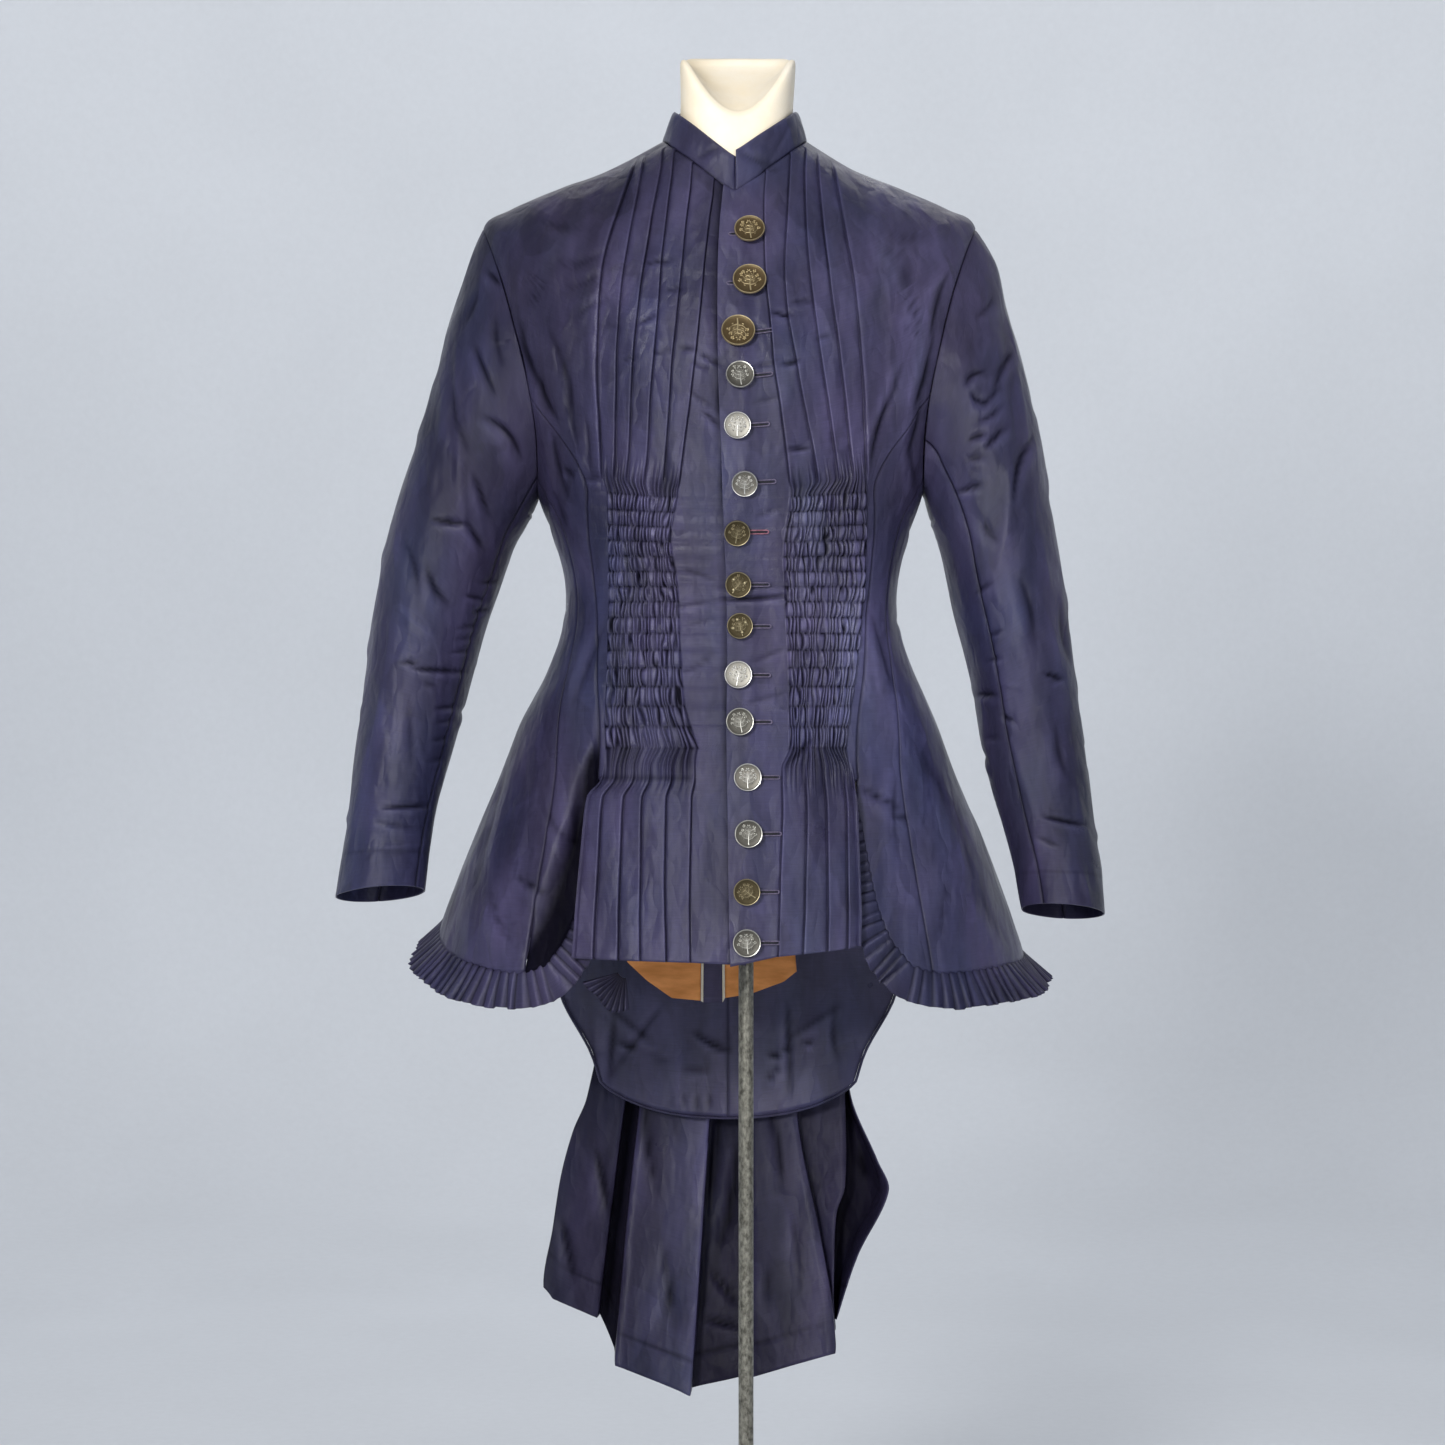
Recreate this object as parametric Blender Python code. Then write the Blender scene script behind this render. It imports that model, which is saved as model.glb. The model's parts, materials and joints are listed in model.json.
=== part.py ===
"""A bodice jacket of about 1885 on a limbless dress form stand.

Metres, +Z up, the wearer faces -Y, and the origin is at the middle of the base's underside.
The body of the jacket is one smooth surface, body_point(angle, level). The angle is 0 at the
centre front, 90 at a side and 180 at the centre back, and positive on the wearer's left. The
level counts the rows of BODY_RINGS from the neckline down. Every piece of cloth is a thin wall
between an outer and an inner set of rows of points.
"""

import math
from collections import namedtuple

import bmesh
import bpy
from mathutils import Vector

# Cloth and seams
CLOTH = 0.0015
SEAM_HALF_GAP = 0.00022
CORNER_FULLNESS = 0.045
SHOULDER_EASE, SIDE_SHARPNESS = (-1.6, -0.8, 0.0, 0.8, 1.6), 8
RINGS_MADE = {}

# Body rings from the neckline to below the basque's hem. Rings above the waist tilt, so each
# has its own height at the front, the side and the back.
Ring = namedtuple("Ring", "z_front y_front x_side y_side z_side y_back z_back x_centre")
BODY_RINGS = [
    Ring(1.352, -0.056, 0.0645, 0.004, 1.397, 0.062, 1.410, -0.0090),
    Ring(1.326, -0.074, 0.0965, 0.002, 1.380, 0.084, 1.388, -0.0115),
    Ring(1.295, -0.090, 0.1360, 0.000, 1.3635, 0.098, 1.352, -0.0130),
    Ring(1.262, -0.104, 0.1730, -0.001, 1.348, 0.107, 1.312, -0.0135),
    Ring(1.229, -0.117, 0.1965, -0.002, 1.332, 0.112, 1.270, -0.0135),
    Ring(1.197, -0.127, 0.1910, -0.003, 1.280, 0.113, 1.228, -0.0135),
    Ring(1.166, -0.130, 0.1795, -0.004, 1.224, 0.109, 1.185, -0.0130),
    Ring(1.136, -0.127, 0.1670, -0.005, 1.170, 0.103, 1.143, -0.0125),
    Ring(1.106, -0.119, 0.1535, -0.006, 1.120, 0.096, 1.104, -0.0125),
    Ring(1.076, -0.111, 0.1410, -0.007, 1.084, 0.089, 1.073, -0.0120),
    Ring(1.046, -0.106, 0.1325, -0.008, 1.049, 0.085, 1.044, -0.0115),
    Ring(1.015, -0.1055, 0.1335, -0.006, 1.015, 0.090, 1.015, -0.0120),
    Ring(0.980, -0.107, 0.1455, 0.001, 0.980, 0.120, 0.980, -0.0125),
    Ring(0.940, -0.110, 0.1655, 0.012, 0.940, 0.156, 0.940, -0.0140),
    Ring(0.896, -0.112, 0.1830, 0.024, 0.896, 0.182, 0.896, -0.0145),
    Ring(0.850, -0.114, 0.2035, 0.034, 0.850, 0.203, 0.850, -0.0145),
    Ring(0.800, -0.116, 0.2235, 0.042, 0.800, 0.221, 0.800, -0.0145),
    Ring(0.750, -0.118, 0.2400, 0.048, 0.750, 0.235, 0.750, -0.0140),
    Ring(0.700, -0.119, 0.2520, 0.052, 0.700, 0.243, 0.700, -0.0140),
    Ring(0.650, -0.120, 0.2600, 0.055, 0.650, 0.247, 0.650, -0.0140),
    Ring(0.590, -0.120, 0.2680, 0.057, 0.590, 0.249, 0.590, -0.0140),
]
SHOULDER_TIP, UNDERARM, VENT_TOP = 4.0, 8.0, 14.0
SMOCK_TOP, SMOCK_END, PLEAT_START = 7.9, 13.5, 13.8

# The armhole, an oval round the side of the body, and how far round it each seam starts
ARMHOLE_FRONT, ARMHOLE_BACK = 31.0, 27.0
ARMHOLE_SQUARENESS = 0.8
ARMHOLE_TURNS = [0, 20, 40, 60, 80, 100, 125, 150, 180, 210, 235, 260, 280, 300, 320, 340]

# Seams, as the angle round the body at each level
Seam = namedtuple("Seam", "level front side side_back back")
SEAMS = [
    Seam(6.35, 59.4, 62.0, 117.0, 116.6),
    Seam(7.15, 47.0, 69.0, 111.0, 131.0),
    Seam(7.732, 43.0, 72.2, 105.5, 142.0),
    Seam(8.35, 45.6, 64.0, 109.0, 151.0),
    Seam(9.0, 48.6, 63.0, 111.0, 157.0),
    Seam(10.0, 51.0, 64.5, 112.0, 161.0),
    Seam(11.0, 48.5, 62.0, 112.0, 161.0),
    Seam(12.0, 43.0, 57.0, 110.0, 158.0),
    Seam(13.0, 35.5, 50.0, 107.0, 153.0),
    Seam(14.0, 31.5, 44.5, 105.0, 149.0),
    Seam(15.0, 28.0, 41.5, 103.0, 146.0),
    Seam(16.0, 27.5, 39.7, 101.0, 144.5),
    Seam(17.0, 31.5, 38.7, 100.0, 143.0),
]

# The skirt's open edge and hem, from the top of the vent round to the back basque
Edge = namedtuple("Edge", "angle level_right level_left")
HEM_EASE = 16.2
VENT_EDGE = [(29.5, 14.4), (28.0, 15.0), (27.5, 15.6), (27.5, 16.1), (29.0, 16.6), (32.5, 16.98)]
SKIRT_HEM = [
    Edge(32.5, 16.98, 16.98),
    Edge(39.0, 17.12, 17.12),
    Edge(55.0, 17.02, 17.10),
    Edge(75.0, 16.72, 17.05),
    Edge(90.0, 16.46, 16.98),
    Edge(110.0, 16.50, 16.95),
    Edge(130.0, 16.80, 16.95),
    Edge(143.0, 16.95, 16.95),
]
FRILL_DEPTH, FRILL_FLARE, FRILL_HEIGHT, FRILL_PLEATS = 0.027, 0.014, 0.0026, 30
FRILL_PLEAT_STEP, FRILL_SEAM = 0.2, 0.0013

# The back basque below the skirt's hem: half width at each level, then a U to the centre back
BASQUE_EDGE = [(17.0, 143.0), (18.0, 146.5), (19.0, 153.5), (19.4, 155.7)]
BASQUE_CENTRE = 19.99
PIPING = 0.0025

# Distances from the body's centre line, in levels. Each front has its own.
FrontSide = namedtuple("FrontSide", "sign edge tucks smock pleats hem tuck_cap")
Line = namedtuple("Line", "top chest bottom")
TUCK_LEVELS = (0.6, 3.2, 7.8)
PLEAT_LEVELS = (14.0, 17.0)
RIGHT_FRONT = FrontSide(
    sign=-1,
    edge=[(0, -0.003), (4, -0.003), (10, -0.007), (17, -0.013)],
    tucks=[
        Line(0.0166, 0.0215, 0.0395),
        Line(0.0332, 0.0392, 0.0517),
        Line(0.0481, 0.0538, 0.0654),
        Line(0.0565, 0.0684, 0.0790),
        Line(0.0703, 0.0822, 0.0882),
        Line(0.0761, 0.0983, 0.0988),
    ],
    smock=[
        (7.9, 0.0395, 0.0955),
        (8.9, 0.0450, 0.0955),
        (10.2, 0.0403, 0.0950),
        (12.6, 0.0350, 0.0955),
        (13.5, 0.0230, 0.0960),
    ],
    pleats=[
        (0.0275, 0.0290),
        (0.0459, 0.0473),
        (0.0635, 0.0664),
        (0.0765, 0.0832),
        (0.0918, 0.1015),
        (0.1020, 0.1167),
    ],
    hem=(16.93, 16.85),
    tuck_cap=(0.24, 0.48, 0.68, 0.80, 0.90, 0.97),
)
LEFT_FRONT = FrontSide(
    sign=1,
    edge=[(0, -0.0095), (4, -0.009), (7, -0.007), (10, -0.0045), (14, -0.001), (17, 0.001)],
    tucks=[
        Line(0.0242, 0.0296, 0.0448),
        Line(0.0437, 0.0439, 0.0669),
        Line(0.0558, 0.0631, 0.0828),
        Line(0.0663, 0.0778, 0.0942),
        Line(0.0780, 0.0955, 0.1045),
    ],
    smock=[(7.9, 0.0448, 0.1045), (9.5, 0.0395, 0.1040), (11.6, 0.0433, 0.0990), (13.5, 0.0465, 0.0915)],
    pleats=[(0.0405, 0.0374), (0.0581, 0.0565), (0.0727, 0.0744), (0.0880, 0.0897), (0.0945, 0.0992)],
    hem=(16.95, 16.66),
    tuck_cap=(0.34, 0.60, 0.75, 0.87, 0.96),
)
TUCK_HEIGHT, PLEAT_HEIGHT, FOLD_WIDTH = 0.0026, 0.0030, 0.035
GATHERS, GATHER_HEIGHT, GATHER_DIP, SMOCK_BANDS = 12, 0.0032, 0.0009, 15
WIDEST_STEP = 12.0
PLACKET_LAP, PLACKET_REST, PLACKET_CLEAR = 0.006, 0.010, 0.0005
SKIRT_PUFF = 0.0085
OUTER_PLAIN_ANGLE = 1.6

# Buttons down the centre front: height, distance from the rod's line and radius
Button = namedtuple("Button", "z x radius")
BUTTONS = [
    Button(1.3145, 0.0023, 0.0119),
    Button(1.2740, 0.0019, 0.0130),
    Button(1.2335, -0.0069, 0.0130),
    Button(1.1995, -0.0056, 0.0107),
    Button(1.1625, -0.0076, 0.0103),
    Button(1.1205, -0.0023, 0.0099),
    Button(1.0835, -0.0077, 0.0099),
    Button(1.0435, -0.0069, 0.0099),
    Button(1.0115, -0.0057, 0.0099),
    Button(0.9740, -0.0069, 0.0106),
    Button(0.9383, -0.0057, 0.0106),
    Button(0.8960, 0.0000, 0.0106),
    Button(0.8530, 0.0004, 0.0106),
    Button(0.8090, -0.0008, 0.0102),
    Button(0.7705, -0.0008, 0.0106),
]
BUTTON_THICKNESS, BUTTON_STANDOFF, BUTTON_CLEAR, BUTTON_SIDES = 0.0032, 0.0022, 0.0004, 10

# The standing collar's upper edge: tilted like the neckline below it
COLLAR_TOP = Ring(1.387, -0.048, 0.0515, 0.003, 1.4260, 0.052, 1.446, -0.0085)
COLLAR_GAP = 0.0004

# Sleeves: the outer and the inner outline, half the depth and the depth's middle
Station = namedtuple("Station", "x_outer z_outer x_inner z_inner half_depth y")
SLEEVE_RIGHT = [
    Station(-0.2100, 1.3320, -0.1660, 1.1200, 0.0600, -0.006),
    Station(-0.2176, 1.3144, -0.1668, 1.1160, 0.0605, -0.005),
    Station(-0.2272, 1.2840, -0.1690, 1.1105, 0.0605, -0.004),
    Station(-0.2376, 1.2520, -0.1725, 1.1030, 0.0600, -0.002),
    Station(-0.2480, 1.2136, -0.1780, 1.0930, 0.0590, 0.000),
    Station(-0.2608, 1.1720, -0.1864, 1.0776, 0.0575, 0.002),
    Station(-0.2744, 1.1288, -0.1976, 1.0440, 0.0560, 0.003),
    Station(-0.2888, 1.0760, -0.2088, 1.0104, 0.0545, 0.003),
    Station(-0.2980, 1.0234, -0.2177, 0.9797, 0.0530, 0.000),
    Station(-0.3041, 0.9723, -0.2249, 0.9497, 0.0500, -0.008),
    Station(-0.3084, 0.9242, -0.2335, 0.9124, 0.0465, -0.020),
    Station(-0.3113, 0.8810, -0.2421, 0.8771, 0.0435, -0.033),
    Station(-0.3152, 0.8420, -0.2477, 0.8420, 0.0415, -0.045),
    Station(-0.3206, 0.8012, -0.2512, 0.8073, 0.0400, -0.058),
]
SLEEVE_LEFT = [
    Station(0.1830, 1.3320, 0.1410, 1.1200, 0.0600, -0.006),
    Station(0.2000, 1.3030, 0.1428, 1.1160, 0.0605, -0.005),
    Station(0.2080, 1.2680, 0.1448, 1.1080, 0.0605, -0.004),
    Station(0.2184, 1.2320, 0.1478, 1.0984, 0.0600, -0.002),
    Station(0.2288, 1.1944, 0.1522, 1.0856, 0.0590, 0.000),
    Station(0.2376, 1.1560, 0.1575, 1.0680, 0.0575, 0.002),
    Station(0.2448, 1.1040, 0.1656, 1.0296, 0.0560, 0.003),
    Station(0.2528, 1.0560, 0.1736, 0.9976, 0.0545, 0.003),
    Station(0.2591, 1.0036, 0.1812, 0.9638, 0.0530, 0.000),
    Station(0.2661, 0.9480, 0.1877, 0.9226, 0.0500, -0.008),
    Station(0.2714, 0.8966, 0.1964, 0.8832, 0.0465, -0.020),
    Station(0.2743, 0.8614, 0.2028, 0.8551, 0.0435, -0.033),
    Station(0.2783, 0.8240, 0.2093, 0.8255, 0.0415, -0.045),
    Station(0.2785, 0.7880, 0.2145, 0.7932, 0.0400, -0.058),
]
ARMHOLE_BLEND = (1.0, 0.72, 0.46, 0.24, 0.08)
ELBOW_SEAM = 280

# The pleated tail: its outline from the waist down, and its pleats across the width
TailRow = namedtuple("TailRow", "z x_right x_left clear")
TAIL_ROWS = [
    TailRow(0.925, -0.080, 0.052, 0.0008),
    TailRow(0.880, -0.098, 0.064, 0.0070),
    TailRow(0.800, -0.118, 0.080, 0.0130),
    TailRow(0.700, -0.136, 0.088, 0.0150),
    TailRow(0.608, -0.152, 0.094, 0.0160),
    TailRow(0.530, -0.166, 0.1240, 0.0160),
    TailRow(0.450, -0.177, 0.1010, 0.0160),
    TailRow(0.390, -0.170, 0.0800, 0.0160),
]
TAIL_LEAVES_BODY = 0.60
Pleat = namedtuple("Pleat", "across depth hem_z")
TAIL_PLEATS = [
    Pleat(0.00, 0.006, 0.440),
    Pleat(0.03, 0.000, 0.424),
    Pleat(0.15, 0.002, 0.408),
    Pleat(0.165, 0.030, 0.404),
    Pleat(0.235, 0.028, 0.392),
    Pleat(0.25, 0.000, 0.372),
    Pleat(0.46, -0.004, 0.348),
    Pleat(0.475, 0.028, 0.352),
    Pleat(0.575, 0.026, 0.355),
    Pleat(0.59, 0.000, 0.356),
    Pleat(0.80, -0.003, 0.372),
    Pleat(0.815, 0.022, 0.378),
    Pleat(0.87, 0.020, 0.384),
    Pleat(0.885, 0.002, 0.386),
    Pleat(1.00, 0.004, 0.402),
]

# The lining inside the back: x at each point of its hem, and the height there
LINING_Y_HEM, LINING_TOP, LINING_CLEAR = 0.150, 0.950, 0.0050
LINING_PANELS = {
    "lining_right": [(-0.0995, 0.735), (-0.083, 0.719), (-0.062, 0.704), (-0.0375, 0.7015)],
    "lining_strip": [(-0.0360, 0.7000), (-0.0180, 0.7000)],
    "lining_left": [(-0.0165, 0.7040), (0.004, 0.707), (0.033, 0.718), (0.0440, 0.727)],
}
LINING_TOP_WIDTH = 0.72

# The dress form and its stand
FormRow = namedtuple("FormRow", "z x_side y_front y_back")
FORM_HIPS = [
    FormRow(0.842, 0.136, -0.088, 0.106),
    FormRow(0.850, 0.144, -0.094, 0.113),
    FormRow(0.880, 0.150, -0.098, 0.118),
    FormRow(0.915, 0.150, -0.099, 0.116),
    FormRow(0.950, 0.145, -0.0985, 0.108),
    FormRow(0.985, 0.132, -0.096, 0.094),
    FormRow(1.016, 0.1235, -0.0955, 0.079),
]
FORM_LEVELS = [10, 9.4, 8.8, 8.2, 7.6, 7.0, 6.4, 5.8, 5.2, 4.7, 4.3, 4.0, 3.6, 3.2, 2.6, 2.0, 1.4, 0.8, 0.3]
FORM_CLEARANCE, SHOULDER_CLEARANCE = 0.0080, 0.0026
FORM_CENTRE_X, FORM_SIDES = -0.012, 24
NECK_RINGS = [
    Ring(1.372, -0.0475, 0.0505, 0.003, 1.405, 0.0525, 1.418, -0.0085),
    Ring(1.392, -0.0450, 0.0478, 0.003, 1.428, 0.0475, 1.438, -0.0080),
    Ring(1.408, -0.0440, 0.0478, 0.003, 1.462, 0.0465, 1.464, -0.0080),
    Ring(1.4125, -0.0405, 0.0450, 0.003, 1.468, 0.0430, 1.470, -0.0080),
]
NECK_SCOOP = Vector((-0.008, 0.004, 1.437))
ROD_RADIUS, ROD_FOOT = 0.006, 0.0363
BASE_RADIUS, BASE_HEIGHT, BOSS_RADIUS, BOSS_HEIGHT = 0.160, 0.012, 0.018, 0.036

SILK, COTTON, LINEN = (0.045, 0.043, 0.085), (0.32, 0.15, 0.045), (0.86, 0.80, 0.66)
STEEL, METAL = (0.16, 0.155, 0.14), (0.45, 0.42, 0.36)


def smooth_step(value):
    value = min(1.0, max(0.0, value))
    return value * value * (3 - 2 * value)


def along(table, at):
    """Straight-line value of a table of (position, value) pairs."""
    if at <= table[0][0]:
        return table[0][1]
    for (a, first), (b, second) in zip(table, table[1:]):
        if at <= b:
            return first + (second - first) * (at - a) / (b - a)
    return table[-1][1]


def curve_through(rows, at):
    """A smooth curve through evenly spaced rows of numbers, as a list of numbers."""
    last = len(rows) - 1
    at = min(max(at, 0.0), float(last))
    i = min(int(at), last - 1)
    t = at - i
    before, here, there, after = (rows[max(i - 1, 0)], rows[i], rows[i + 1], rows[min(i + 2, last)])
    return [
        b + 0.5 * t * (c - a + t * (2 * a - 5 * b + 4 * c - d + t * (3 * (b - c) + d - a)))
        for a, b, c, d in zip(before, here, there, after)
    ]


def smooth_along(table, at):
    """Smooth value of a table of (position, value) pairs whose positions are uneven."""
    positions = [row[0] for row in table]
    at = min(max(at, positions[0]), positions[-1])
    i = max(k for k in range(len(table) - 1) if positions[k] <= at)

    def slope(k):
        lo, hi = max(k - 1, 0), min(k + 1, len(table) - 1)
        return (table[hi][1] - table[lo][1]) / (positions[hi] - positions[lo])

    step = positions[i + 1] - positions[i]
    t = (at - positions[i]) / step
    a, b = table[i][1], table[i + 1][1]
    return (
        a * (1 + 2 * t) * (1 - t) ** 2
        + b * t * t * (3 - 2 * t)
        + step * (slope(i) * t * (1 - t) ** 2 - slope(i + 1) * t * t * (1 - t))
    )


def ring_point(ring, angle):
    """Point at an angle in degrees round a ring."""
    turn = math.radians(angle)
    fullness = 1 + CORNER_FULLNESS * math.sin(2 * turn) ** 2
    ahead = math.cos(turn)
    y_end, z_end = (ring.y_front, ring.z_front) if ahead > 0 else (ring.y_back, ring.z_back)
    return Vector(
        (
            ring.x_centre + ring.x_side * math.sin(turn) * fullness,
            ring.y_side + (y_end - ring.y_side) * abs(ahead) * fullness,
            ring.z_side + (z_end - ring.z_side) * ahead**2,
        )
    )


def ring_at(level):
    if level not in RINGS_MADE:
        RINGS_MADE[level] = Ring(*curve_through(BODY_RINGS, level))
    return RINGS_MADE[level]


def body_ring(angle, level):
    """The ring for a point. Only near its sides does it turn the sharp corner of the shoulder."""
    ring = ring_at(level)
    near = [ring_at(min(max(level + shift, 0.0), len(BODY_RINGS) - 1.0)) for shift in SHOULDER_EASE]
    side = abs(math.sin(math.radians(angle))) ** SIDE_SHARPNESS
    x_soft = sum(other.x_side for other in near) / len(near)
    z_soft = sum(other.z_side for other in near) / len(near)
    ease = (1 - side) * smooth_step((level - 1.2) / 1.2) * smooth_step((8.0 - level) / 1.2)
    return ring._replace(
        x_side=ring.x_side + (x_soft - ring.x_side) * ease,
        z_side=ring.z_side + (z_soft - ring.z_side) * ease,
    )


def surface_point(angle, level):
    return ring_point(body_ring(angle, level), angle)


def body_point(angle, level, out=0.0):
    """Point of the body's surface, moved outwards by `out`."""
    point = surface_point(angle, level)
    if not out:
        return point
    return point + body_normal(angle, level) * out


def body_normal(angle, level):
    step = 0.05
    across = surface_point(angle + 1, level) - surface_point(angle - 1, level)
    down = surface_point(angle, level + step) - surface_point(angle, level - step)
    return down.cross(across).normalized()


def half_width(level):
    return ring_at(level).x_side


def angle_of(distance, level):
    """Angle whose point lies at this distance from the centre line, on the front."""
    wanted = min(abs(distance), 0.9995 * half_width(level))
    low, high = 0.0, 90.0
    for _ in range(24):
        middle = (low + high) / 2
        turn = math.radians(middle)
        fullness = 1 + CORNER_FULLNESS * math.sin(2 * turn) ** 2
        if body_ring(middle, level).x_side * math.sin(turn) * fullness < wanted:
            low = middle
        else:
            high = middle
    return math.copysign(low, distance)


def gap_angle(level):
    return math.degrees(SEAM_HALF_GAP / half_width(level))


def seam_angle(name, level):
    return smooth_along([(seam.level, getattr(seam, name)) for seam in SEAMS], level)


def armhole_level(turn):
    middle = (SHOULDER_TIP + UNDERARM) / 2
    return middle - (UNDERARM - middle) * math.cos(math.radians(turn))


def armhole_angle(turn):
    reach = ARMHOLE_FRONT if turn % 360 <= 180 else -ARMHOLE_BACK
    return 90 - reach * abs(math.sin(math.radians(turn))) ** ARMHOLE_SQUARENESS


def armhole_turn(level):
    middle = (SHOULDER_TIP + UNDERARM) / 2
    return math.degrees(math.acos(max(-1.0, min(1.0, (middle - level) / (UNDERARM - middle)))))


def armhole_front_edge(level):
    return armhole_angle(armhole_turn(level))


def armhole_back_edge(level):
    return armhole_angle(360 - armhole_turn(level))


# Walls

Row = namedtuple("Row", "down points")


def zip_rows(mesh, first, second):
    """Triangles between two rows of (position, vertex), which may have different counts."""
    i = j = 0
    while i < len(first) - 1 or j < len(second) - 1:
        can_first, can_second = i < len(first) - 1, j < len(second) - 1
        if can_first and (not can_second or first[i + 1][0] <= second[j + 1][0] + 1e-9):
            mesh.faces.new((first[i][1], first[i + 1][1], second[j][1]))
            i += 1
        else:
            mesh.faces.new((first[i][1], second[j + 1][1], second[j][1]))
            j += 1


def material(name, colour, roughness, metallic=0.0):
    found = bpy.data.materials.get(name)
    if found:
        return found
    made = bpy.data.materials.new(name)
    made.use_nodes = True
    shader = made.node_tree.nodes["Principled BSDF"]
    shader.inputs["Base Color"].default_value = (*colour, 1)
    shader.inputs["Roughness"].default_value = roughness
    shader.inputs["Metallic"].default_value = metallic
    made.diffuse_color = (*colour, 1)
    return made


def silk():
    return material("shot_silk", SILK, 0.42)


def add_object(name, mesh, finish, smooth_angle=35):
    bmesh.ops.recalc_face_normals(mesh, faces=mesh.faces)
    if mesh.calc_volume(signed=True) < 0:
        bmesh.ops.reverse_faces(mesh, faces=mesh.faces)
    data = bpy.data.meshes.new(name)
    mesh.to_mesh(data)
    mesh.free()
    data.materials.append(finish)
    data.shade_smooth()
    data.set_sharp_from_angle(angle=math.radians(smooth_angle))
    made = bpy.data.objects.new(name, data)
    bpy.context.scene.collection.objects.link(made)
    return made


def add_wall(name, outer, inner, finish):
    """A closed wall. `outer` and `inner` are Rows of (position across, point)."""
    mesh = bmesh.new()
    sides = []
    for rows in (outer, inner):
        sides.append([Row(row.down, [(s, mesh.verts.new(p)) for s, p in row.points]) for row in rows])
    for rows in sides:
        for upper, lower in zip(rows, rows[1:]):
            zip_rows(mesh, upper.points, lower.points)
    front, back = sides
    for end in (0, -1):
        zip_rows(mesh, front[end].points, back[end].points)
        zip_rows(
            mesh,
            [(row.down, row.points[end][1]) for row in front],
            [(row.down, row.points[end][1]) for row in back],
        )
    return add_object(name, mesh, finish)


def grid(downs, acrosses, place):
    """Rows of points from place(across, down)."""
    return [Row(down, [(across, place(across, down)) for across in acrosses]) for down in downs]


# Fronts

TUCK_ROWS = [0.0, 0.5, 1.0, 1.5, 2.0, 3.0, 4.0, 4.121, 4.468, 5.0, 5.653, 6.347, 7.147, 7.732]
SMOCK_ROWS = [SMOCK_TOP + (SMOCK_END - SMOCK_TOP) * i / (2 * SMOCK_BANDS) for i in range(2 * SMOCK_BANDS + 1)]
PLEAT_ROWS = [PLEAT_START, VENT_TOP, 14.3, 14.65, 15.0, 15.6, 16.2]


def front_outer_edge(level):
    """Angle where the front ends: shoulder seam, armhole, or front seam."""
    if level <= SHOULDER_TIP:
        return 90 - gap_angle(level)
    if level < SEAMS[0].level:
        return armhole_front_edge(level) - gap_angle(level)
    return seam_angle("front", level) - gap_angle(level)


def tuck_lines(side, level):
    """Distance of each tuck's fold from the centre line, kept inside the shoulder seam."""
    reach = half_width(level)
    lines = []
    for line, cap in zip(side.tucks, side.tuck_cap):
        placed = smooth_along(list(zip(TUCK_LEVELS, line)), level)
        lines.append(min(placed, reach * cap))
    return lines


def pleat_lines(side, level):
    share = (level - PLEAT_LEVELS[0]) / (PLEAT_LEVELS[1] - PLEAT_LEVELS[0])
    return [top + (hem - top) * share for top, hem in side.pleats]


def smock_lines(side, level):
    return [
        smooth_along([(row[0], row[1]) for row in side.smock], level),
        smooth_along([(row[0], row[2]) for row in side.smock], level),
    ]


def fold_lines(side, level):
    """Distances of the folds, drawn in where they would pass the panel's outer seam."""
    if level < SMOCK_TOP:
        lines = tuck_lines(side, level)
    elif level <= SMOCK_END:
        lines = smock_lines(side, level)
    else:
        lines = pleat_lines(side, level)
    if level > VENT_TOP:
        return lines
    seam = math.radians(front_outer_edge(level) - OUTER_PLAIN_ANGLE)
    reach = half_width(level) * math.sin(seam) * (1 + CORNER_FULLNESS * math.sin(2 * seam) ** 2)
    return [line * min(1.0, reach / lines[-1]) for line in lines]


def front_distance(side, across, level, lines):
    """Distance from the centre line: 0 to 1 is edge to first fold, and 1 to 2 the folds."""
    if across <= 1:
        edge = smooth_along(side.edge, level)
        return edge + (lines[0] - edge) * across
    at = (across - 1) * (len(lines) - 1)
    i = min(int(at), len(lines) - 2)
    return lines[i] + (lines[i + 1] - lines[i]) * (at - i)


def placket_rise(side, distance, level):
    """How far the upper front is lifted to lie over the lower one."""
    if side.sign < 0:
        return 0.0
    lifted = min(1.0, max(0.0, 1 - (distance - lap_end(level)) / PLACKET_REST))
    return (CLOTH + PLACKET_CLEAR) * lifted


def lap_end(level):
    """Distance from the centre line to which the upper front lies over the lower one."""
    return -smooth_along(RIGHT_FRONT.edge, level) + PLACKET_LAP


def skirt_puff(level):
    return SKIRT_PUFF * smooth_step((level - VENT_TOP + 0.32) / 1.0)


def front_point(side, across, level, raised):
    lines = fold_lines(side, level)
    distance = front_distance(side, min(across, 2.0), level, lines)
    angle = angle_of(distance, level)
    if across > 2:
        angle += (front_outer_edge(level) - angle) * (across - 2)
    out = raised + placket_rise(side, distance, level) + skirt_puff(level)
    return body_point(side.sign * angle, level, out)


def edge_columns(side, level):
    """Positions from the centre front edge to the first fold, where the lap ends and rests."""
    if side.sign < 0:
        return [0.0, 0.5]
    edge, first = smooth_along(side.edge, level), fold_lines(side, level)[0]
    lap = lap_end(level)
    return [0.0, (lap - edge) / (first - edge), (lap + PLACKET_REST - edge) / (first - edge)]


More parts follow.
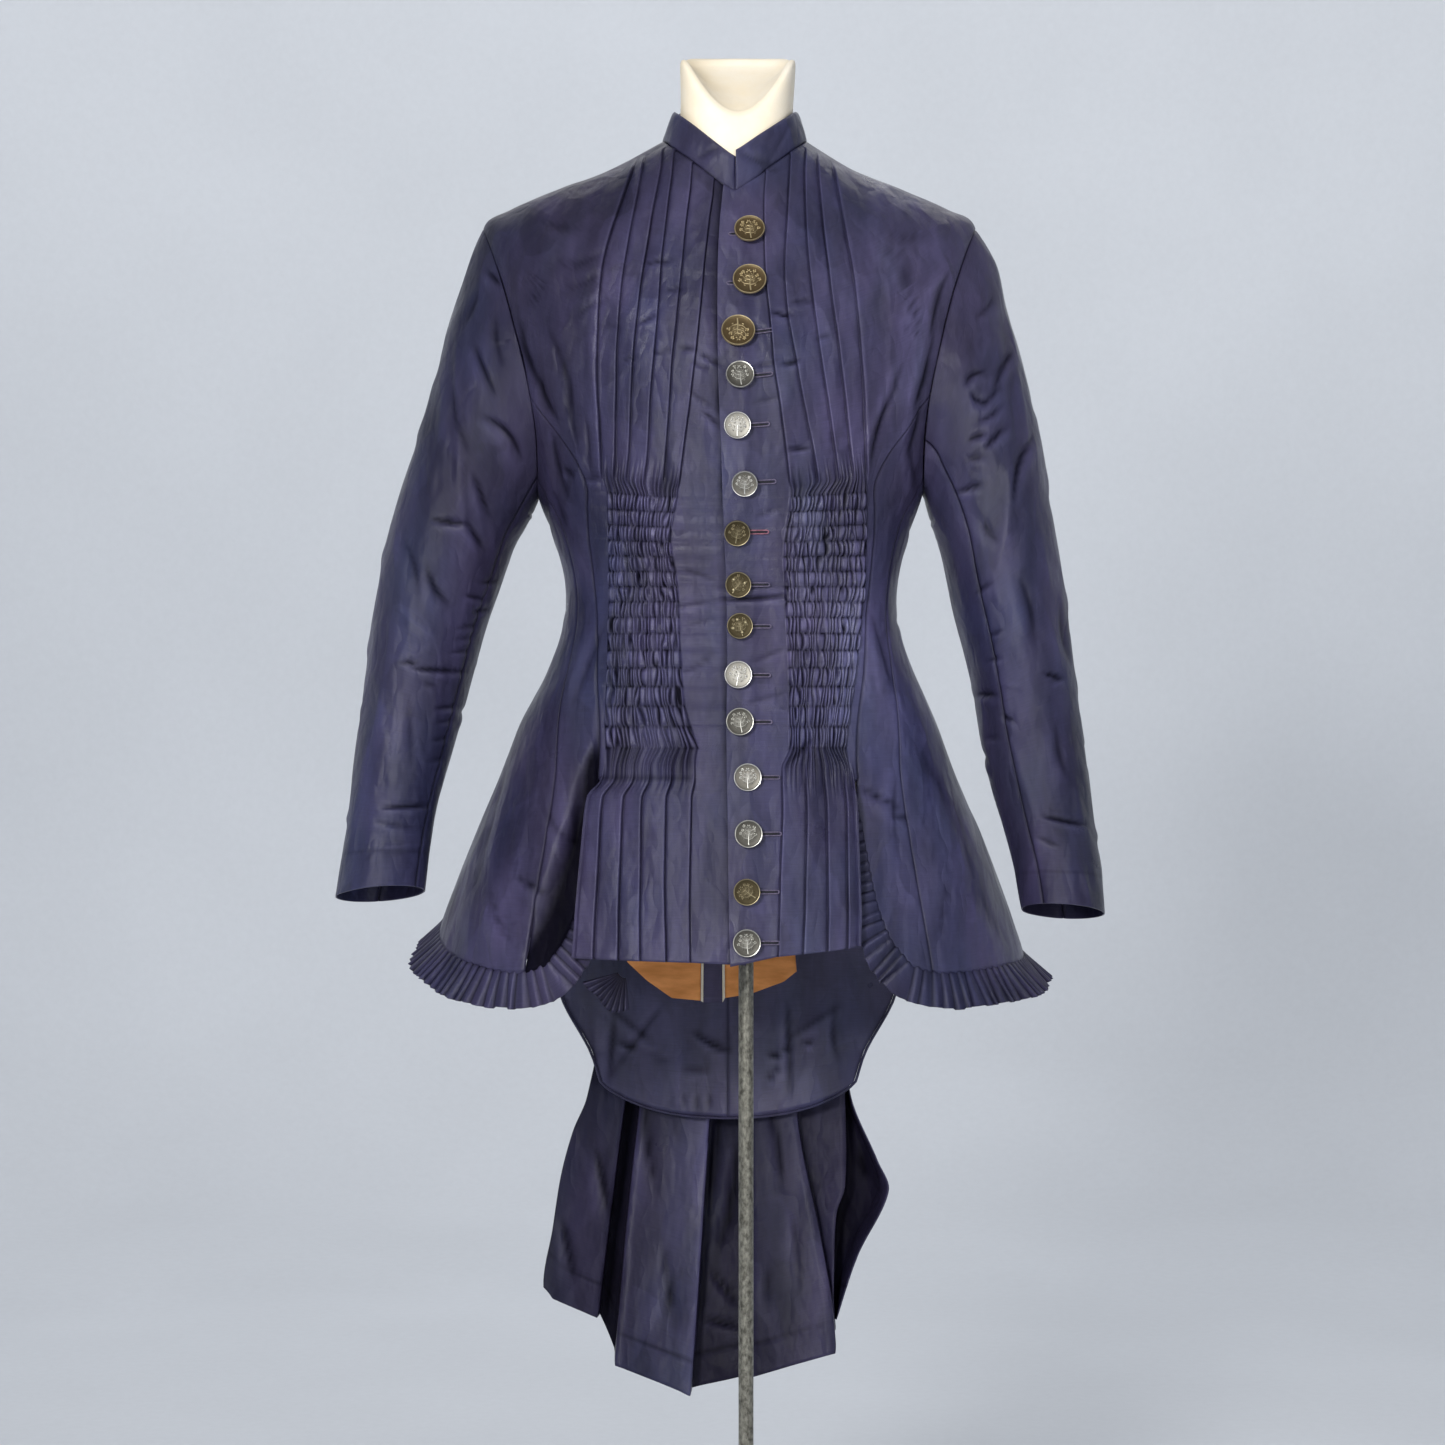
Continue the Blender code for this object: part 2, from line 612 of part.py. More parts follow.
def plain_columns(side, level):
    """Positions from the last fold to the outer seam, closer together where it is far round."""
    if level > VENT_TOP:
        return [2.0]
    turn = front_outer_edge(level) - angle_of(fold_lines(side, level)[-1], level)
    steps = max(1, math.ceil(turn / WIDEST_STEP))
    return [2.0 + k / steps for k in range(steps + 1)]


def knife_columns(count, width):
    """Positions of `count` folds, each with a low and a high point, and the raise of each."""
    columns = []
    for k in range(count):
        at = 1 + k / (count - 1)
        columns += [(max(at - width, 0.9), 0.0), (at + width, 1.0)]
    return columns


def tuck_columns(side, level):
    count = len(side.tucks)
    rise = TUCK_HEIGHT * min(1.0, 0.1 + 1.2 * level)
    columns = [(at, 0.0) for at in edge_columns(side, level)]
    columns += [(at, rise * high) for at, high in knife_columns(count, FOLD_WIDTH)]
    return columns + [(at, 0.0) for at in plain_columns(side, level)[1:]]


def smock_columns(side, level):
    band = (level - SMOCK_TOP) / (SMOCK_END - SMOCK_TOP) * SMOCK_BANDS
    middle = abs(math.sin(math.pi * band))
    shift = 0.25 / GATHERS * (1 if int(band + 0.01) % 2 else -1) * middle
    rise = GATHER_DIP + (GATHER_HEIGHT - GATHER_DIP) * middle
    columns = [(at, 0.0) for at in edge_columns(side, level) + [1.0]]
    for k in range(GATHERS):
        columns.append((1 + (k + 0.5) / GATHERS + shift, rise))
        if k < GATHERS - 1:
            columns.append((1 + (k + 1) / GATHERS, 0.0))
    return columns + [(at, 0.0) for at in plain_columns(side, level)]


def pleat_columns(side, level):
    columns = [(at, 0.0) for at in edge_columns(side, level)]
    folds = knife_columns(len(side.pleats), FOLD_WIDTH)[:-2]
    columns += [(at, PLEAT_HEIGHT * high * smooth_step((level - SMOCK_END) / 0.6)) for at, high in folds]
    return columns + [(at, 0.0) for at in plain_columns(side, level)]


def add_front(name, side):
    outer = [
        Row(level, [(at, front_point(side, at, level, rise)) for at, rise in tuck_columns(side, level)])
        for level in TUCK_ROWS
    ]
    outer += [
        Row(level, [(at, front_point(side, at, level, rise)) for at, rise in smock_columns(side, level)])
        for level in SMOCK_ROWS
    ]
    outer += [
        Row(level, [(at, front_point(side, at, level, rise)) for at, rise in pleat_columns(side, level)])
        for level in PLEAT_ROWS
    ]
    hem = [
        (at, front_point(side, at, along([(0, side.hem[0]), (2, side.hem[1])], at), rise))
        for at, rise in pleat_columns(side, 17)
    ]
    outer.append(Row(17, hem))

    inner_levels = TUCK_ROWS + [level for level in SMOCK_ROWS[::3]] + PLEAT_ROWS
    inner = []
    for level in inner_levels + [17]:
        ats = edge_columns(side, level) + [1.0, 1.33, 1.66] + plain_columns(side, level)
        points = []
        for at in ats:
            here = level if level < 17 else along([(0, side.hem[0]), (2, side.hem[1])], at)
            points.append((at, front_point(side, at, here, -CLOTH)))
        inner.append(Row(level, points))
    return add_wall(name, outer, inner, silk())


# Body panels behind the fronts

SIDE_ROWS = [7.732] + SMOCK_ROWS[::3] + PLEAT_ROWS + [16.6, 17.0]
HEM_COLUMNS = [k / 8 for k in range(9)]


def skirt_hem_level(sign, angle):
    table = [(edge.angle, edge.level_left if sign > 0 else edge.level_right) for edge in SKIRT_HEM]
    return smooth_along(table, angle)


def level_to_hem(sign, angle, down):
    """Level of a row: the lowest rows follow the hem's own slope."""
    if down <= HEM_EASE:
        return down
    share = (down - HEM_EASE) / (17 - HEM_EASE)
    return HEM_EASE + (skirt_hem_level(sign, angle) - HEM_EASE) * share


def vent_angle(level):
    return smooth_along([(level, angle) for angle, level in VENT_EDGE], level)


def panel_rows(sign, levels, left, right, acrosses, out):
    """Rows of a panel between two seams, each an angle at a level. The last row is the hem."""
    rows = []
    for level in levels:
        first, last = left(level) + gap_angle(level), right(level) - gap_angle(level)
        if last - first < 0.3:
            rows.append(Row(level, [(0.5, body_point(sign * (first + last) / 2, level, out))]))
            continue
        points = []
        for a in acrosses if level < 17 else HEM_COLUMNS:
            angle = first + (last - first) * a
            points.append((a, body_point(sign * angle, level_to_hem(sign, angle, level), out)))
        rows.append(Row(level, points))
    return rows


def add_panel(name, sign, levels, left, right, acrosses):
    outer = panel_rows(sign, levels, left, right, acrosses, 0.0)
    inner = panel_rows(sign, levels, left, right, acrosses[:: max(1, len(acrosses) // 2)], -CLOTH)
    return add_wall(name, outer, inner, silk())


def side_front_left(level):
    return seam_angle("front", level) if level <= VENT_TOP else vent_angle(level)


def side_front_right(level):
    return armhole_front_edge(level) if level < 7.732 else seam_angle("side", level)


def side_back_left(level):
    return armhole_back_edge(level) if level < 7.732 else seam_angle("side_back", level)


def add_side_panels(sign, wearer):
    top = [6.347, 7.147]
    add_panel(
        f"side_front_{wearer}", sign, top + SIDE_ROWS, side_front_left, side_front_right, [0, 0.5, 1]
    )
    add_panel(
        f"side_back_{wearer}",
        sign,
        top + SIDE_ROWS,
        side_back_left,
        lambda level: seam_angle("back", level),
        [0, 0.25, 0.5, 0.75, 1],
    )
    add_underarm(f"underarm_{wearer}", sign)


def add_underarm(name, sign):
    """The panel under the arm, whose top follows the bottom of the armhole."""

    def point(across, down, out):
        dip = (UNDERARM + 0.004 - 7.732) * (1 - abs(2 * across - 1) ** 1.7)
        level = down + (dip + 0.006) * max(0.0, 9.0 - down) / (9.0 - 7.732)
        first, last = seam_angle("side", down), seam_angle("side_back", down)
        first, last = first + gap_angle(down), last - gap_angle(down)
        angle = first + (last - first) * across
        if down > HEM_EASE:
            level = level_to_hem(sign, angle, down)
        return body_point(sign * angle, level, out)

    walls = []
    acrosses = [0, 0.25, 0.5, 0.75, 1]
    for out in (0.0, -CLOTH):
        rows = grid(SIDE_ROWS[:-1], acrosses, lambda a, d, out=out: point(a, d, out))
        rows += grid(SIDE_ROWS[-1:], HEM_COLUMNS, lambda a, d, out=out: point(a, d, out))
        walls.append(rows)
    return add_wall(name, *walls, silk())


def back_side_edge(level):
    if level <= SHOULDER_TIP:
        return 90.0
    if level < SEAMS[0].level:
        return armhole_back_edge(level)
    if level <= 17:
        return seam_angle("back", level)
    return smooth_along(BASQUE_EDGE, level)


def add_back(name, sign):
    levels = TUCK_ROWS + SIDE_ROWS[1:] + [17.5, 18.0, 18.5, 19.0]

    def rows(out):
        made = []
        for level in levels:
            first, last = back_side_edge(level) + gap_angle(level), 180 - gap_angle(level)
            steps = 5 if level < 9 or level > 16 else 3
            points = [
                (k / steps, body_point(sign * (first + (last - first) * k / steps), level, out))
                for k in range(steps + 1)
            ]
            made.append(Row(level, points))
        hem = [(k / 6, basque_hem_point(sign, k / 6, out)) for k in range(7)]
        return made + [Row(20, hem)]

    return add_wall(name, rows(0.0), rows(-CLOTH), silk())


def basque_hem_point(sign, across, out):
    corner, corner_level = BASQUE_EDGE[-1][1], BASQUE_EDGE[-1][0]
    last = 180 - gap_angle(20)
    angle = corner + (last - corner) * across
    level = corner_level + (BASQUE_CENTRE - corner_level) * math.sin(across * math.pi / 2) ** 0.8
    return body_point(sign * angle, level, out)


def add_piping():
    """A round cord on the basque's free edge, from one back seam to the other."""
    clear = PIPING / 2 + 0.0004
    half = []
    for level in (17.1, 17.5, 18.0, 18.5, 19.0):
        angle = back_side_edge(level) - math.degrees(clear / half_width(level))
        half.append(body_point(angle, level, -CLOTH / 2))
    for across in (0, 0.2, 0.4, 0.6, 0.8, 1.0):
        edge = basque_hem_point(1, across, -CLOTH / 2)
        slant = math.radians(45 * (1 - across))
        half.append(edge + Vector((math.sin(slant), 0, -math.cos(slant))) * clear)
    centre = 2 * ring_at(19).x_centre
    other = [Vector((centre - p.x, p.y, p.z)) for p in half[:-1]]
    curve = bpy.data.curves.new("hem_piping", "CURVE")
    curve.dimensions = "3D"
    curve.bevel_depth = PIPING / 2
    curve.bevel_resolution = 1
    curve.use_fill_caps = True
    points = half + other[::-1]
    line = curve.splines.new("POLY")
    line.points.add(len(points) - 1)
    for spot, place in zip(line.points, points):
        spot.co = (*place, 1)
    curve.materials.append(silk())
    bpy.context.scene.collection.objects.link(bpy.data.objects.new("hem_piping", curve))


# Collar

def add_collar():
    neckline = ring_at(0)
    angles = [2.2 + (360 - 2.8) * i / 26 for i in range(27)]

    def point(angle, height, inside):
        low, high = ring_point(neckline, angle), ring_point(COLLAR_TOP, angle)
        outwards = Vector((math.sin(math.radians(angle)), -math.cos(math.radians(angle)), 0))
        point_here = low.lerp(high, height) + Vector((0, 0, COLLAR_GAP * (1 - height)))
        return point_here - outwards * inside

    outer = grid([0, 0.5, 1], angles, lambda a, h: point(a, h, 0.0))
    inner = grid([0, 0.5, 1], angles, lambda a, h: point(a, h, CLOTH))
    return add_wall("collar", outer, inner, silk())


# Sleeves

def sleeve_ellipse(station, turn):
    outer = Vector((station.x_outer, station.y, station.z_outer))
    inner = Vector((station.x_inner, station.y, station.z_inner))
    angle = math.radians(turn)
    middle, reach = (outer + inner) / 2, (outer - inner) / 2
    return middle + reach * math.cos(angle) + Vector((0, -station.half_depth * math.sin(angle), 0))


def armhole_rim(sign, turn):
    """Point of the armhole's edge, a seam's width inside it."""
    inset = 2 * SEAM_HALF_GAP
    middle = (SHOULDER_TIP + UNDERARM) / 2
    level = middle + (armhole_level(turn) - middle) * (1 - inset / 0.1)
    angle = 90 + (armhole_angle(turn) - 90) * (1 - inset / 0.09)
    return body_point(sign * angle, level)


def sleeve_point(stations, sign, turn, down):
    """Point of a sleeve. Its first rings change from the armhole's outline to plain ovals."""
    station = Station(*curve_through(stations, down))
    share = along(list(enumerate(ARMHOLE_BLEND)) + [(len(ARMHOLE_BLEND), 0.0)], down)
    point = sleeve_ellipse(station, turn)
    if share > 0:
        point += (armhole_rim(sign, turn) - sleeve_ellipse(stations[0], turn)) * share
    return point


def sleeve_wall_point(stations, sign, turn, down, inside):
    point = sleeve_point(stations, sign, turn, down)
    if not inside:
        return point
    last = len(stations) - 1
    across = sleeve_point(stations, sign, turn + 2, down) - sleeve_point(stations, sign, turn - 2, down)
    along_arm = sleeve_point(stations, sign, turn, min(down + 0.1, last)) - sleeve_point(
        stations, sign, turn, max(down - 0.1, 0)
    )
    inwards = across.cross(along_arm).normalized()
    station = Station(*curve_through(stations, down))
    centre = (sleeve_ellipse(station, 0) + sleeve_ellipse(station, 180)) / 2
    if inwards.dot(centre - point) < 0:
        inwards.negate()
    return point + inwards * inside


def add_sleeve(wearer, sign, stations, front_seam):
    turns = ARMHOLE_TURNS
    under = [turn for turn in turns if front_seam <= turn <= ELBOW_SEAM]
    upper = [turn - 360 for turn in turns if turn >= ELBOW_SEAM]
    upper += [turn for turn in turns if turn <= front_seam]
    gap = 0.25
    for name, columns in ((f"sleeve_upper_{wearer}", upper), (f"sleeve_under_{wearer}", under)):
        columns = [columns[0] + gap] + columns[1:-1] + [columns[-1] - gap]
        downs = list(range(len(stations)))
        walls = [
            grid(downs, columns, lambda t, d, inside=inside: sleeve_wall_point(stations, sign, t, d, inside))
            for inside in (0.0, CLOTH)
        ]
        add_wall(name, *walls, silk())


# Frill

def skirt_edge_path(sign):
    """Places (angle, level) along the vent's edge and the hem, evenly spaced on the body."""
    top, corner = VENT_EDGE[0], VENT_EDGE[-1]
    first, last = SKIRT_HEM[0].angle, SKIRT_HEM[-1].angle
    levels = [top[1] + (corner[1] - top[1]) * k / 60 for k in range(61)]
    turns = [first + (last - first) * k / 200 for k in range(1, 201)]
    fine = [(vent_angle(level), level) for level in levels]
    fine += [(turn, skirt_hem_level(sign, turn)) for turn in turns]
    points = [body_point(sign * angle, level) for angle, level in fine]
    lengths = [0.0]
    for a, b in zip(points, points[1:]):
        lengths.append(lengths[-1] + (b - a).length)
    angles = list(zip(lengths, [place[0] for place in fine]))
    levels = list(zip(lengths, [place[1] for place in fine]))
    return lengths[-1], lambda at: (along(angles, at), along(levels, at))


def add_frill(name, sign):
    length, place = skirt_edge_path(sign)

    def point(at, down, raised):
        angle, level = place(at * length)
        before, after = place(max(0, at - 0.006) * length), place(min(1, at + 0.006) * length)
        here, normal = body_point(sign * angle, level), body_normal(sign * angle, level)
        normal = normal if normal.dot(here - Vector((0, 0.03, here.z))) > 0 else -normal
        tangent = body_point(sign * after[0], after[1]) - body_point(sign * before[0], before[1])
        away = tangent.cross(normal).normalized() * sign
        under_front = 1 - smooth_step((at * length - 0.02) / 0.10)
        depth = FRILL_DEPTH * (1 - 0.62 * under_front)
        flare = FRILL_FLARE * smooth_step((at * length - 0.13) / 0.10)
        return here + away * (FRILL_SEAM + depth * down) + normal * (flare * down**1.3 + raised)

    columns = []
    for k in range(FRILL_PLEATS):
        start = k / FRILL_PLEATS
        columns += [(start, 0.0), (start + FRILL_PLEAT_STEP / FRILL_PLEATS, 1.0)]
    columns.append((1.0, 0.0))
    outer = [
        Row(down, [(at, point(at, down, FRILL_HEIGHT * high * (0.45 + 0.55 * down))) for at, high in columns])
        for down in (0.0, 0.5, 1.0)
    ]
    folds = [k / FRILL_PLEATS for k in range(FRILL_PLEATS + 1)]
    inner = grid((0.0, 0.5, 1.0), folds, lambda at, down: point(at, down, -CLOTH))
    return add_wall(name, outer, inner, silk())


# Tail

def level_at(z, end="z_back"):
    """Level at which a ring's end has this height."""
    low, high = 0.0, len(BODY_RINGS) - 1.0
    for _ in range(40):
        middle = (low + high) / 2
        if getattr(ring_at(middle), end) > z:
            low = middle
        else:
            high = middle
    return low


def back_of_body(x, z, out=0.0):
    level = level_at(z)
    distance = x - ring_at(level).x_centre
    angle = math.copysign(180, distance) - angle_of(distance, level)
    return body_point(angle, level, out)


def tail_point(across, down, out):
    row = TailRow(*curve_through(TAIL_ROWS, down))
    pleats = [(p.across, p.depth) for p in TAIL_PLEATS]
    grown = smooth_step(down / 2.2)
    x = row.x_right + (row.x_left - row.x_right) * across
    y = back_of_body(x, max(row.z, TAIL_LEAVES_BODY)).y + row.clear + along(pleats, across) * grown
    z = row.z
    last = len(TAIL_ROWS) - 1
    if down > last - 1:
        hem = along([(p.across, p.hem_z) for p in TAIL_PLEATS], across)
        start = TAIL_ROWS[last - 1].z
        share = down - (last - 1)
        z = start + (hem - start) * share
    return Vector((x, y + out, z))


def add_tail():
    acrosses = [p.across for p in TAIL_PLEATS]
    downs = [0, 0.5, 1, 1.5, 2, 3, 4, 5, 6, 7]
    outer = grid(downs, acrosses, lambda a, d: tail_point(a, d, 0.0))
    inner = grid(downs, acrosses, lambda a, d: tail_point(a, d, CLOTH * 1.2))
    return add_wall("tail", outer, inner, silk())


# Lining

def add_lining(name, hem):
    finish = material("lining_cotton", COTTON, 0.5) if name != "lining_strip" else silk()
    centre = -0.027

    def point(spot, down, out):
        x_hem, z_hem = hem[spot]
        x = centre + (x_hem - centre) * (LINING_TOP_WIDTH + (1 - LINING_TOP_WIDTH) * down)
        top = back_of_body(x, LINING_TOP).y - LINING_CLEAR
        y = top + (LINING_Y_HEM - 1.5 * (x - centre) ** 2 - top) * down
        return Vector((x, y + out, LINING_TOP + (z_hem - LINING_TOP) * down))

    spots = list(range(len(hem)))
    downs = [0, 0.25, 0.5, 0.75, 1]
    outer = grid(downs, spots, lambda s, d: point(s, d, 0.0))
    inner = grid(downs, spots, lambda s, d: point(s, d, 0.0010))
    return add_wall(name, outer, inner, finish)


# Buttons

def placket_row(level, x):
    """Point at this x on a row of the upper front."""
    points = [front_point(LEFT_FRONT, at, level, 0.0) for at in edge_columns(LEFT_FRONT, level)]
    low, high = points[:2] if x <= points[1].x else points[1:3]
    return low.lerp(high, (x - low.x) / (high.x - low.x))


def placket_spot(z, x):
    """Place on the placket's face at a height, and the way it faces."""
    levels = TUCK_ROWS + SMOCK_ROWS + PLEAT_ROWS + [LEFT_FRONT.hem[0]]
    lower = next(i for i in range(1, len(levels)) if placket_row(levels[i], x).z <= z)
    low, high = placket_row(levels[lower], x), placket_row(levels[lower - 1], x)
    across = placket_row(levels[lower], x + 0.003) - placket_row(levels[lower], x - 0.003)
    place = low.lerp(high, (z - low.z) / (high.z - low.z))
    return place, across.cross(high - low).normalized()


def add_button(number, button):
    """A shanked button with a raised rim, turned about its own axis."""
    radius, top = button.radius, BUTTON_STANDOFF + BUTTON_THICKNESS
    profile = [
        (0.0028, 0.0),
        (0.0028, BUTTON_STANDOFF),
        (radius, BUTTON_STANDOFF + 0.0010),
        (radius * 0.94, top),
        (radius * 0.84, top - 0.0008),
    ]
    mesh = bmesh.new()
    rings = [
        [
            mesh.verts.new(
                (r * math.cos(math.tau * k / BUTTON_SIDES), r * math.sin(math.tau * k / BUTTON_SIDES), h)
            )
            for k in range(BUTTON_SIDES)
        ]
        for r, h in profile
    ]
    for low, high in zip(rings, rings[1:]):
        for k in range(BUTTON_SIDES):
            nxt = (k + 1) % BUTTON_SIDES
            mesh.faces.new((low[k], low[nxt], high[nxt], high[k]))
    mesh.faces.new(rings[0][::-1])
    crown = mesh.verts.new((0, 0, top - 0.0002))
    for k in range(BUTTON_SIDES):
        mesh.faces.new((rings[-1][k], rings[-1][(k + 1) % BUTTON_SIDES], crown))
    made = add_object(f"button_{number:02d}", mesh, material("button_metal", METAL, 0.35, 0.9))
    place, facing = placket_spot(button.z, button.x)
    made.rotation_mode = "QUATERNION"
    made.rotation_quaternion = facing.to_track_quat("Z", "Y")
    made.location = place + facing * BUTTON_CLEAR


# Dress form and stand

def form_rings(angles):
    rings = []
    for row in FORM_HIPS:
        ring = Ring(row.z, row.y_front, row.x_side, 0.0, row.z, row.y_back, row.z, FORM_CENTRE_X)
        rings.append([ring_point(ring, angle) for angle in angles])
    for level in FORM_LEVELS:
        ring = []
        for angle in angles:
            from_side = abs(abs(angle if angle <= 180 else angle - 360) - 90)
            ridge = math.exp(-((from_side / 16) ** 2)) * smooth_step((level - 0.4) / 0.8)
            ridge *= smooth_step((3.6 - level) / 0.6)
            inset = FORM_CLEARANCE + (SHOULDER_CLEARANCE - FORM_CLEARANCE) * ridge
            ring.append(body_point(angle if angle <= 180 else angle - 360, level, -inset))
        rings.append(ring)
    rings += [[ring_point(ring, angle) for angle in angles] for ring in NECK_RINGS]
    return rings


def add_dress_form():
    angles = [i * 360 / FORM_SIDES for i in range(FORM_SIDES)]
    mesh = bmesh.new()
    rings = [[mesh.verts.new(point) for point in ring] for ring in form_rings(angles)]
    for low, high in zip(rings, rings[1:]):
        for k in range(len(angles)):
            nxt = (k + 1) % len(angles)
            mesh.faces.new((low[k], low[nxt], high[nxt], high[k]))
    mesh.faces.new(rings[0][::-1])
    scoop = mesh.verts.new(NECK_SCOOP)
    for k in range(len(angles)):
        mesh.faces.new((rings[-1][k], rings[-1][(k + 1) % len(angles)], scoop))
    return add_object("dress_form", mesh, material("form_linen", LINEN, 0.7))


def add_turned(name, profile, sides, finish):
    """A closed solid turned about the rod's axis from (radius, height) pairs."""
    mesh = bmesh.new()
    line = [mesh.verts.new((radius, 0, height)) for radius, height in profile]
    edges = [mesh.edges.new(pair) for pair in zip(line, line[1:])]
    bmesh.ops.spin(
        mesh, geom=line + edges, axis=(0, 0, 1), cent=(0, 0, 0), steps=sides, angle=math.tau, use_merge=True
    )
    bmesh.ops.remove_doubles(mesh, verts=mesh.verts, dist=1e-6)
    return add_object(name, mesh, finish)


def add_stand():
    steel = material("stand_steel", STEEL, 0.5, 0.8)
    top = FORM_HIPS[0].z - 0.0003
    add_turned(
        "stand_rod",
        [(0, ROD_FOOT), (ROD_RADIUS, ROD_FOOT), (ROD_RADIUS, top), (0, top)],
        16,
        steel,
    )
    add_turned(
        "stand_base",
        [
            (0, 0),
            (BASE_RADIUS, 0),
            (BASE_RADIUS, BASE_HEIGHT * 0.7),
            (BASE_RADIUS - 0.004, BASE_HEIGHT),
            (BOSS_RADIUS + 0.004, BASE_HEIGHT),
            (BOSS_RADIUS, BASE_HEIGHT + 0.004),
            (BOSS_RADIUS, BOSS_HEIGHT - 0.003),
            (BOSS_RADIUS - 0.003, BOSS_HEIGHT),
            (0, BOSS_HEIGHT),
        ],
        28,
        steel,
    )


def main():
    for old in list(bpy.data.objects):
        bpy.data.objects.remove(old)
    add_front("front_right", RIGHT_FRONT)
    add_front("front_left", LEFT_FRONT)
    for sign, wearer in ((-1, "right"), (1, "left")):
        add_side_panels(sign, wearer)
        add_back(f"back_{wearer}", sign)
        add_frill(f"frill_{wearer}", sign)
    add_piping()
    add_collar()
    add_sleeve("right", -1, SLEEVE_RIGHT, 150)
    add_sleeve("left", 1, SLEEVE_LEFT, 125)
    add_tail()
    for name, hem in LINING_PANELS.items():
        add_lining(name, hem)
    for number, button in enumerate(BUTTONS, 1):
        add_button(number, button)
    add_dress_form()
    add_stand()


main()
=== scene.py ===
import json
import math

import bmesh
import bpy
import numpy as np
from mathutils import Matrix, Vector

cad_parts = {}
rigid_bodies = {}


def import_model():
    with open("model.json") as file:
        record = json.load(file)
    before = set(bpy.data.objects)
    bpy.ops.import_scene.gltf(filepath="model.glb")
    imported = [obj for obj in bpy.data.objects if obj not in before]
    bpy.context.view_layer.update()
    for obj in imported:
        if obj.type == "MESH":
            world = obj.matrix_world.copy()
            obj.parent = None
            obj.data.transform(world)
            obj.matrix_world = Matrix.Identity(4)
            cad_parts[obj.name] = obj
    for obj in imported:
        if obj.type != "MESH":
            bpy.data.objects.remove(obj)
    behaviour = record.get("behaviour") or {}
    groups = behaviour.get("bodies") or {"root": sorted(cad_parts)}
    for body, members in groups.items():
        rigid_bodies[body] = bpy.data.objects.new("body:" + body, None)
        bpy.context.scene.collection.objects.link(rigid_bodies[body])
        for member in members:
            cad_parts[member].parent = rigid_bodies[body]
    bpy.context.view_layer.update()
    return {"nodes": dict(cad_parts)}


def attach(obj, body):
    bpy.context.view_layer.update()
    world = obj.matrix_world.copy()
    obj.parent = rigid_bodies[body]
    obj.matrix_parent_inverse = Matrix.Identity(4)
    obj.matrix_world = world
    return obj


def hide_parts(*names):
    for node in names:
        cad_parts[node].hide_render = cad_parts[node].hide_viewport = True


for old in list(bpy.data.objects):
    bpy.data.objects.remove(old)
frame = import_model()
print("frame loaded:", len(frame["nodes"]), "nodes")

clothThickness = 0.0007
cadWall = 0.0015
seamHalfGap = -0.00012


# Small helpers for arrays

def smoothStep(value):
    value = np.clip(value, 0.0, 1.0)
    return value * value * (3 - 2 * value)


def bell(value, width):
    # 1 where the value is 0, and near 0 from two widths on
    return np.exp(-((value / width) ** 2))


def metres(rows):
    # rows written in tenths of a millimetre
    return [[value / 10000 for value in row] for row in rows]


def lengthAcross(points):
    return np.cumsum(np.linalg.norm(np.diff(points, axis=1, prepend=points[:, :1]), axis=-1), axis=1)


def curveThrough(rows, at):
    # smooth curve through evenly spaced rows
    rows = np.asarray(rows, float)
    last = len(rows) - 1
    at = np.clip(np.asarray(at, float), 0, last)
    i = np.minimum(at.astype(int), last - 1)
    t = (at - i)[..., None]
    a, b = rows[np.maximum(i - 1, 0)], rows[i]
    c, d = rows[i + 1], rows[np.minimum(i + 2, last)]
    return b + 0.5 * t * (c - a + t * (2 * a - 5 * b + 4 * c - d + t * (3 * (b - c) + d - a)))


def smoothAlong(table, at):
    # smooth value of (position, value) pairs with uneven positions
    table = np.asarray(table, float)
    x, y = table[:, 0], table[:, 1]
    low = np.maximum(np.arange(len(x)) - 1, 0)
    high = np.minimum(np.arange(len(x)) + 1, len(x) - 1)
    slope = (y[high] - y[low]) / (x[high] - x[low])
    at = np.clip(np.asarray(at, float), x[0], x[-1])
    i = np.clip(np.searchsorted(x, at, side="right") - 1, 0, len(x) - 2)
    step = x[i + 1] - x[i]
    t = (at - x[i]) / step
    return (
        y[i] * (1 + 2 * t) * (1 - t) ** 2
        + y[i + 1] * t * t * (3 - 2 * t)
        + step * (slope[i] * t * (1 - t) ** 2 - slope[i + 1] * t * t * (1 - t))
    )


lattice = np.random.default_rng(11).random((32, 32, 32))


def softNoise(points, scale, seed=0):
    # smooth value noise from -1 to 1
    p = np.asarray(points, float) * scale + seed * 7.31
    i = np.floor(p).astype(int)
    f = p - i
    f = f * f * (3 - 2 * f)
    total = 0.0
    for dx in (0, 1):
        for dy in (0, 1):
            for dz in (0, 1):
                weight = (
                    (f[..., 0] if dx else 1 - f[..., 0])
                    * (f[..., 1] if dy else 1 - f[..., 1])
                    * (f[..., 2] if dz else 1 - f[..., 2])
                )
                corner = (i + (dx, dy, dz)) % 32
                total = total + weight * lattice[corner[..., 0], corner[..., 1], corner[..., 2]]
    return 2 * total - 1


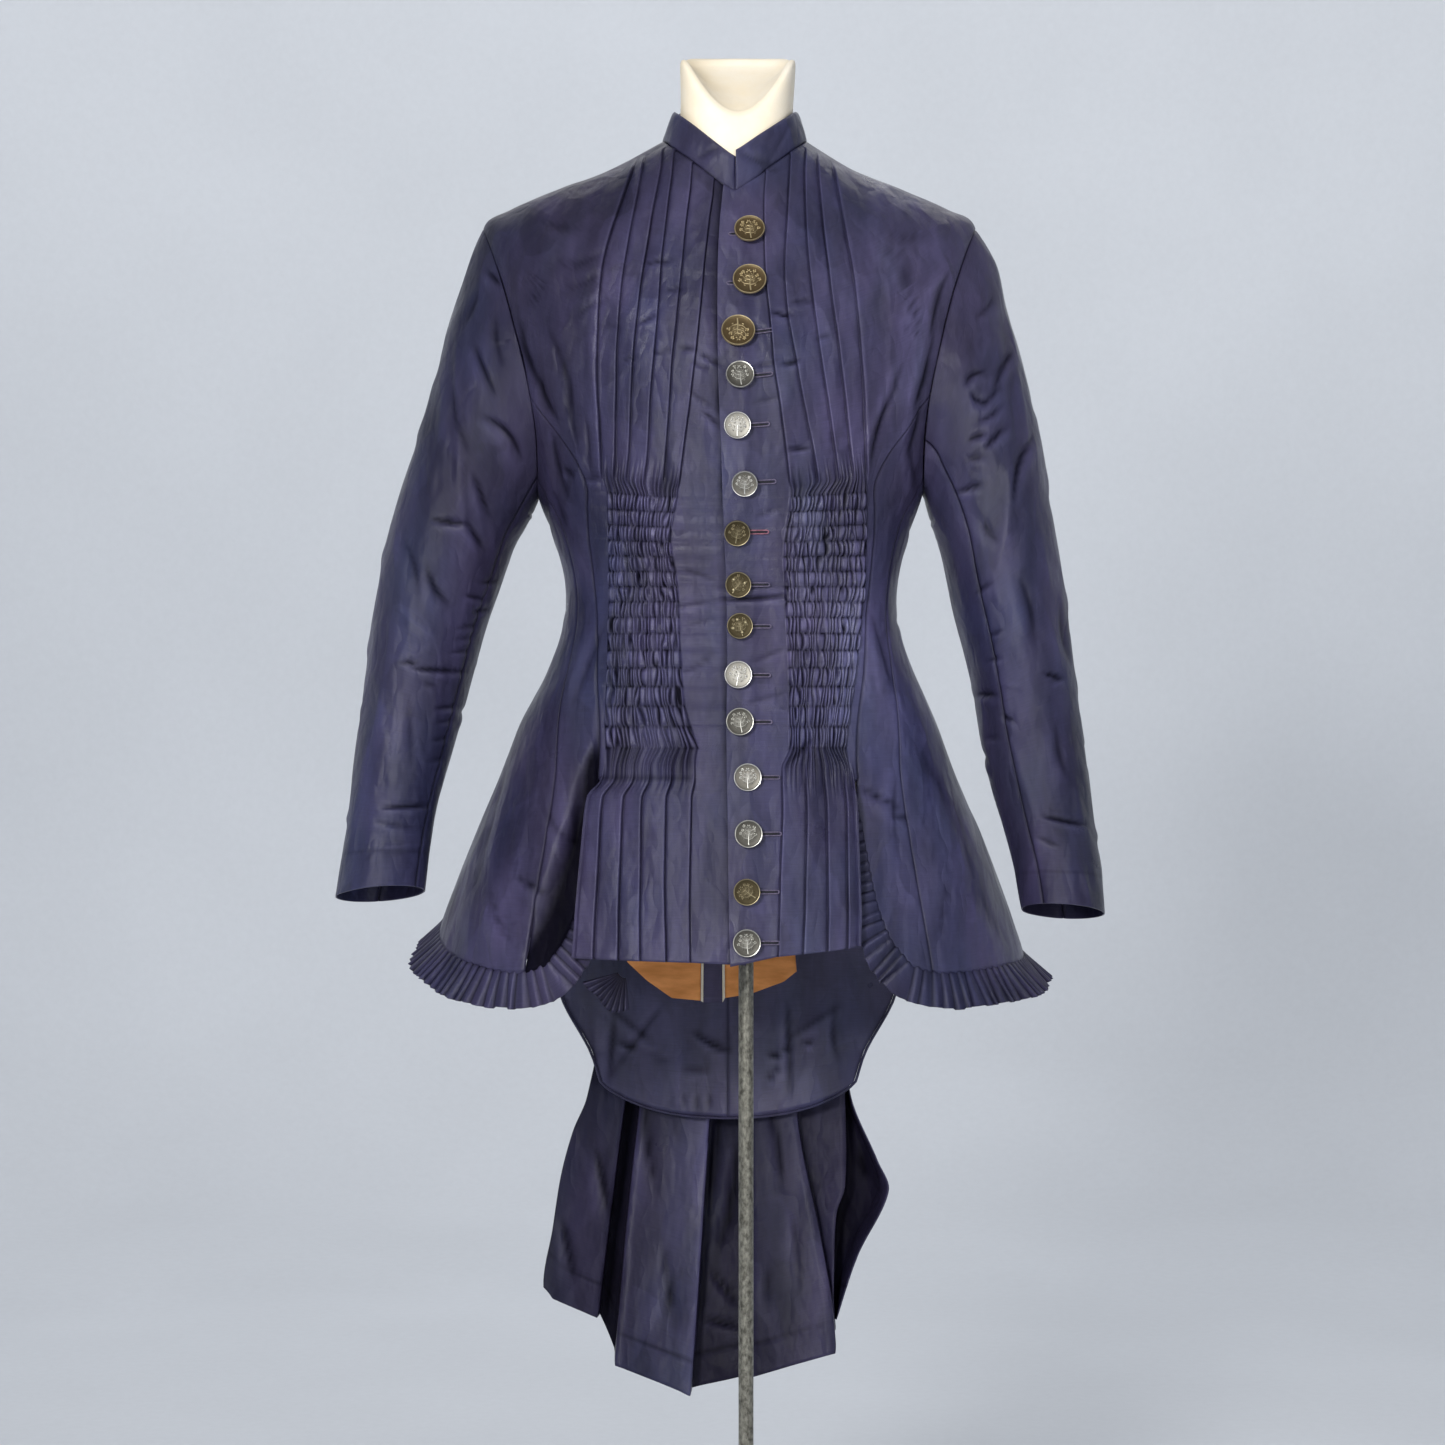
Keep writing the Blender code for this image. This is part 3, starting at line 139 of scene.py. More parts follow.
def creaseOut(creases, a, b, finest=0.0016):
    # how far creases push a surface in (minus) or out at places (a, b) in metres, and the painted shade in
    # their troughs and painted highlight on their lips and ridges
    total = np.zeros(np.broadcast(a, b).shape)
    tone = np.zeros(total.shape)
    for crease in creases:
        a0, b0, a1, b1, width, depth = crease[:6]
        bow = crease[6] if len(crease) > 6 else 0.0
        da, db = a1 - a0, b1 - b0
        length = math.hypot(da, db)
        t = ((a - a0) * da + (b - b0) * db) / length**2
        inside = np.clip(t, 0, 1)
        side = ((a - a0) * db - (b - b0) * da) / length - bow * np.sin(np.pi * inside)
        past = (t - inside) * length
        reach = np.hypot(side, past)
        taper = np.sin(np.pi * (0.06 + 0.88 * inside)) ** 0.8
        wide = width * (0.75 + 0.5 * inside)
        trough = bell(reach, wide)
        sharp = bell(reach, np.maximum(0.38 * wide, finest))
        lip = np.exp(-(((side - 1.7 * wide) / (1.1 * wide)) ** 2) - (past / wide) ** 2)
        total += depth * taper * (0.34 * lip - 0.42 * trough - 0.34 * sharp)
        # painted shade in each trough and a painted highlight on its lip; a raised ridge gets a painted
        # highlight
        strength = min(abs(depth) / 0.0032, 1.2) * taper
        if depth > 0:
            tone += strength * (0.4 * lip - 0.76 * sharp - 0.16 * trough)
        else:
            tone += strength * (0.26 * sharp - 0.16 * lip)
    return total, tone


# Body of the jacket: one smooth surface, angle 0 at the centre front, levels from the neckline down

bodyRings = metres([  # zFront, yFront, xSide, ySide, zSide, yBack, zBack, xCentre
    (13520, -560, 580, 40, 14020, 620, 14100, -90),
    (13260, -740, 965, 20, 13800, 840, 13880, -115),
    (12950, -900, 1360, 0, 13635, 980, 13520, -130),
    (12620, -1040, 1730, -10, 13480, 1070, 13120, -135),
    (12290, -1170, 1965, -20, 13320, 1120, 12700, -135),
    (11970, -1270, 1910, -30, 12800, 1130, 12280, -135),
    (11660, -1300, 1795, -40, 12240, 1090, 11850, -130),
    (11360, -1270, 1670, -50, 11700, 1030, 11430, -125),
    (11060, -1190, 1535, -60, 11200, 960, 11040, -125),
    (10760, -1110, 1410, -70, 10840, 890, 10730, -120),
    (10460, -1060, 1325, -80, 10490, 850, 10440, -115),
    (10150, -1055, 1335, -60, 10150, 900, 10150, -120),
    (9800, -1070, 1455, 10, 9800, 1200, 9800, -125),
    (9400, -1100, 1655, 120, 9400, 1560, 9400, -140),
    (8960, -1120, 1830, 240, 8960, 1820, 8960, -145),
    (8500, -1140, 2035, 340, 8500, 2030, 8500, -145),
    (8000, -1160, 2235, 420, 8000, 2210, 8000, -145),
    (7500, -1180, 2400, 480, 7500, 2350, 7500, -140),
    (7000, -1190, 2520, 520, 7000, 2430, 7000, -140),
    (6500, -1200, 2600, 550, 6500, 2470, 6500, -140),
    (5900, -1200, 2680, 570, 5900, 2490, 5900, -140),
])
body = {
    "cornerFullness": 0.045,
    "shoulderEase": (-1.6, -0.8, 0.0, 0.8, 1.6),
    "sideSharpness": 8,
    "shoulderTip": 4.0,
    "underarm": 8.0,
    "panelTop": 7.732,
    "ventStart": 14.4,
    "ventTop": 14.0,
    "armholeFront": 31.0,
    "armholeBack": 27.0,
    "armholeSquareness": 0.8,
    "seams": {  # level, then the angle of each seam
        "level": (6.35, 7.15, 7.732, 8.35, 9, 10, 11, 12, 13, 14, 15, 16, 17),
        "front": (59.4, 47, 43, 45.6, 48.6, 51, 48.5, 43, 35.5, 31.5, 28, 27.5, 31.5),
        "side": (62, 69, 72.2, 64, 63, 64.5, 62, 57, 50, 44.5, 41.5, 39.7, 38.7),
        "sideBack": (117, 111, 105.5, 109, 111, 112, 112, 110, 107, 105, 103, 101, 100),
        "back": (116.6, 131, 142, 151, 157, 161, 161, 158, 153, 149, 146, 144.5, 143),
    },
    "vent": [(14.4, 29.6), (15.0, 29.3), (15.6, 29.1), (16.1, 29.5), (16.6, 31.0), (16.98, 34.0)],
    "neckSpread": 0.85,
    "hem": {
        "angle": (34.0, 40.0, 55.0, 75.0, 90.0, 110.0, 130.0, 143.0),
        -1: (16.98, 17.12, 17.02, 16.72, 16.46, 16.5, 16.8, 16.95),
        1: (16.98, 17.12, 17.1, 17.05, 16.98, 16.95, 16.95, 16.95),
    },
    "hemEase": 16.2,
    "basqueEdge": [(17.0, 143.0), (18.0, 146.5), (19.0, 153.5), (19.4, 155.7)],
    "basqueCentre": 19.99,
    "skirtPuff": 0.0085, "basquePaintedLight": 0.3,
}

ringSteps = 200
fineLevels = np.linspace(0, 20, 20 * ringSteps + 1)
fineRings = curveThrough(bodyRings, fineLevels)
softSides = np.mean([
    curveThrough(bodyRings, np.clip(fineLevels + shift, 0, 20))[:, [2, 4]]
    for shift in body["shoulderEase"]
], axis=0)
fineRings = np.hstack([fineRings, softSides])


def ringAt(level):
    at = np.clip(np.asarray(level, float), 0, 20) * ringSteps
    i = np.minimum(at.astype(int), len(fineLevels) - 2)
    t = (at - i)[..., None]
    return fineRings[i] * (1 - t) + fineRings[i + 1] * t


def easedSides(ring, turn, level):
    side = np.abs(np.sin(turn)) ** body["sideSharpness"]
    ease = (1 - side) * smoothStep((level - 1.2) / 1.2) * smoothStep((8.0 - level) / 1.2)
    xSide = ring[..., 2] + (ring[..., 8] - ring[..., 2]) * ease
    zSide = ring[..., 4] + (ring[..., 9] - ring[..., 4]) * ease
    return xSide, zSide


def fullness(turn):
    return 1 + body["cornerFullness"] * np.sin(2 * turn) ** 2


def surfacePoint(angle, level):
    angle, level = np.broadcast_arrays(np.asarray(angle, float), np.asarray(level, float))
    ring, turn = ringAt(level), np.radians(angle)
    xSide, zSide = easedSides(ring, turn, level)
    full = fullness(turn)
    ahead = np.cos(turn)
    yEnd = np.where(ahead > 0, ring[..., 1], ring[..., 5])
    zEnd = np.where(ahead > 0, ring[..., 0], ring[..., 6])
    x = ring[..., 7] + xSide * np.sin(turn) * full
    y = ring[..., 3] + (yEnd - ring[..., 3]) * np.abs(ahead) * full
    z = zSide + (zEnd - zSide) * heightShare(turn, level)
    return np.stack([x, y, z], -1)


def heightShare(turn, level):
    # the neckline falls to a point at the centre front, lower rings are rounded
    power = 2 - body["neckSpread"] * (1 - smoothStep(level / 2.2))
    return np.where(np.cos(turn) > 0, 1 - np.abs(np.sin(turn)) ** power, np.cos(turn) ** 2)


def unit(vectors):
    return vectors / np.maximum(np.linalg.norm(vectors, axis=-1, keepdims=True), 1e-9)


def surfaceNormal(angle, level):
    across = surfacePoint(angle + 1, level) - surfacePoint(angle - 1, level)
    down = surfacePoint(angle, level + 0.05) - surfacePoint(angle, level - 0.05)
    return unit(np.cross(down, across))


def angleOf(distance, level):
    # angle whose point lies this far from the centre line, on the front
    distance, level = np.broadcast_arrays(np.asarray(distance, float), np.asarray(level, float))
    ring = ringAt(level)
    wanted = np.minimum(np.abs(distance), 0.9995 * ring[..., 2])
    low, high = np.zeros(wanted.shape), np.full(wanted.shape, 90.0)
    for _ in range(22):
        middle = (low + high) / 2
        turn = np.radians(middle)
        xSide, _ = easedSides(ring, turn, level)
        short = xSide * np.sin(turn) * fullness(turn) < wanted
        low, high = np.where(short, middle, low), np.where(short, high, middle)
    return np.copysign(low, distance)


def gapAngle(level):
    return np.degrees(seamHalfGap / ringAt(level)[..., 2])


def seamAngle(name, level):
    return smoothAlong(list(zip(body["seams"]["level"], body["seams"][name])), level)


def armholeTurn(level):
    middle = (body["shoulderTip"] + body["underarm"]) / 2
    return np.degrees(np.arccos(np.clip((middle - level) / (body["underarm"] - middle), -1, 1)))


def armholeAngle(turn):
    reach = np.where(np.mod(turn, 360) <= 180, body["armholeFront"], -body["armholeBack"])
    return 90 - reach * np.abs(np.sin(np.radians(turn))) ** body["armholeSquareness"]


def armholeLevel(turn):
    middle = (body["shoulderTip"] + body["underarm"]) / 2
    return middle - (body["underarm"] - middle) * np.cos(np.radians(turn))


# Creases placed one by one, in tenths of a millimetre: from, to, width, depth and bow
# from and to are x and z on the front and back, y and z at the sides

creases = {
    "front": [
        # wearer's left bust and armhole
        (1580, 12920, 1430, 12280, 50, 30, 30), (1430, 12300, 1290, 11780, 42, 34, -20),
        (1200, 13120, 1240, 12680, 40, 20), (1240, 12700, 1350, 12400, 35, 20),
        (1610, 12940, 1360, 12660, 40, -22), (1230, 12430, 1340, 12360, 26, 18),
        (1130, 11920, 940, 11360, 40, 36, 20), (1180, 12120, 1130, 11900, 30, 24),
        (1500, 11960, 1660, 11600, 45, 22), (1470, 11700, 1560, 11420, 35, 20),
        (1040, 13200, 1410, 13180, 55, 14, 40), (1010, 13020, 1260, 12960, 40, 13, -30),
        (1270, 11500, 1370, 11060, 40, 20),
        # small folds across the tucks
        (-807, 12903, -564, 12933, 22, 18), (-1096, 12424, -959, 12371, 20, 20),
        (-830, 12424, -686, 12477, 20, 18), (-724, 12188, -564, 12196, 16, 18),
        (-534, 12241, -382, 12196, 16, 20), (-367, 12188, -200, 12089, 20, 26),
        (-344, 11747, -215, 11626, 22, 26), (-640, 12680, -480, 12700, 18, 14),
        (196, 12500, 340, 12485, 18, 36), (264, 12097, 393, 12135, 22, 34, 10),
        (333, 12576, 500, 12614, 22, 18), (295, 11451, 469, 11466, 16, 34),
        (500, 12300, 640, 12330, 18, 14), (-950, 12130, -840, 12150, 16, 14),
        (-1760, 12500, -1580, 11960, 60, 30, 40), (-1180, 12360, -1120, 11760, 40, -20, 20),
        (-1600, 13300, -1280, 13220, 50, 18, 20), (-1500, 11600, -1380, 11120, 45, 24, 20),
        (1200, 13000, 1080, 12500, 45, -20, 20), (1360, 11900, 1240, 11420, 45, 26, -20),
        # wearer's right bust and armhole
        (-1600, 12020, -1460, 11710, 45, 34, 20), (-1410, 11340, -1340, 11280, 30, 30),
        (-1240, 11260, -1120, 11250, 25, 22), (-1520, 12400, -1360, 11760, 50, 22, -40),
        (-1360, 12060, -1280, 11420, 45, 21, 30), (-1120, 13000, -1460, 12920, 50, 15, -40),
        (-1100, 12820, -1390, 12700, 45, 13), (-1070, 12620, -1320, 12470, 35, 12, 20),
        (-1550, 12880, -1680, 12620, 45, 20), (-1220, 11680, -1200, 11310, 35, 20),
        (-1500, 11180, -1400, 10900, 40, 18),
        # pulls at the closing
        (-220, 10320, 340, 10360, 22, 30, 10), (-220, 10410, 300, 10430, 22, 14),
        (-580, 10260, -260, 10320, 22, 14), (-500, 10560, -260, 10480, 20, 13),
        (-480, 10120, -240, 10180, 22, 11), (-440, 11900, -260, 11760, 26, 16),
        (-440, 12120, -240, 12050, 26, 13), (0, 12080, 240, 12120, 28, 14), (40, 11800, 260, 11860, 28, 12),
        (60, 10940, 240, 11020, 24, 12), (40, 9840, 300, 9960, 24, 12),
        (-520, 9760, -240, 9920, 26, 12, 20), (0, 9530, 320, 9620, 26, 11), (300, 9050, 520, 9280, 26, 18),
        # skirt sides
        (-1780, 8180, -1550, 8060, 40, 26), (-1550, 8700, -1280, 8420, 45, 16, 40),
        (-1660, 8420, -1760, 7900, 60, 15, 30), (-1280, 9050, -1400, 8300, 55, 14),
        (-2000, 8050, -1820, 7680, 50, 18, 30), (880, 8870, 1190, 8720, 40, 26),
        (1100, 8670, 1260, 8640, 35, 22), (1280, 9250, 1660, 8480, 55, 16, -40),
        (1160, 9000, 1180, 8300, 45, 13, 30), (1560, 8300, 1460, 7700, 55, 15, -30),
        (1840, 8120, 2050, 7660, 60, 18, 30), (980, 10200, 1160, 9600, 45, 18),
        (-1120, 10100, -1350, 9500, 45, 16),
    ],
    "back": [
        # inside of the basque: its piece edge, puckers and small gathers at the hem
        (-1143, 6806, -1187, 6199, 40, 26), (-1433, 6665, -1398, 6287, 38, 24),
        (-1107, 6560, -958, 6516, 34, 34), (-712, 6894, -1160, 6287, 36, 18),
        (-448, 6647, -104, 6480, 34, 30, 20), (-914, 6533, -580, 6401, 30, -26),
        (-554, 6331, -307, 6313, 32, 18), (186, 6410, 397, 6516, 32, 32, 10),
        (388, 6900, 415, 6111, 34, 26), (530, 6560, 609, 6568, 32, 28), (186, 6199, 318, 6357, 34, 22),
        (-421, 6085, -412, 5970, 30, 18), (-300, 6105, -296, 5975, 30, 18),
        (-540, 6100, -525, 6000, 30, 16), (-1290, 6850, -1300, 6400, 36, -18),
        (800, 6840, 840, 6400, 40, 20, 30), (-1500, 12550, -1100, 12050, 55, 26, 40),
        (-1650, 12200, -1280, 11800, 45, 22, -30), (-600, 13300, -200, 13180, 55, 16, 30),
        (1350, 12620, 940, 12140, 55, 24, -40), (1480, 12120, 1160, 11760, 45, 22),
        (500, 13360, 60, 13220, 55, 15), (-800, 11300, -300, 11120, 45, 18, 30),
        (600, 11220, 80, 11080, 45, 18, -30), (-720, 10620, -340, 10520, 35, 20),
        (520, 10560, 160, 10460, 35, 18), (-580, 10200, -200, 10300, 40, 16),
        (-1200, 9500, -1600, 8600, 70, 22, 40), (1000, 9550, 1420, 8500, 70, 22, -40),
        (-1500, 8500, -1780, 7700, 60, 20), (1300, 8400, 1650, 7700, 60, 20),
        (400, 6600, 850, 6900, 45, 18), (-1200, 6900, -800, 6550, 45, 20),
    ],
    "rightSide": [
        (-500, 11100, 200, 10800, 45, 18), (300, 10620, 700, 10500, 40, 18),
        (-200, 10300, 400, 10120, 45, 16, 30), (300, 9600, 800, 8600, 70, 22, 40),
        (-200, 9000, -400, 8000, 60, 18), (800, 8400, 1200, 7700, 60, 20),
    ],
    "leftSide": [
        (-450, 11000, 250, 10760, 45, 18), (200, 10560, 660, 10400, 40, 18),
        (-300, 10200, 300, 10060, 45, 16, -30), (200, 9500, 660, 8500, 70, 22, -40),
        (-300, 8900, -480, 7900, 60, 18), (700, 8300, 1120, 7650, 60, 20),
    ],
}
crumpleOf = {"broad": 0.001, "broadScale": 22.0, "fine": 0.00014, "fineScale": 80.0}


def crumple(points):
    # the uneven lie of crisp taffeta: soft facets with a few sharper ridges
    warped = points + 0.012 * np.stack([softNoise(points, 20, k) for k in (1, 2, 3)], -1)
    broad = softNoise(warped * (1.35, 1, 0.7), crumpleOf["broadScale"], 4)
    ridges = 1 - np.abs(softNoise(warped * (1.2, 1, 0.6), crumpleOf["broadScale"] * 1.2, 5)) * 2
    fine = softNoise(warped, crumpleOf["fineScale"], 6)
    return crumpleOf["broad"] * (0.68 * broad + 0.32 * ridges) + crumpleOf["fine"] * fine


def bodyCreases(points, normals):
    total, tone = np.zeros(points.shape[:-1]), np.zeros(points.shape[:-1])
    x, y, z = points[..., 0], points[..., 1], points[..., 2]
    for name, facing, a in (
        ("front", -normals[..., 1], x), ("back", normals[..., 1], x), ("rightSide", -normals[..., 0], y),
        ("leftSide", normals[..., 0], y),
    ):
        weight = smoothStep((facing - 0.15) / 0.45)
        pushed, darkened = creaseOut(metres(creases[name]), a, z, 0.0016 if name == "front" else 0.0025)
        total += weight * pushed
        tone += weight * darkened
    return total, tone


paintedBodyLight = {  # painted light and shade on the silk beyond the tucks, by level
    "right": [(0, 0.72), (2.5, 0.64), (8, 0.58), (9.5, 0.85), (12, 0.95), (14, 0.82), (17, 1.0)],
    "left": [(0, 0.95), (2, 1.08), (5, 1.06), (8, 0.92), (10, 1.2), (12, 2.0), (14.5, 1.6), (17, 1.25)],
}


def paintedSideLight(angle, level):
    # each side painted lighter or darker away from the centre front and back
    right, left = (np.interp(level, *zip(*paintedBodyLight[side])) for side in ("right", "left"))
    away = smoothStep((np.abs(angle) - 24) / 22) * smoothStep((150 - np.abs(angle)) / 30)
    return 1 + (np.where(angle < 0, right, left) - 1) * away


def dressed(angle, level, out=0.0):
    # point of the jacket's body with its creases, and the painted shade and light of its creases and sides
    angle, level, out = np.broadcast_arrays(angle, level, out)
    points, normals = surfacePoint(angle, level), surfaceNormal(angle, level)
    pushed, tone = bodyCreases(points, normals)
    shift = out + pushed + crumple(points)
    return points + normals * shift[..., None], np.clip(1 + tone, 0.2, 1.4) * paintedSideLight(angle, level)


# Meshes and objects

def addObject(name, data):
    made = bpy.data.objects.new(name, data)
    bpy.context.scene.collection.objects.link(made)
    return made


def setShade(data, values):
    # painted light and shade of each point of the cloth, and the raised relief of a button, read by the
    # materials
    shades = data.attributes.new("shade", "FLOAT", "POINT")
    shades.data.foreach_set("value", np.asarray(values, float))


def spun(profile, steps):
    # a profile of (radius, height) turned round the upright axis
    mesh = bmesh.new()
    line = [mesh.verts.new((r, 0, h)) for r, h in profile]
    edges = [mesh.edges.new(pair) for pair in zip(line, line[1:])]
    bmesh.ops.spin(
        mesh, geom=line + edges, axis=(0, 0, 1), cent=(0, 0, 0), steps=steps, angle=math.tau, use_merge=True
    )
    return mesh


def meshData(mesh, name, *finishes):
    data = bpy.data.meshes.new(name)
    mesh.to_mesh(data)
    mesh.free()
    data.shade_smooth()
    for finish in finishes:
        data.materials.append(finish)
    return data


def clothPiece(name, points, finish, inside, uv=None, shade=None, thickness=clothThickness, merge=False):
    # a grid with a row and a column for each point, moved to its place and given its thickness
    rows, columns = points.shape[:2]
    sheet = bmesh.new()
    sheet.loops.layers.uv.new("UVMap")
    bmesh.ops.create_grid(sheet, x_segments=columns - 1, y_segments=rows - 1, size=0.5, calc_uvs=True)
    data = bpy.data.meshes.new(name)
    sheet.to_mesh(data)
    sheet.free()
    flat = np.empty(len(data.vertices) * 3)
    data.vertices.foreach_get("co", flat)
    flat = flat.reshape(-1, 3)
    column = np.rint((flat[:, 0] + 0.5) * (columns - 1)).astype(int)
    row = np.rint((0.5 - flat[:, 1]) * (rows - 1)).astype(int)
    data.vertices.foreach_set("co", points[row, column].astype(float).ravel())
    if uv is not None:
        corner = np.empty(len(data.loops), int)
        data.loops.foreach_get("vertex_index", corner)
        data.uv_layers["UVMap"].data.foreach_set("uv", uv[row, column][corner].ravel())
    setShade(data, np.ones(len(flat)) if shade is None else shade[row, column])
    data.update()
    centre = data.polygons[(rows // 2) * (columns - 1) + columns // 2]
    if centre.normal.dot(centre.center - Vector(inside)) < 0:
        data.flip_normals()
    if merge:
        mesh = bmesh.new()
        mesh.from_mesh(data)
        bmesh.ops.remove_doubles(mesh, verts=mesh.verts, dist=1e-5)
        bmesh.ops.dissolve_degenerate(mesh, edges=mesh.edges, dist=1e-6)
        mesh.to_mesh(data)
        mesh.free()
    data.shade_smooth()
    data.materials.append(finish)
    piece = addObject(name, data)
    if thickness:
        wall = piece.modifiers.new("thickness", "SOLIDIFY")
        wall.thickness = thickness
        wall.offset = -1
        wall.use_rim = True
    return piece


def arcLengths(points):
    # distance across from the middle and down from the top, for the weave's own map
    across = lengthAcross(points)
    down = np.cumsum(np.linalg.norm(np.diff(points, axis=0, prepend=points[:1]), axis=-1), axis=0)
    middle = across.shape[1] // 2
    return np.stack([across - across[:, middle : middle + 1], -down[:, middle : middle + 1] + 0 * across], -1)


def bodyPanel(name, points, shade):
    return clothPiece(name + "_silk", points, silk, (-0.013, 0.03, 1.0), arcLengths(points), shade)


# Materials

def group(name, inputs, outputs):
    made = bpy.data.node_groups.new(name, "ShaderNodeTree")
    for label, kind, value in inputs:
        socket = made.interface.new_socket(label, in_out="INPUT", socket_type=kind)
        if value is not None:
            socket.default_value = value
    for label, kind in outputs:
        made.interface.new_socket(label, in_out="OUTPUT", socket_type=kind)
    return made, made.nodes.new("NodeGroupInput"), made.nodes.new("NodeGroupOutput")


def node(tree, kind, **values):
    made = tree.nodes.new(kind)
    for key, value in values.items():
        setattr(made, key, value)
    return made


def noiseNode(tree, vector, scale, detail=3.0, roughness=0.5, stretch=None):
    made = node(tree, "ShaderNodeTexNoise")
    made.inputs["Scale"].default_value = scale
    made.inputs["Detail"].default_value = detail
    made.inputs["Roughness"].default_value = roughness
    if stretch:
        mapping = node(tree, "ShaderNodeMapping")
        mapping.inputs["Scale"].default_value = stretch
        tree.links.new(vector, mapping.inputs["Vector"])
        vector = mapping.outputs["Vector"]
    tree.links.new(vector, made.inputs["Vector"])
    return made.outputs["Fac"]


def mixColour(tree, factor, first, second, blend="MIX"):
    made = node(tree, "ShaderNodeMix", data_type="RGBA", blend_type=blend)
    for socket, value in (("Factor", factor), ("A", first), ("B", second)):
        named = [s for s in made.inputs if s.name == socket and s.enabled]
        target = next(s for s in named if s.type == "RGBA" or socket == "Factor")
        if isinstance(value, (tuple, float, int)):
            target.default_value = (*value, 1) if isinstance(value, tuple) else value
        else:
            tree.links.new(value, target)
    return next(s for s in made.outputs if s.enabled)


def remap(tree, value, low, high, start=0.0, end=1.0):
    made = node(tree, "ShaderNodeMapRange")
    for label, number in (("From Min", low), ("From Max", high), ("To Min", start), ("To Max", end)):
        made.inputs[label].default_value = number
    tree.links.new(value, made.inputs["Value"])
    return made.outputs["Result"]


def calculate(tree, operation, first, second):
    made = node(tree, "ShaderNodeMath", operation=operation)
    for i, value in enumerate((first, second)):
        if isinstance(value, (float, int)):
            made.inputs[i].default_value = value
        else:
            tree.links.new(value, made.inputs[i])
    return made.outputs[0]


def times(tree, first, second):
    return calculate(tree, "MULTIPLY", first, second)


def weaveGroup():
    # plain weave: height and thread mask from a map in metres
    tree, start, end = group(
        "weave",
        [("Vector", "NodeSocketVector", None), ("Pitch", "NodeSocketFloat", 0.0006)],
        [("Height", "NodeSocketFloat"), ("Slub", "NodeSocketFloat")],
    )
    waves = []
    for axis in (0, 1):
        split = node(tree, "ShaderNodeSeparateXYZ")
        tree.links.new(start.outputs["Vector"], split.inputs[0])
        turns = calculate(tree, "DIVIDE", split.outputs[axis], start.outputs["Pitch"])
        waves.append(calculate(tree, "SINE", times(tree, turns, math.tau), 0.0))
    ribs = calculate(tree, "ADD", waves[1], times(tree, waves[0], 0.35))
    tree.links.new(ribs, end.inputs["Height"])
    slub = noiseNode(tree, start.outputs["Vector"], 60, 3, 0.6, (1, 14, 1))
    tree.links.new(slub, end.inputs["Slub"])
    return tree


weave = weaveGroup()
silkLook = {
    "navy": (0.022, 0.024, 0.06),
    "aubergine": (0.042, 0.0355, 0.079),
    "slate": (0.027, 0.0325, 0.057),
    "roughness": 0.33,
    "specular": 0.3,
    "crinkle": 0.0004,
    "wrinkle": 0.0028,
    "weaveDepth": 0.00005,
    "facetScale": 26.0, "facetDepth": 0.0032,
}


def newMaterial(name):
    # the material, its nodes, its shader and the place on the object
    made = bpy.data.materials.new(name)
    made.use_nodes = True
    tree = made.node_tree
    return made, tree, tree.nodes["Principled BSDF"], node(tree, "ShaderNodeTexCoord").outputs["Object"]


def addBump(tree, shader, height, strength):
    bump = node(tree, "ShaderNodeBump")
    bump.inputs["Strength"].default_value = strength
    bump.inputs["Distance"].default_value = 1.0
    tree.links.new(height, bump.inputs["Height"])
    tree.links.new(bump.outputs["Normal"], shader.inputs["Normal"])


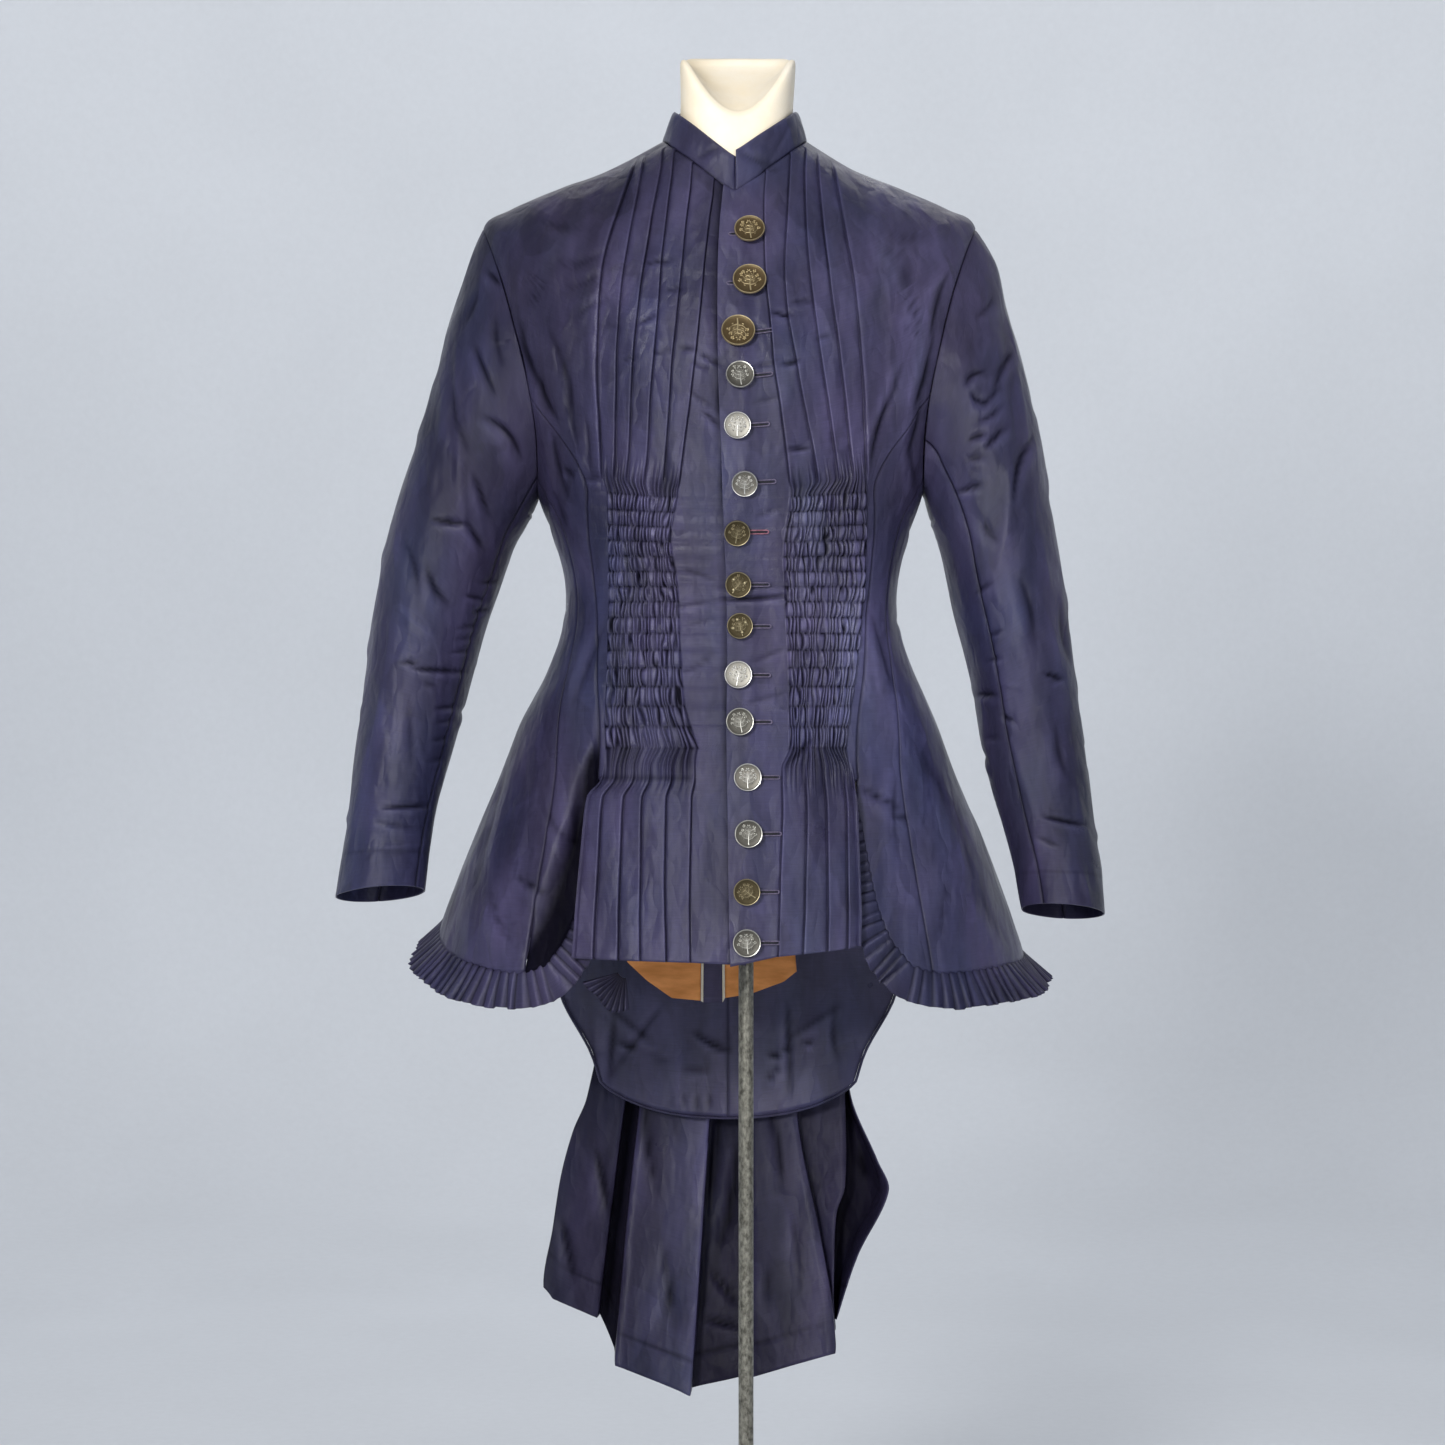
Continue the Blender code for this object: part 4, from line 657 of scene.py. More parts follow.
def makeSilk(name):
    made, tree, shader, place = newMaterial(name)
    threads = node(tree, "ShaderNodeGroup", node_tree=weave)
    tree.links.new(place.node.outputs["UV"], threads.inputs["Vector"])
    # warp and weft of two colours, so patches lean to navy, aubergine or slate
    shot = noiseNode(tree, place, 8, 3, 0.55, (1.3, 1, 0.6))
    colour = mixColour(tree, remap(tree, shot, 0.34, 0.62), silkLook["navy"], silkLook["aubergine"])
    turned = noiseNode(tree, place, 13, 2, 0.5, (1.6, 1, 0.5))
    colour = mixColour(tree, remap(tree, turned, 0.54, 0.76, 0.0, 0.5), colour, silkLook["slate"])
    streak = remap(tree, threads.outputs["Slub"], 0.3, 0.7, 0.88, 1.12)
    # painted sheen: broad lighter and darker patches where the silk would catch the light
    paintedSheen = remap(tree, noiseNode(tree, place, 26, 3, 0.55, (1.8, 1, 0.5)), 0.36, 0.64, 0.8, 1.24)
    # painted light and shade from the shade attribute darkens the colour and dims the shine
    mask = node(tree, "ShaderNodeAttribute", attribute_name="shade")
    # crumpled facets: flat cells with soft edges, bumped, and each painted a little lighter or darker as if
    # lit at its own slope
    warp = node(tree, "ShaderNodeTexNoise")
    warp.inputs["Scale"].default_value = 24
    warp.inputs["Detail"].default_value = 2
    tree.links.new(place, warp.inputs["Vector"])
    bent = node(tree, "ShaderNodeVectorMath", operation="MULTIPLY_ADD")
    tree.links.new(warp.outputs["Color"], bent.inputs[0])
    bent.inputs[1].default_value = (0.03, 0.03, 0.03)
    tree.links.new(place, bent.inputs[2])
    stretched = node(tree, "ShaderNodeMapping")
    stretched.inputs["Scale"].default_value = (1.5, 1.5, 0.6)
    tree.links.new(bent.outputs[0], stretched.inputs["Vector"])
    facets = node(tree, "ShaderNodeTexVoronoi", feature="SMOOTH_F1")
    facets.inputs["Scale"].default_value = silkLook["facetScale"]
    facets.inputs["Smoothness"].default_value = 0.12
    tree.links.new(stretched.outputs["Vector"], facets.inputs["Vector"])
    split = node(tree, "ShaderNodeSeparateColor")
    tree.links.new(facets.outputs["Color"], split.inputs[0])
    paintedSheen = times(tree, paintedSheen, remap(tree, split.outputs[0], 0.1, 0.9, 0.88, 1.12))
    dim = times(tree, times(tree, streak, paintedSheen), mask.outputs["Fac"])
    scaled = node(tree, "ShaderNodeVectorMath", operation="SCALE")
    tree.links.new(colour, scaled.inputs[0])
    tree.links.new(dim, scaled.inputs["Scale"])
    tree.links.new(scaled.outputs[0], shader.inputs["Base Color"])
    worn = noiseNode(tree, place, 22, 4, 0.6)
    polish = remap(tree, worn, 0.3, 0.7, silkLook["roughness"] - 0.06, silkLook["roughness"] + 0.1)
    tree.links.new(polish, shader.inputs["Roughness"])
    shine = times(tree, mask.outputs["Fac"], silkLook["specular"])
    tree.links.new(shine, shader.inputs["Specular IOR Level"])
    shader.inputs["Specular IOR Level"].default_value = silkLook["specular"]
    crinkle = noiseNode(tree, place, 120, 3, 0.6, (1, 1, 0.75))
    bend = noiseNode(tree, place, 34, 2, 0.5, (1.5, 1, 0.7))
    ridge = calculate(tree, "ABSOLUTE", calculate(tree, "SUBTRACT", bend, 0.5), 0.0)
    height = calculate(
        tree, "ADD",
        times(tree, crinkle, silkLook["crinkle"]),
        times(tree, threads.outputs["Height"], silkLook["weaveDepth"]),
    )
    height = calculate(tree, "ADD", height, times(tree, ridge, silkLook["wrinkle"] * 2))
    cells = times(tree, facets.outputs["Distance"], silkLook["facetDepth"])
    height = calculate(tree, "ADD", height, cells)
    addBump(tree, shader, height, 0.7)
    return made


silk = makeSilk("shotTaffeta")


def makePlain(
    name, dark, light, roughness, scale, stretch=None, metallic=0.0, bumpDepth=0.0003, bumpScale=300
):
    # a mottled material between two colours
    made, tree, shader, place = newMaterial(name)
    patches = noiseNode(tree, place, scale, 5, 0.6, stretch)
    colour = mixColour(tree, remap(tree, patches, 0.35, 0.65), dark, light)
    tree.links.new(colour, shader.inputs["Base Color"])
    polish = remap(tree, patches, 0.3, 0.7, roughness + 0.08, roughness - 0.08)
    tree.links.new(polish, shader.inputs["Roughness"])
    shader.inputs["Metallic"].default_value = metallic
    grain = noiseNode(tree, place, bumpScale, 4, 0.6, stretch)
    addBump(tree, shader, times(tree, grain, bumpDepth), 0.5)
    return made


cotton = makePlain("tanCotton", (0.6, 0.228, 0.056), (0.8, 0.325, 0.093), 0.75, 30, (1, 1, 4))
tapeCotton = makePlain("creamTape", (0.62, 0.55, 0.42), (0.75, 0.7, 0.58), 0.8, 60)
linen = makePlain("formLinen", (0.93, 0.8, 0.58), (0.965, 0.88, 0.73), 0.7, 14, None, 0.0, 0.0002, 500)
iron = makePlain(
    "standIron", (0.07, 0.066, 0.053), (0.28, 0.27, 0.225), 0.36, 330, (1, 1, 0.6), 0.6, 0.0006, 420
)
thread = makePlain("buttonholeThread", (0.085, 0.072, 0.12), (0.17, 0.14, 0.22), 0.6, 400)
pinkThread = makePlain("pinkButtonholeThread", (0.22, 0.075, 0.105), (0.38, 0.16, 0.2), 0.6, 400)
# a near-black finish painted as the shadow in a buttonhole's slot
slotShadow = makePlain("buttonholeSlotPaintedShadow", (0.003, 0.003, 0.007), (0.007, 0.006, 0.013), 0.8, 400)
print("materials made")


# Fronts

fronts = {
    "front_right": {
        "sign": -1,
        "edge": [(0, -0.003), (4, -0.003), (10, -0.007), (17, -0.013)],
        "tucks": [  # distance from the centre line at the top, the chest and the bottom
            (0.0166, 0.0215, 0.0395), (0.0332, 0.0392, 0.0517), (0.0481, 0.0538, 0.0654),
            (0.0565, 0.0684, 0.079), (0.0703, 0.0822, 0.0882), (0.0761, 0.0983, 0.0988),
        ],
        "tuckCap": (0.28, 0.56, 0.8, 0.9, 0.94, 0.97),
        "smock": [  # level, and the panel's two sides
            (7.9, 0.0395, 0.0955), (8.9, 0.045, 0.0955), (10.2, 0.0403, 0.095), (12.6, 0.035, 0.0955),
            (13.5, 0.023, 0.096),
        ],
        "pleats": [
            (0.0275, 0.029), (0.0459, 0.0473), (0.0635, 0.0664), (0.0765, 0.0832), (0.0918, 0.1015),
            (0.102, 0.1167),
        ],
        "hem": (16.93, 16.85),
        "gathers": 19,
        # light: painted light over this whole front, 1 for none
        "light": 1.0,
        "seed": 3,
    },
    "front_left": {
        "sign": 1,
        "edge": [(0, -0.0095), (4, -0.009), (7, -0.007), (10, -0.0045), (14, -0.001), (17, 0.001)],
        "tucks": [
            (0.0242, 0.0296, 0.0448), (0.0437, 0.0439, 0.0669), (0.0558, 0.0631, 0.0828),
            (0.0663, 0.0778, 0.0942), (0.078, 0.0955, 0.1045),
        ],
        "tuckCap": (0.41, 0.74, 0.9, 0.94, 0.97),
        "smock": [
            (7.9, 0.0448, 0.1045), (9.5, 0.0395, 0.104), (11.6, 0.0433, 0.099), (13.5, 0.0465, 0.0915),
        ],
        "pleats": [(0.0405, 0.0374), (0.0581, 0.0565), (0.0727, 0.0744), (0.088, 0.0897), (0.0945, 0.0992)],
        "hem": (16.95, 16.66),
        "gathers": 18,
        # light: painted light over this whole front
        "light": 1.15,
        "seed": 9,
    },
    "shape": {
        "tuckHeight": 0.0028, "pleatHeight": 0.0034, "gatherHeight": 0.0034, "gatherDip": 0.0004, "bands": 15,
        "tuckLevels": (0.6, 3.2, 7.8), "smockTop": 7.9, "smockEnd": 13.5, "columns": 130, "plainAngle": 1.6,
        "lap": 0.006, "rest": 0.01, "clear": 0.0005, "foldWobble": 0.0006,
        "stepWidth": 0.0017, "stepColumns": 5, "lastRamp": 0.018, "freeEdge": 0.0006, "turnedBack": 0.011,
        "freeFrom": 14.0, "freeTo": 14.35, "pleatLine": 14.0,
        "pinch": 0.62, "pinchWidth": 0.12, "wander": 0.42, "longSlit": 0.8,
    },
}
shape = fronts["shape"]


def frontOuterEdge(level):
    armhole = armholeAngle(armholeTurn(level))
    edge = np.where(level < 6.35, armhole, seamAngle("front", level))
    return np.where(level <= body["shoulderTip"], 90.0, edge) - gapAngle(level)


def freeShare(level):
    # 0 where the front is sewn to its side panel, 1 where its skirt hangs free
    return smoothStep((level - shape["freeFrom"]) / (shape["freeTo"] - shape["freeFrom"]))


def foldDistances(side, level, wobble):
    # distance of each fold from the centre line and how far it is still there, a column for each fold
    count = len(side["tucks"])
    reach = ringAt(level)[..., 2]
    seam = np.radians(frontOuterEdge(level) - shape["plainAngle"])
    seamReach = reach * np.sin(seam) * fullness(seam)
    tuckLines, there = [], []
    for line, cap in zip(side["tucks"], side["tuckCap"]):
        placed = smoothAlong(list(zip(shape["tuckLevels"], line)), level)
        tuckLines.append(np.minimum(placed, reach * cap))
        there.append(1 - smoothStep((placed / reach - 0.86) / 0.08) * smoothStep((2.5 - level) / 0.5))
    smockStart = smoothAlong([row[:2] for row in side["smock"]], level)
    smockEnd = smoothAlong([(row[0], row[2]) for row in side["smock"]], level)
    share = (level - shape["pleatLine"]) / 3.0
    lines = []
    for k in range(count):
        smocked = smockStart + (smockEnd - smockStart) * k / (count - 1)
        pleated = side["pleats"][k][0] + (side["pleats"][k][1] - side["pleats"][k][0]) * share
        toSmock = smoothStep((level - 7.55) / 0.35)
        toPleat = smoothStep((level - 13.45) / 0.4)
        lines.append((tuckLines[k] * (1 - toSmock) + smocked * toSmock) * (1 - toPleat) + pleated * toPleat)
    lines = np.stack(lines, -1)
    squeeze = np.minimum(1.0, seamReach / lines[..., -1])
    lines = lines * (squeeze + (1 - squeeze) * freeShare(level))[..., None]
    return lines + wobble, np.stack(there, -1)


def edgeDistance(side, level):
    return smoothAlong(side["edge"], level)


def lapEnd(level):
    return -edgeDistance(fronts["front_right"], level) + shape["lap"]


def skirtPuff(level):
    return body["skirtPuff"] * smoothStep((level - body["ventTop"] + 0.32) / 1.0)


def placketRise(side, distance, level):
    if side["sign"] < 0:
        return 0.0 * distance
    lifted = np.clip(1 - (distance - lapEnd(level)) / shape["rest"], 0, 1)
    return (cadWall + shape["clear"]) * smoothStep(lifted)


shoulderLevels = [4, 4.02, 4.06, 4.12, 4.2, 4.3, 4.42]


def frontLevels():
    tuck = np.concatenate([np.linspace(0, 3.95, 50), shoulderLevels, np.linspace(4.55, 7.55, 42)])
    meet = np.linspace(7.6, 7.88, 5)
    smocked = np.linspace(shape["smockTop"], shape["smockEnd"], shape["bands"] * 8 + 1)
    pleated = np.concatenate([np.linspace(13.55, 14.4, 12), np.linspace(14.5, 16.9, 30), [16.95, 17.0]])
    return np.concatenate([tuck, meet, smocked, pleated])


def spotsOf(across, level):
    # a place in the noise for each column and level
    across, level = np.broadcast_arrays(across, level)
    return np.stack([across, 0 * across, level], -1)


def gatherField(side, along, level):
    # height from 0 to 1 and the painted shade and highlight of the shirred cloth: gathers that wander through
    # the rows of stitches
    rng = np.random.default_rng(side["seed"])
    bands, gathers = shape["bands"], side["gathers"]
    band = (level - shape["smockTop"]) / (shape["smockEnd"] - shape["smockTop"]) * bands
    number = np.clip(np.floor(band), 0, bands - 1).astype(int)
    into = np.clip(band - number, 0, 1)
    knots = np.linspace(0, 1, gathers + 5)
    drift = np.cumsum(0.16 * (rng.random((bands + 1, len(knots))) - 0.5), axis=0)
    atRows = shape["wander"] * (rng.random((bands + 1, len(knots))) - 0.5) * 2 + drift
    inBand = 1.15 * (rng.random((bands, len(knots))) - 0.5)
    shift = np.empty(np.broadcast(along, level).shape)
    for i in range(len(shift)):
        n, t = int(number[i, 0]), float(into[i, 0])
        ease = t * t * (3 - 2 * t)
        row = atRows[n] * (1 - ease) + atRows[n + 1] * ease + inBand[n] * math.sin(math.pi * t) ** 0.3
        shift[i] = np.interp(along, knots, row)
    wave = along * gathers + shift + 0.5
    which = np.clip(np.floor(wave).astype(int), 0, gathers + 2)
    ridge = np.abs(np.sin(wave * math.pi))
    tall = 0.5 + 0.7 * rng.random((bands, gathers + 3))
    deep = np.clip(0.12 + 1.15 * rng.random((bands, gathers + 4)), 0, 1)
    size = tall[number, which]
    nearest = np.clip(np.rint(wave).astype(int), 0, gathers + 3)
    valley = deep[number, nearest]
    row = np.minimum(into, 1 - into)
    pinch = shape["pinch"] * bell(row, shape["pinchWidth"])
    # near the panel's sides some slits run on through several rows
    long = shape["longSlit"] * bell(along, 0.09) + shape["longSlit"] * bell(1 - along, 0.06)
    uneven = softNoise(spotsOf(nearest * 3.1, level), 0.8, side["seed"])
    valley = np.clip(valley + long * (0.4 + 0.6 * uneven), 0, 1)
    height = size * ridge**0.62 * (1 - pinch * (0.35 + 0.65 * valley))
    # painted shade in the valleys and the stitched rows, a painted highlight on each puff's top
    tight = bell(row, 0.07) * (0.3 + 0.7 * deep[number, which])
    dark = 1 - 1.25 * valley * (1 - ridge) ** 1.35 - 0.52 * tight
    light = 0.95 * ridge**3 * bell(into - 0.38, 0.28) * size
    return height, np.clip(dark + light + 0.1, 0.12, 1.7)


def makeFront(name):
    side = fronts[name]
    levels = frontLevels()
    count = len(side["tucks"])
    level = levels[:, None]
    places = [np.stack([levels * 0 + k * 3.7, levels * 0, levels], -1) for k in range(count)]
    wobble = np.stack([shape["foldWobble"] * softNoise(spot, 0.9, side["seed"]) for spot in places], -1)
    lines, there = foldDistances(side, levels, wobble)
    edge = edgeDistance(side, level)
    outerEdge = frontOuterEdge(levels)[:, None]
    turn = np.radians(outerEdge)
    seamDistance = ringAt(levels)[:, 2:3] * np.sin(turn) * fullness(turn)
    free = freeShare(level)
    ramp = np.clip(0.6 * (seamDistance - lines[:, -1:]), 0.0012, shape["lastRamp"])
    ramp = ramp * (1 - free) + shape["freeEdge"] * free
    lines = np.hstack([lines, lines[:, -1:] + ramp])
    there = np.hstack([there, there[:, -1:]])
    # columns crowd at each fold's step in the tucks and pleats, and lie evenly in the smocking
    perFold = shape["columns"] // (count - 1)
    stepShare = shape["stepColumns"] / perFold
    last = np.concatenate([np.arange(1, 6) / 5 * stepShare, np.linspace(stepShare, 1, 9)[1:]])
    position = np.concatenate([np.arange(perFold * (count - 1) + 1) / perFold, count - 1 + last])
    interval = np.minimum(np.floor(position + 1e-9).astype(int), count - 1)
    fraction = np.clip(position - interval, 0, 1)
    offset = np.minimum(fraction / stepShare, 1.0)
    rest = np.clip((fraction - stepShare) / (1 - stepShare), 0, 1)
    low, high = lines[:, interval], lines[:, interval + 1]
    alive = there[:, interval]
    stepWidth = np.minimum(shape["stepWidth"], 0.5 * (high - low))
    stepping = low + (offset - 0.45) * stepWidth
    evenly = low + 0.55 * stepWidth + (high - low - stepWidth) * rest
    crowded = np.where(fraction < stepShare, stepping, evenly)
    smockShare = smoothStep((level - 7.5) / 0.35) * smoothStep((13.85 - level) / 0.3)
    folded = crowded * (1 - smockShare) + (low + (high - low) * fraction) * smockShare
    # plain cloth at the centre edge and towards the outer seam, turned back under the free edge
    before = np.array([0, 0.012, 0.03, 0.06, 0.11, 0.18, 0.27, 0.37, 0.48, 0.6, 0.72, 0.83, 0.92, 0.98])
    edgePart = edge + (folded[:, :1] - edge) * before
    foldAngle = angleOf(np.hstack([edgePart, folded]), level)
    after = np.concatenate([np.linspace(0.03, 0.9, 14), [0.94, 0.965, 0.982, 0.993, 1.0]])
    backAngle = angleOf(folded[:, -1:] - shape["turnedBack"], level)
    goal = outerEdge * (1 - free) + backAngle * free
    angle = np.hstack([foldAngle, foldAngle[:, -1:] + (goal - foldAngle[:, -1:]) * after])
    distance = np.hstack([edgePart, folded, folded[:, -1:] + 0.02 * after])
    # heights: knife folds above and below, gathers in rows between
    tuckShare = smoothStep((7.75 - level) / 0.35) * np.minimum(1.0, 0.35 + 0.9 * level) * alive
    pleatShare = smoothStep((level - 13.7) / 0.5)
    stepHeight = np.interp(offset, [0, 0.25, 0.45, 0.65, 1.0], [0.0, -0.16, 0.35, 0.92, 1.0])
    slope = 1 - 0.92 * rest - 0.08 * rest * (interval == count - 1)
    knife = np.where(fraction < stepShare, stepHeight, slope)
    knife = np.where((interval == count - 1) & (fraction >= stepShare), knife * (1 - free) + free, knife)
    knifeHeight = shape["tuckHeight"] * tuckShare + shape["pleatHeight"] * pleatShare
    along = np.minimum(position / (count - 1), 1.0)
    inPanel = smoothStep(along / 0.03) * smoothStep((1 - along) / 0.03)
    inBands = ((level >= shape["smockTop"]) & (level <= shape["smockEnd"])).astype(float)
    puffs, gatherTone = gatherField(side, along, level)
    gatherRise = (shape["gatherDip"] + shape["gatherHeight"] * puffs) * inPanel
    # puckers that run out of the first and last row of stitches
    above = smoothStep((level - 7.0) / 0.85) * (level < shape["smockTop"])
    below = smoothStep((14.45 - level) / 0.9) * (level > shape["smockEnd"])
    firstRow, lastRow = np.flatnonzero((levels >= shape["smockTop"]) & (levels <= shape["smockEnd"]))[[0, -1]]
    pucker = np.where(level < shape["smockTop"], puffs[firstRow], puffs[lastRow])
    puckerRise = shape["gatherHeight"] * 1.5 * pucker * inPanel * (above + below)
    heights = knife * knifeHeight + inBands * gatherRise + puckerRise
    tucked = np.sin(np.clip(after * 3, 0, 1) * math.pi / 2)
    under = -tucked * (shape["pleatHeight"] + 0.0016) + shape["pleatHeight"]
    out = np.hstack([np.zeros((len(levels), len(before))), heights, under * free])
    out = out + placketRise(side, distance, level) + skirtPuff(level)
    arc = (outerEdge - angle) * np.radians(1) * ringAt(level)[..., 2]
    groove = bell(arc, 0.0014) * (1 - free)
    out = out - 0.0008 * groove
    acrossHem = np.hstack([0.5 * before, 0.5 + 0.5 * along, 1 + 0 * after])
    hemLevel = side["hem"][0] + (side["hem"][1] - side["hem"][0]) * acrossHem
    ease = body["hemEase"]
    drop = np.clip((level - ease) / (17 - ease), 0, 1)
    realLevel = np.where(level > ease, ease + (hemLevel - ease) * drop, level)
    points, tone = dressed(side["sign"] * angle, realLevel, out)
    # painted shade in the folds, the gathers' valleys and the stitched rows, with a thin painted highlight on
    # each fold
    strong = 0.62 + 0.38 * softNoise(spotsOf(interval * 5.3, level), 0.7, 21)
    slit = -0.86 * bell(offset - 0.3, 0.26) + 0.4 * bell(offset - 0.95, 0.2)
    between = 0.4 * bell(rest, 0.05) - 0.38 * np.exp(-((1 - rest) / 0.07)) * (interval < count - 1)
    slit = np.where(fraction < stepShare, slit, between)
    foldTone = smoothStep((7.75 - level) / 0.35) * alive + pleatShare
    knifeTone = 1 + slit * strong * np.clip(foldTone, 0, 1)
    bandTone = 1 + (gatherTone - 1) * inBands * np.clip(inPanel + 0.5, 0, 1) * (position <= count - 1 + 1e-9)
    puckerTone = 1 + ((gatherTone[firstRow] - 1) * above + (gatherTone[lastRow] - 1) * below) * inPanel * 0.8
    tone[:, len(before):-len(after)] *= knifeTone * bandTone * puckerTone
    # painted shade on the cloth turned back under the free edge
    tone[:, -len(after):] *= 1 - 0.5 * free * after
    if side["sign"] < 0:
        # painted shadow of the left front's edge on the right front, wider towards the collar
        overlap = edgeDistance(fronts["front_left"], level) + distance
        spread = 0.0018 + 0.0058 * smoothStep((4.6 - level) / 1.5)
        tone = tone * (1 - 0.8 * np.exp(-np.abs(overlap) / spread))
        # painted shade along the line where the skirt's pleats start
        within = smoothStep((distance - 0.026) / 0.004) * (distance < 0.118)
        startLine = bell(level - shape["pleatLine"], 0.035) * within
        tone = tone * (1 - 0.5 * startLine)
    # painted shadow in the seam's groove, and this whole front painted lighter by its light
    tone = tone * (1 - 0.62 * groove) * side["light"]
    return bodyPanel(name, points, tone)


pieces = {name: makeFront(name) for name in ("front_right", "front_left")}
print("fronts made")


# Panels behind the fronts

def skirtHemLevel(sign, angle):
    return smoothAlong(list(zip(body["hem"]["angle"], body["hem"][sign])), angle)


def levelToHem(sign, angle, down):
    ease = body["hemEase"]
    share = (down - ease) / (17 - ease)
    return np.where(down > ease, ease + (skirtHemLevel(sign, angle) - ease) * share, down)


def armholeFrontEdge(level):
    return armholeAngle(armholeTurn(level))


def armholeBackEdge(level):
    return armholeAngle(360 - armholeTurn(level))


def sideFrontInner(level):
    return np.where(level < body["ventStart"], seamAngle("front", level), smoothAlong(body["vent"], level))


def sideFrontOuter(level):
    return np.where(level < body["panelTop"], armholeFrontEdge(level), seamAngle("side", level))


def sideBackInner(level):
    return np.where(level < body["panelTop"], armholeBackEdge(level), seamAngle("sideBack", level))


def panelColumns(count):
    first, last = [0, 0.008, 0.02, 0.035, 0.055], [0.945, 0.965, 0.98, 0.992, 1]
    return np.concatenate([first, np.linspace(0.085, 0.915, count), last])


def seamDip(points, depth=0.0008, reach=0.0014):
    # a shallow groove along both side seams, and its shadow
    across = lengthAcross(points)
    near = np.minimum(across, across[:, -1:] - across)
    groove = bell(near, reach)
    return depth * groove, 1 - 0.5 * groove


recess = {  # shadow beside the wearer's right front: how wide it shows and how deep it lies, by level
    "width": [(13.3, 0.003), (13.8, 0.014), (14.4, 0.021), (15.2, 0.028), (16.2, 0.034), (17.0, 0.037)],
    "sink": [(13.3, 0.0), (14.0, 0.005), (15.0, 0.01), (16.0, 0.009), (16.6, 0.003), (17.0, 0.0)],
    "shade": 0.1,
}


def recessAt(points, level):
    # how deep the side panel falls back beside the free edge of the front, and its shadow
    across = lengthAcross(points)
    width, sink = smoothAlong(recess["width"], level), smoothAlong(recess["sink"], level)
    inside = 1 - smoothStep((across / width - 0.72) / 0.5)
    shadow = 1 - (1 - recess["shade"]) * inside * smoothStep((level - 13.1) / 0.6)
    return sink * inside * smoothStep(across / 0.006), shadow


def makePanel(name, sign, levels, inner, outer, count, hollow=False):
    level = levels[:, None]
    first, last = inner(level) + gapAngle(level), outer(level) - gapAngle(level)
    last = np.maximum(last, first + 0.02)
    angle = first + (last - first) * panelColumns(count)
    real = levelToHem(sign, angle, level)
    flat = surfacePoint(sign * angle, real)
    dip, dark = seamDip(flat)
    if hollow:
        fallen, shadow = recessAt(flat, level)
        dip, dark = dip + fallen, dark * shadow
    points, tone = dressed(sign * angle, real, -dip)
    return bodyPanel(name, points, dark * tone)


def seamedPanel(name, sign, angle, real, light=1.0):
    # a body panel with a groove along each seam and its painted shadow, times the painted light given
    groove, dark = seamDip(surfacePoint(sign * angle, real))
    points, tone = dressed(sign * angle, real, -groove)
    return bodyPanel(name, points, dark * light * tone)


sideLevels = np.concatenate([np.linspace(body["panelTop"], 16.2, 96), np.linspace(16.3, 17, 10)])
topLevels = np.linspace(6.36, 7.7, 20)


def makeUnderarm(name, sign):
    level = sideLevels[:, None]
    first, last = seamAngle("side", level) + gapAngle(level), seamAngle("sideBack", level) - gapAngle(level)
    across = panelColumns(26)
    angle = first + (last - first) * across
    dip = (body["underarm"] + 0.004 - body["panelTop"]) * (1 - np.abs(2 * across - 1) ** 1.7)
    real = level + (dip + 0.006) * np.maximum(0.0, 9.0 - level) / (9.0 - body["panelTop"])
    real = np.where(level > body["hemEase"], levelToHem(sign, angle, level), real)
    return seamedPanel(name, sign, angle, real)


def backSideEdge(level):
    basque = smoothAlong(body["basqueEdge"], level)
    edge = np.where(level <= 17, seamAngle("back", level), basque)
    edge = np.where(level < 6.35, armholeBackEdge(level), edge)
    return np.where(level <= body["shoulderTip"], 90.0, edge)


def makeBack(name, sign):
    levels = np.concatenate([
        np.linspace(0, 3.95, 30), shoulderLevels, np.linspace(4.55, 6.35, 16),
        np.linspace(6.45, 16.4, 90), np.linspace(16.5, 19.0, 44),
    ])
    level = levels[:, None]
    across = panelColumns(34)
    first, last = backSideEdge(level) + gapAngle(level), 180 - gapAngle(level)
    angle = first + (last - first) * across
    real = level + 0 * angle
    # the last rows blend into the rounded hem
    corner, cornerLevel = body["basqueEdge"][-1][1], body["basqueEdge"][-1][0]
    hemAngle = corner + (180 - gapAngle(20.0) - corner) * across
    hemLevel = cornerLevel + (body["basqueCentre"] - cornerLevel) * np.sin(across * math.pi / 2) ** 0.8
    angles, reals = [angle], [real]
    for share in np.linspace(0.1, 1.0, 10):
        angles.append(angle[-1:] * (1 - share) + hemAngle * share)
        reals.append(real[-1:] * (1 - share) + hemLevel * share)
    angle, real = np.vstack(angles), np.vstack(reals)
    # the inside of the basque painted lighter towards its hem
    light = 1 + body["basquePaintedLight"] * smoothStep((real - 16.3) / 0.8)
    return seamedPanel(name, sign, angle, real, light)


for sign, wearer in ((-1, "right"), (1, "left")):
    allLevels = np.concatenate([topLevels, sideLevels])
    pieces[f"side_front_{wearer}"] = makePanel(
        f"side_front_{wearer}", sign, allLevels, sideFrontInner, sideFrontOuter, 30, sign < 0
    )
    pieces[f"side_back_{wearer}"] = makePanel(
        f"side_back_{wearer}", sign, allLevels, sideBackInner, lambda level: seamAngle("back", level), 36
    )
    pieces[f"underarm_{wearer}"] = makeUnderarm(f"underarm_{wearer}", sign)
    pieces[f"back_{wearer}"] = makeBack(f"back_{wearer}", sign)
print("body panels made")


# Collar

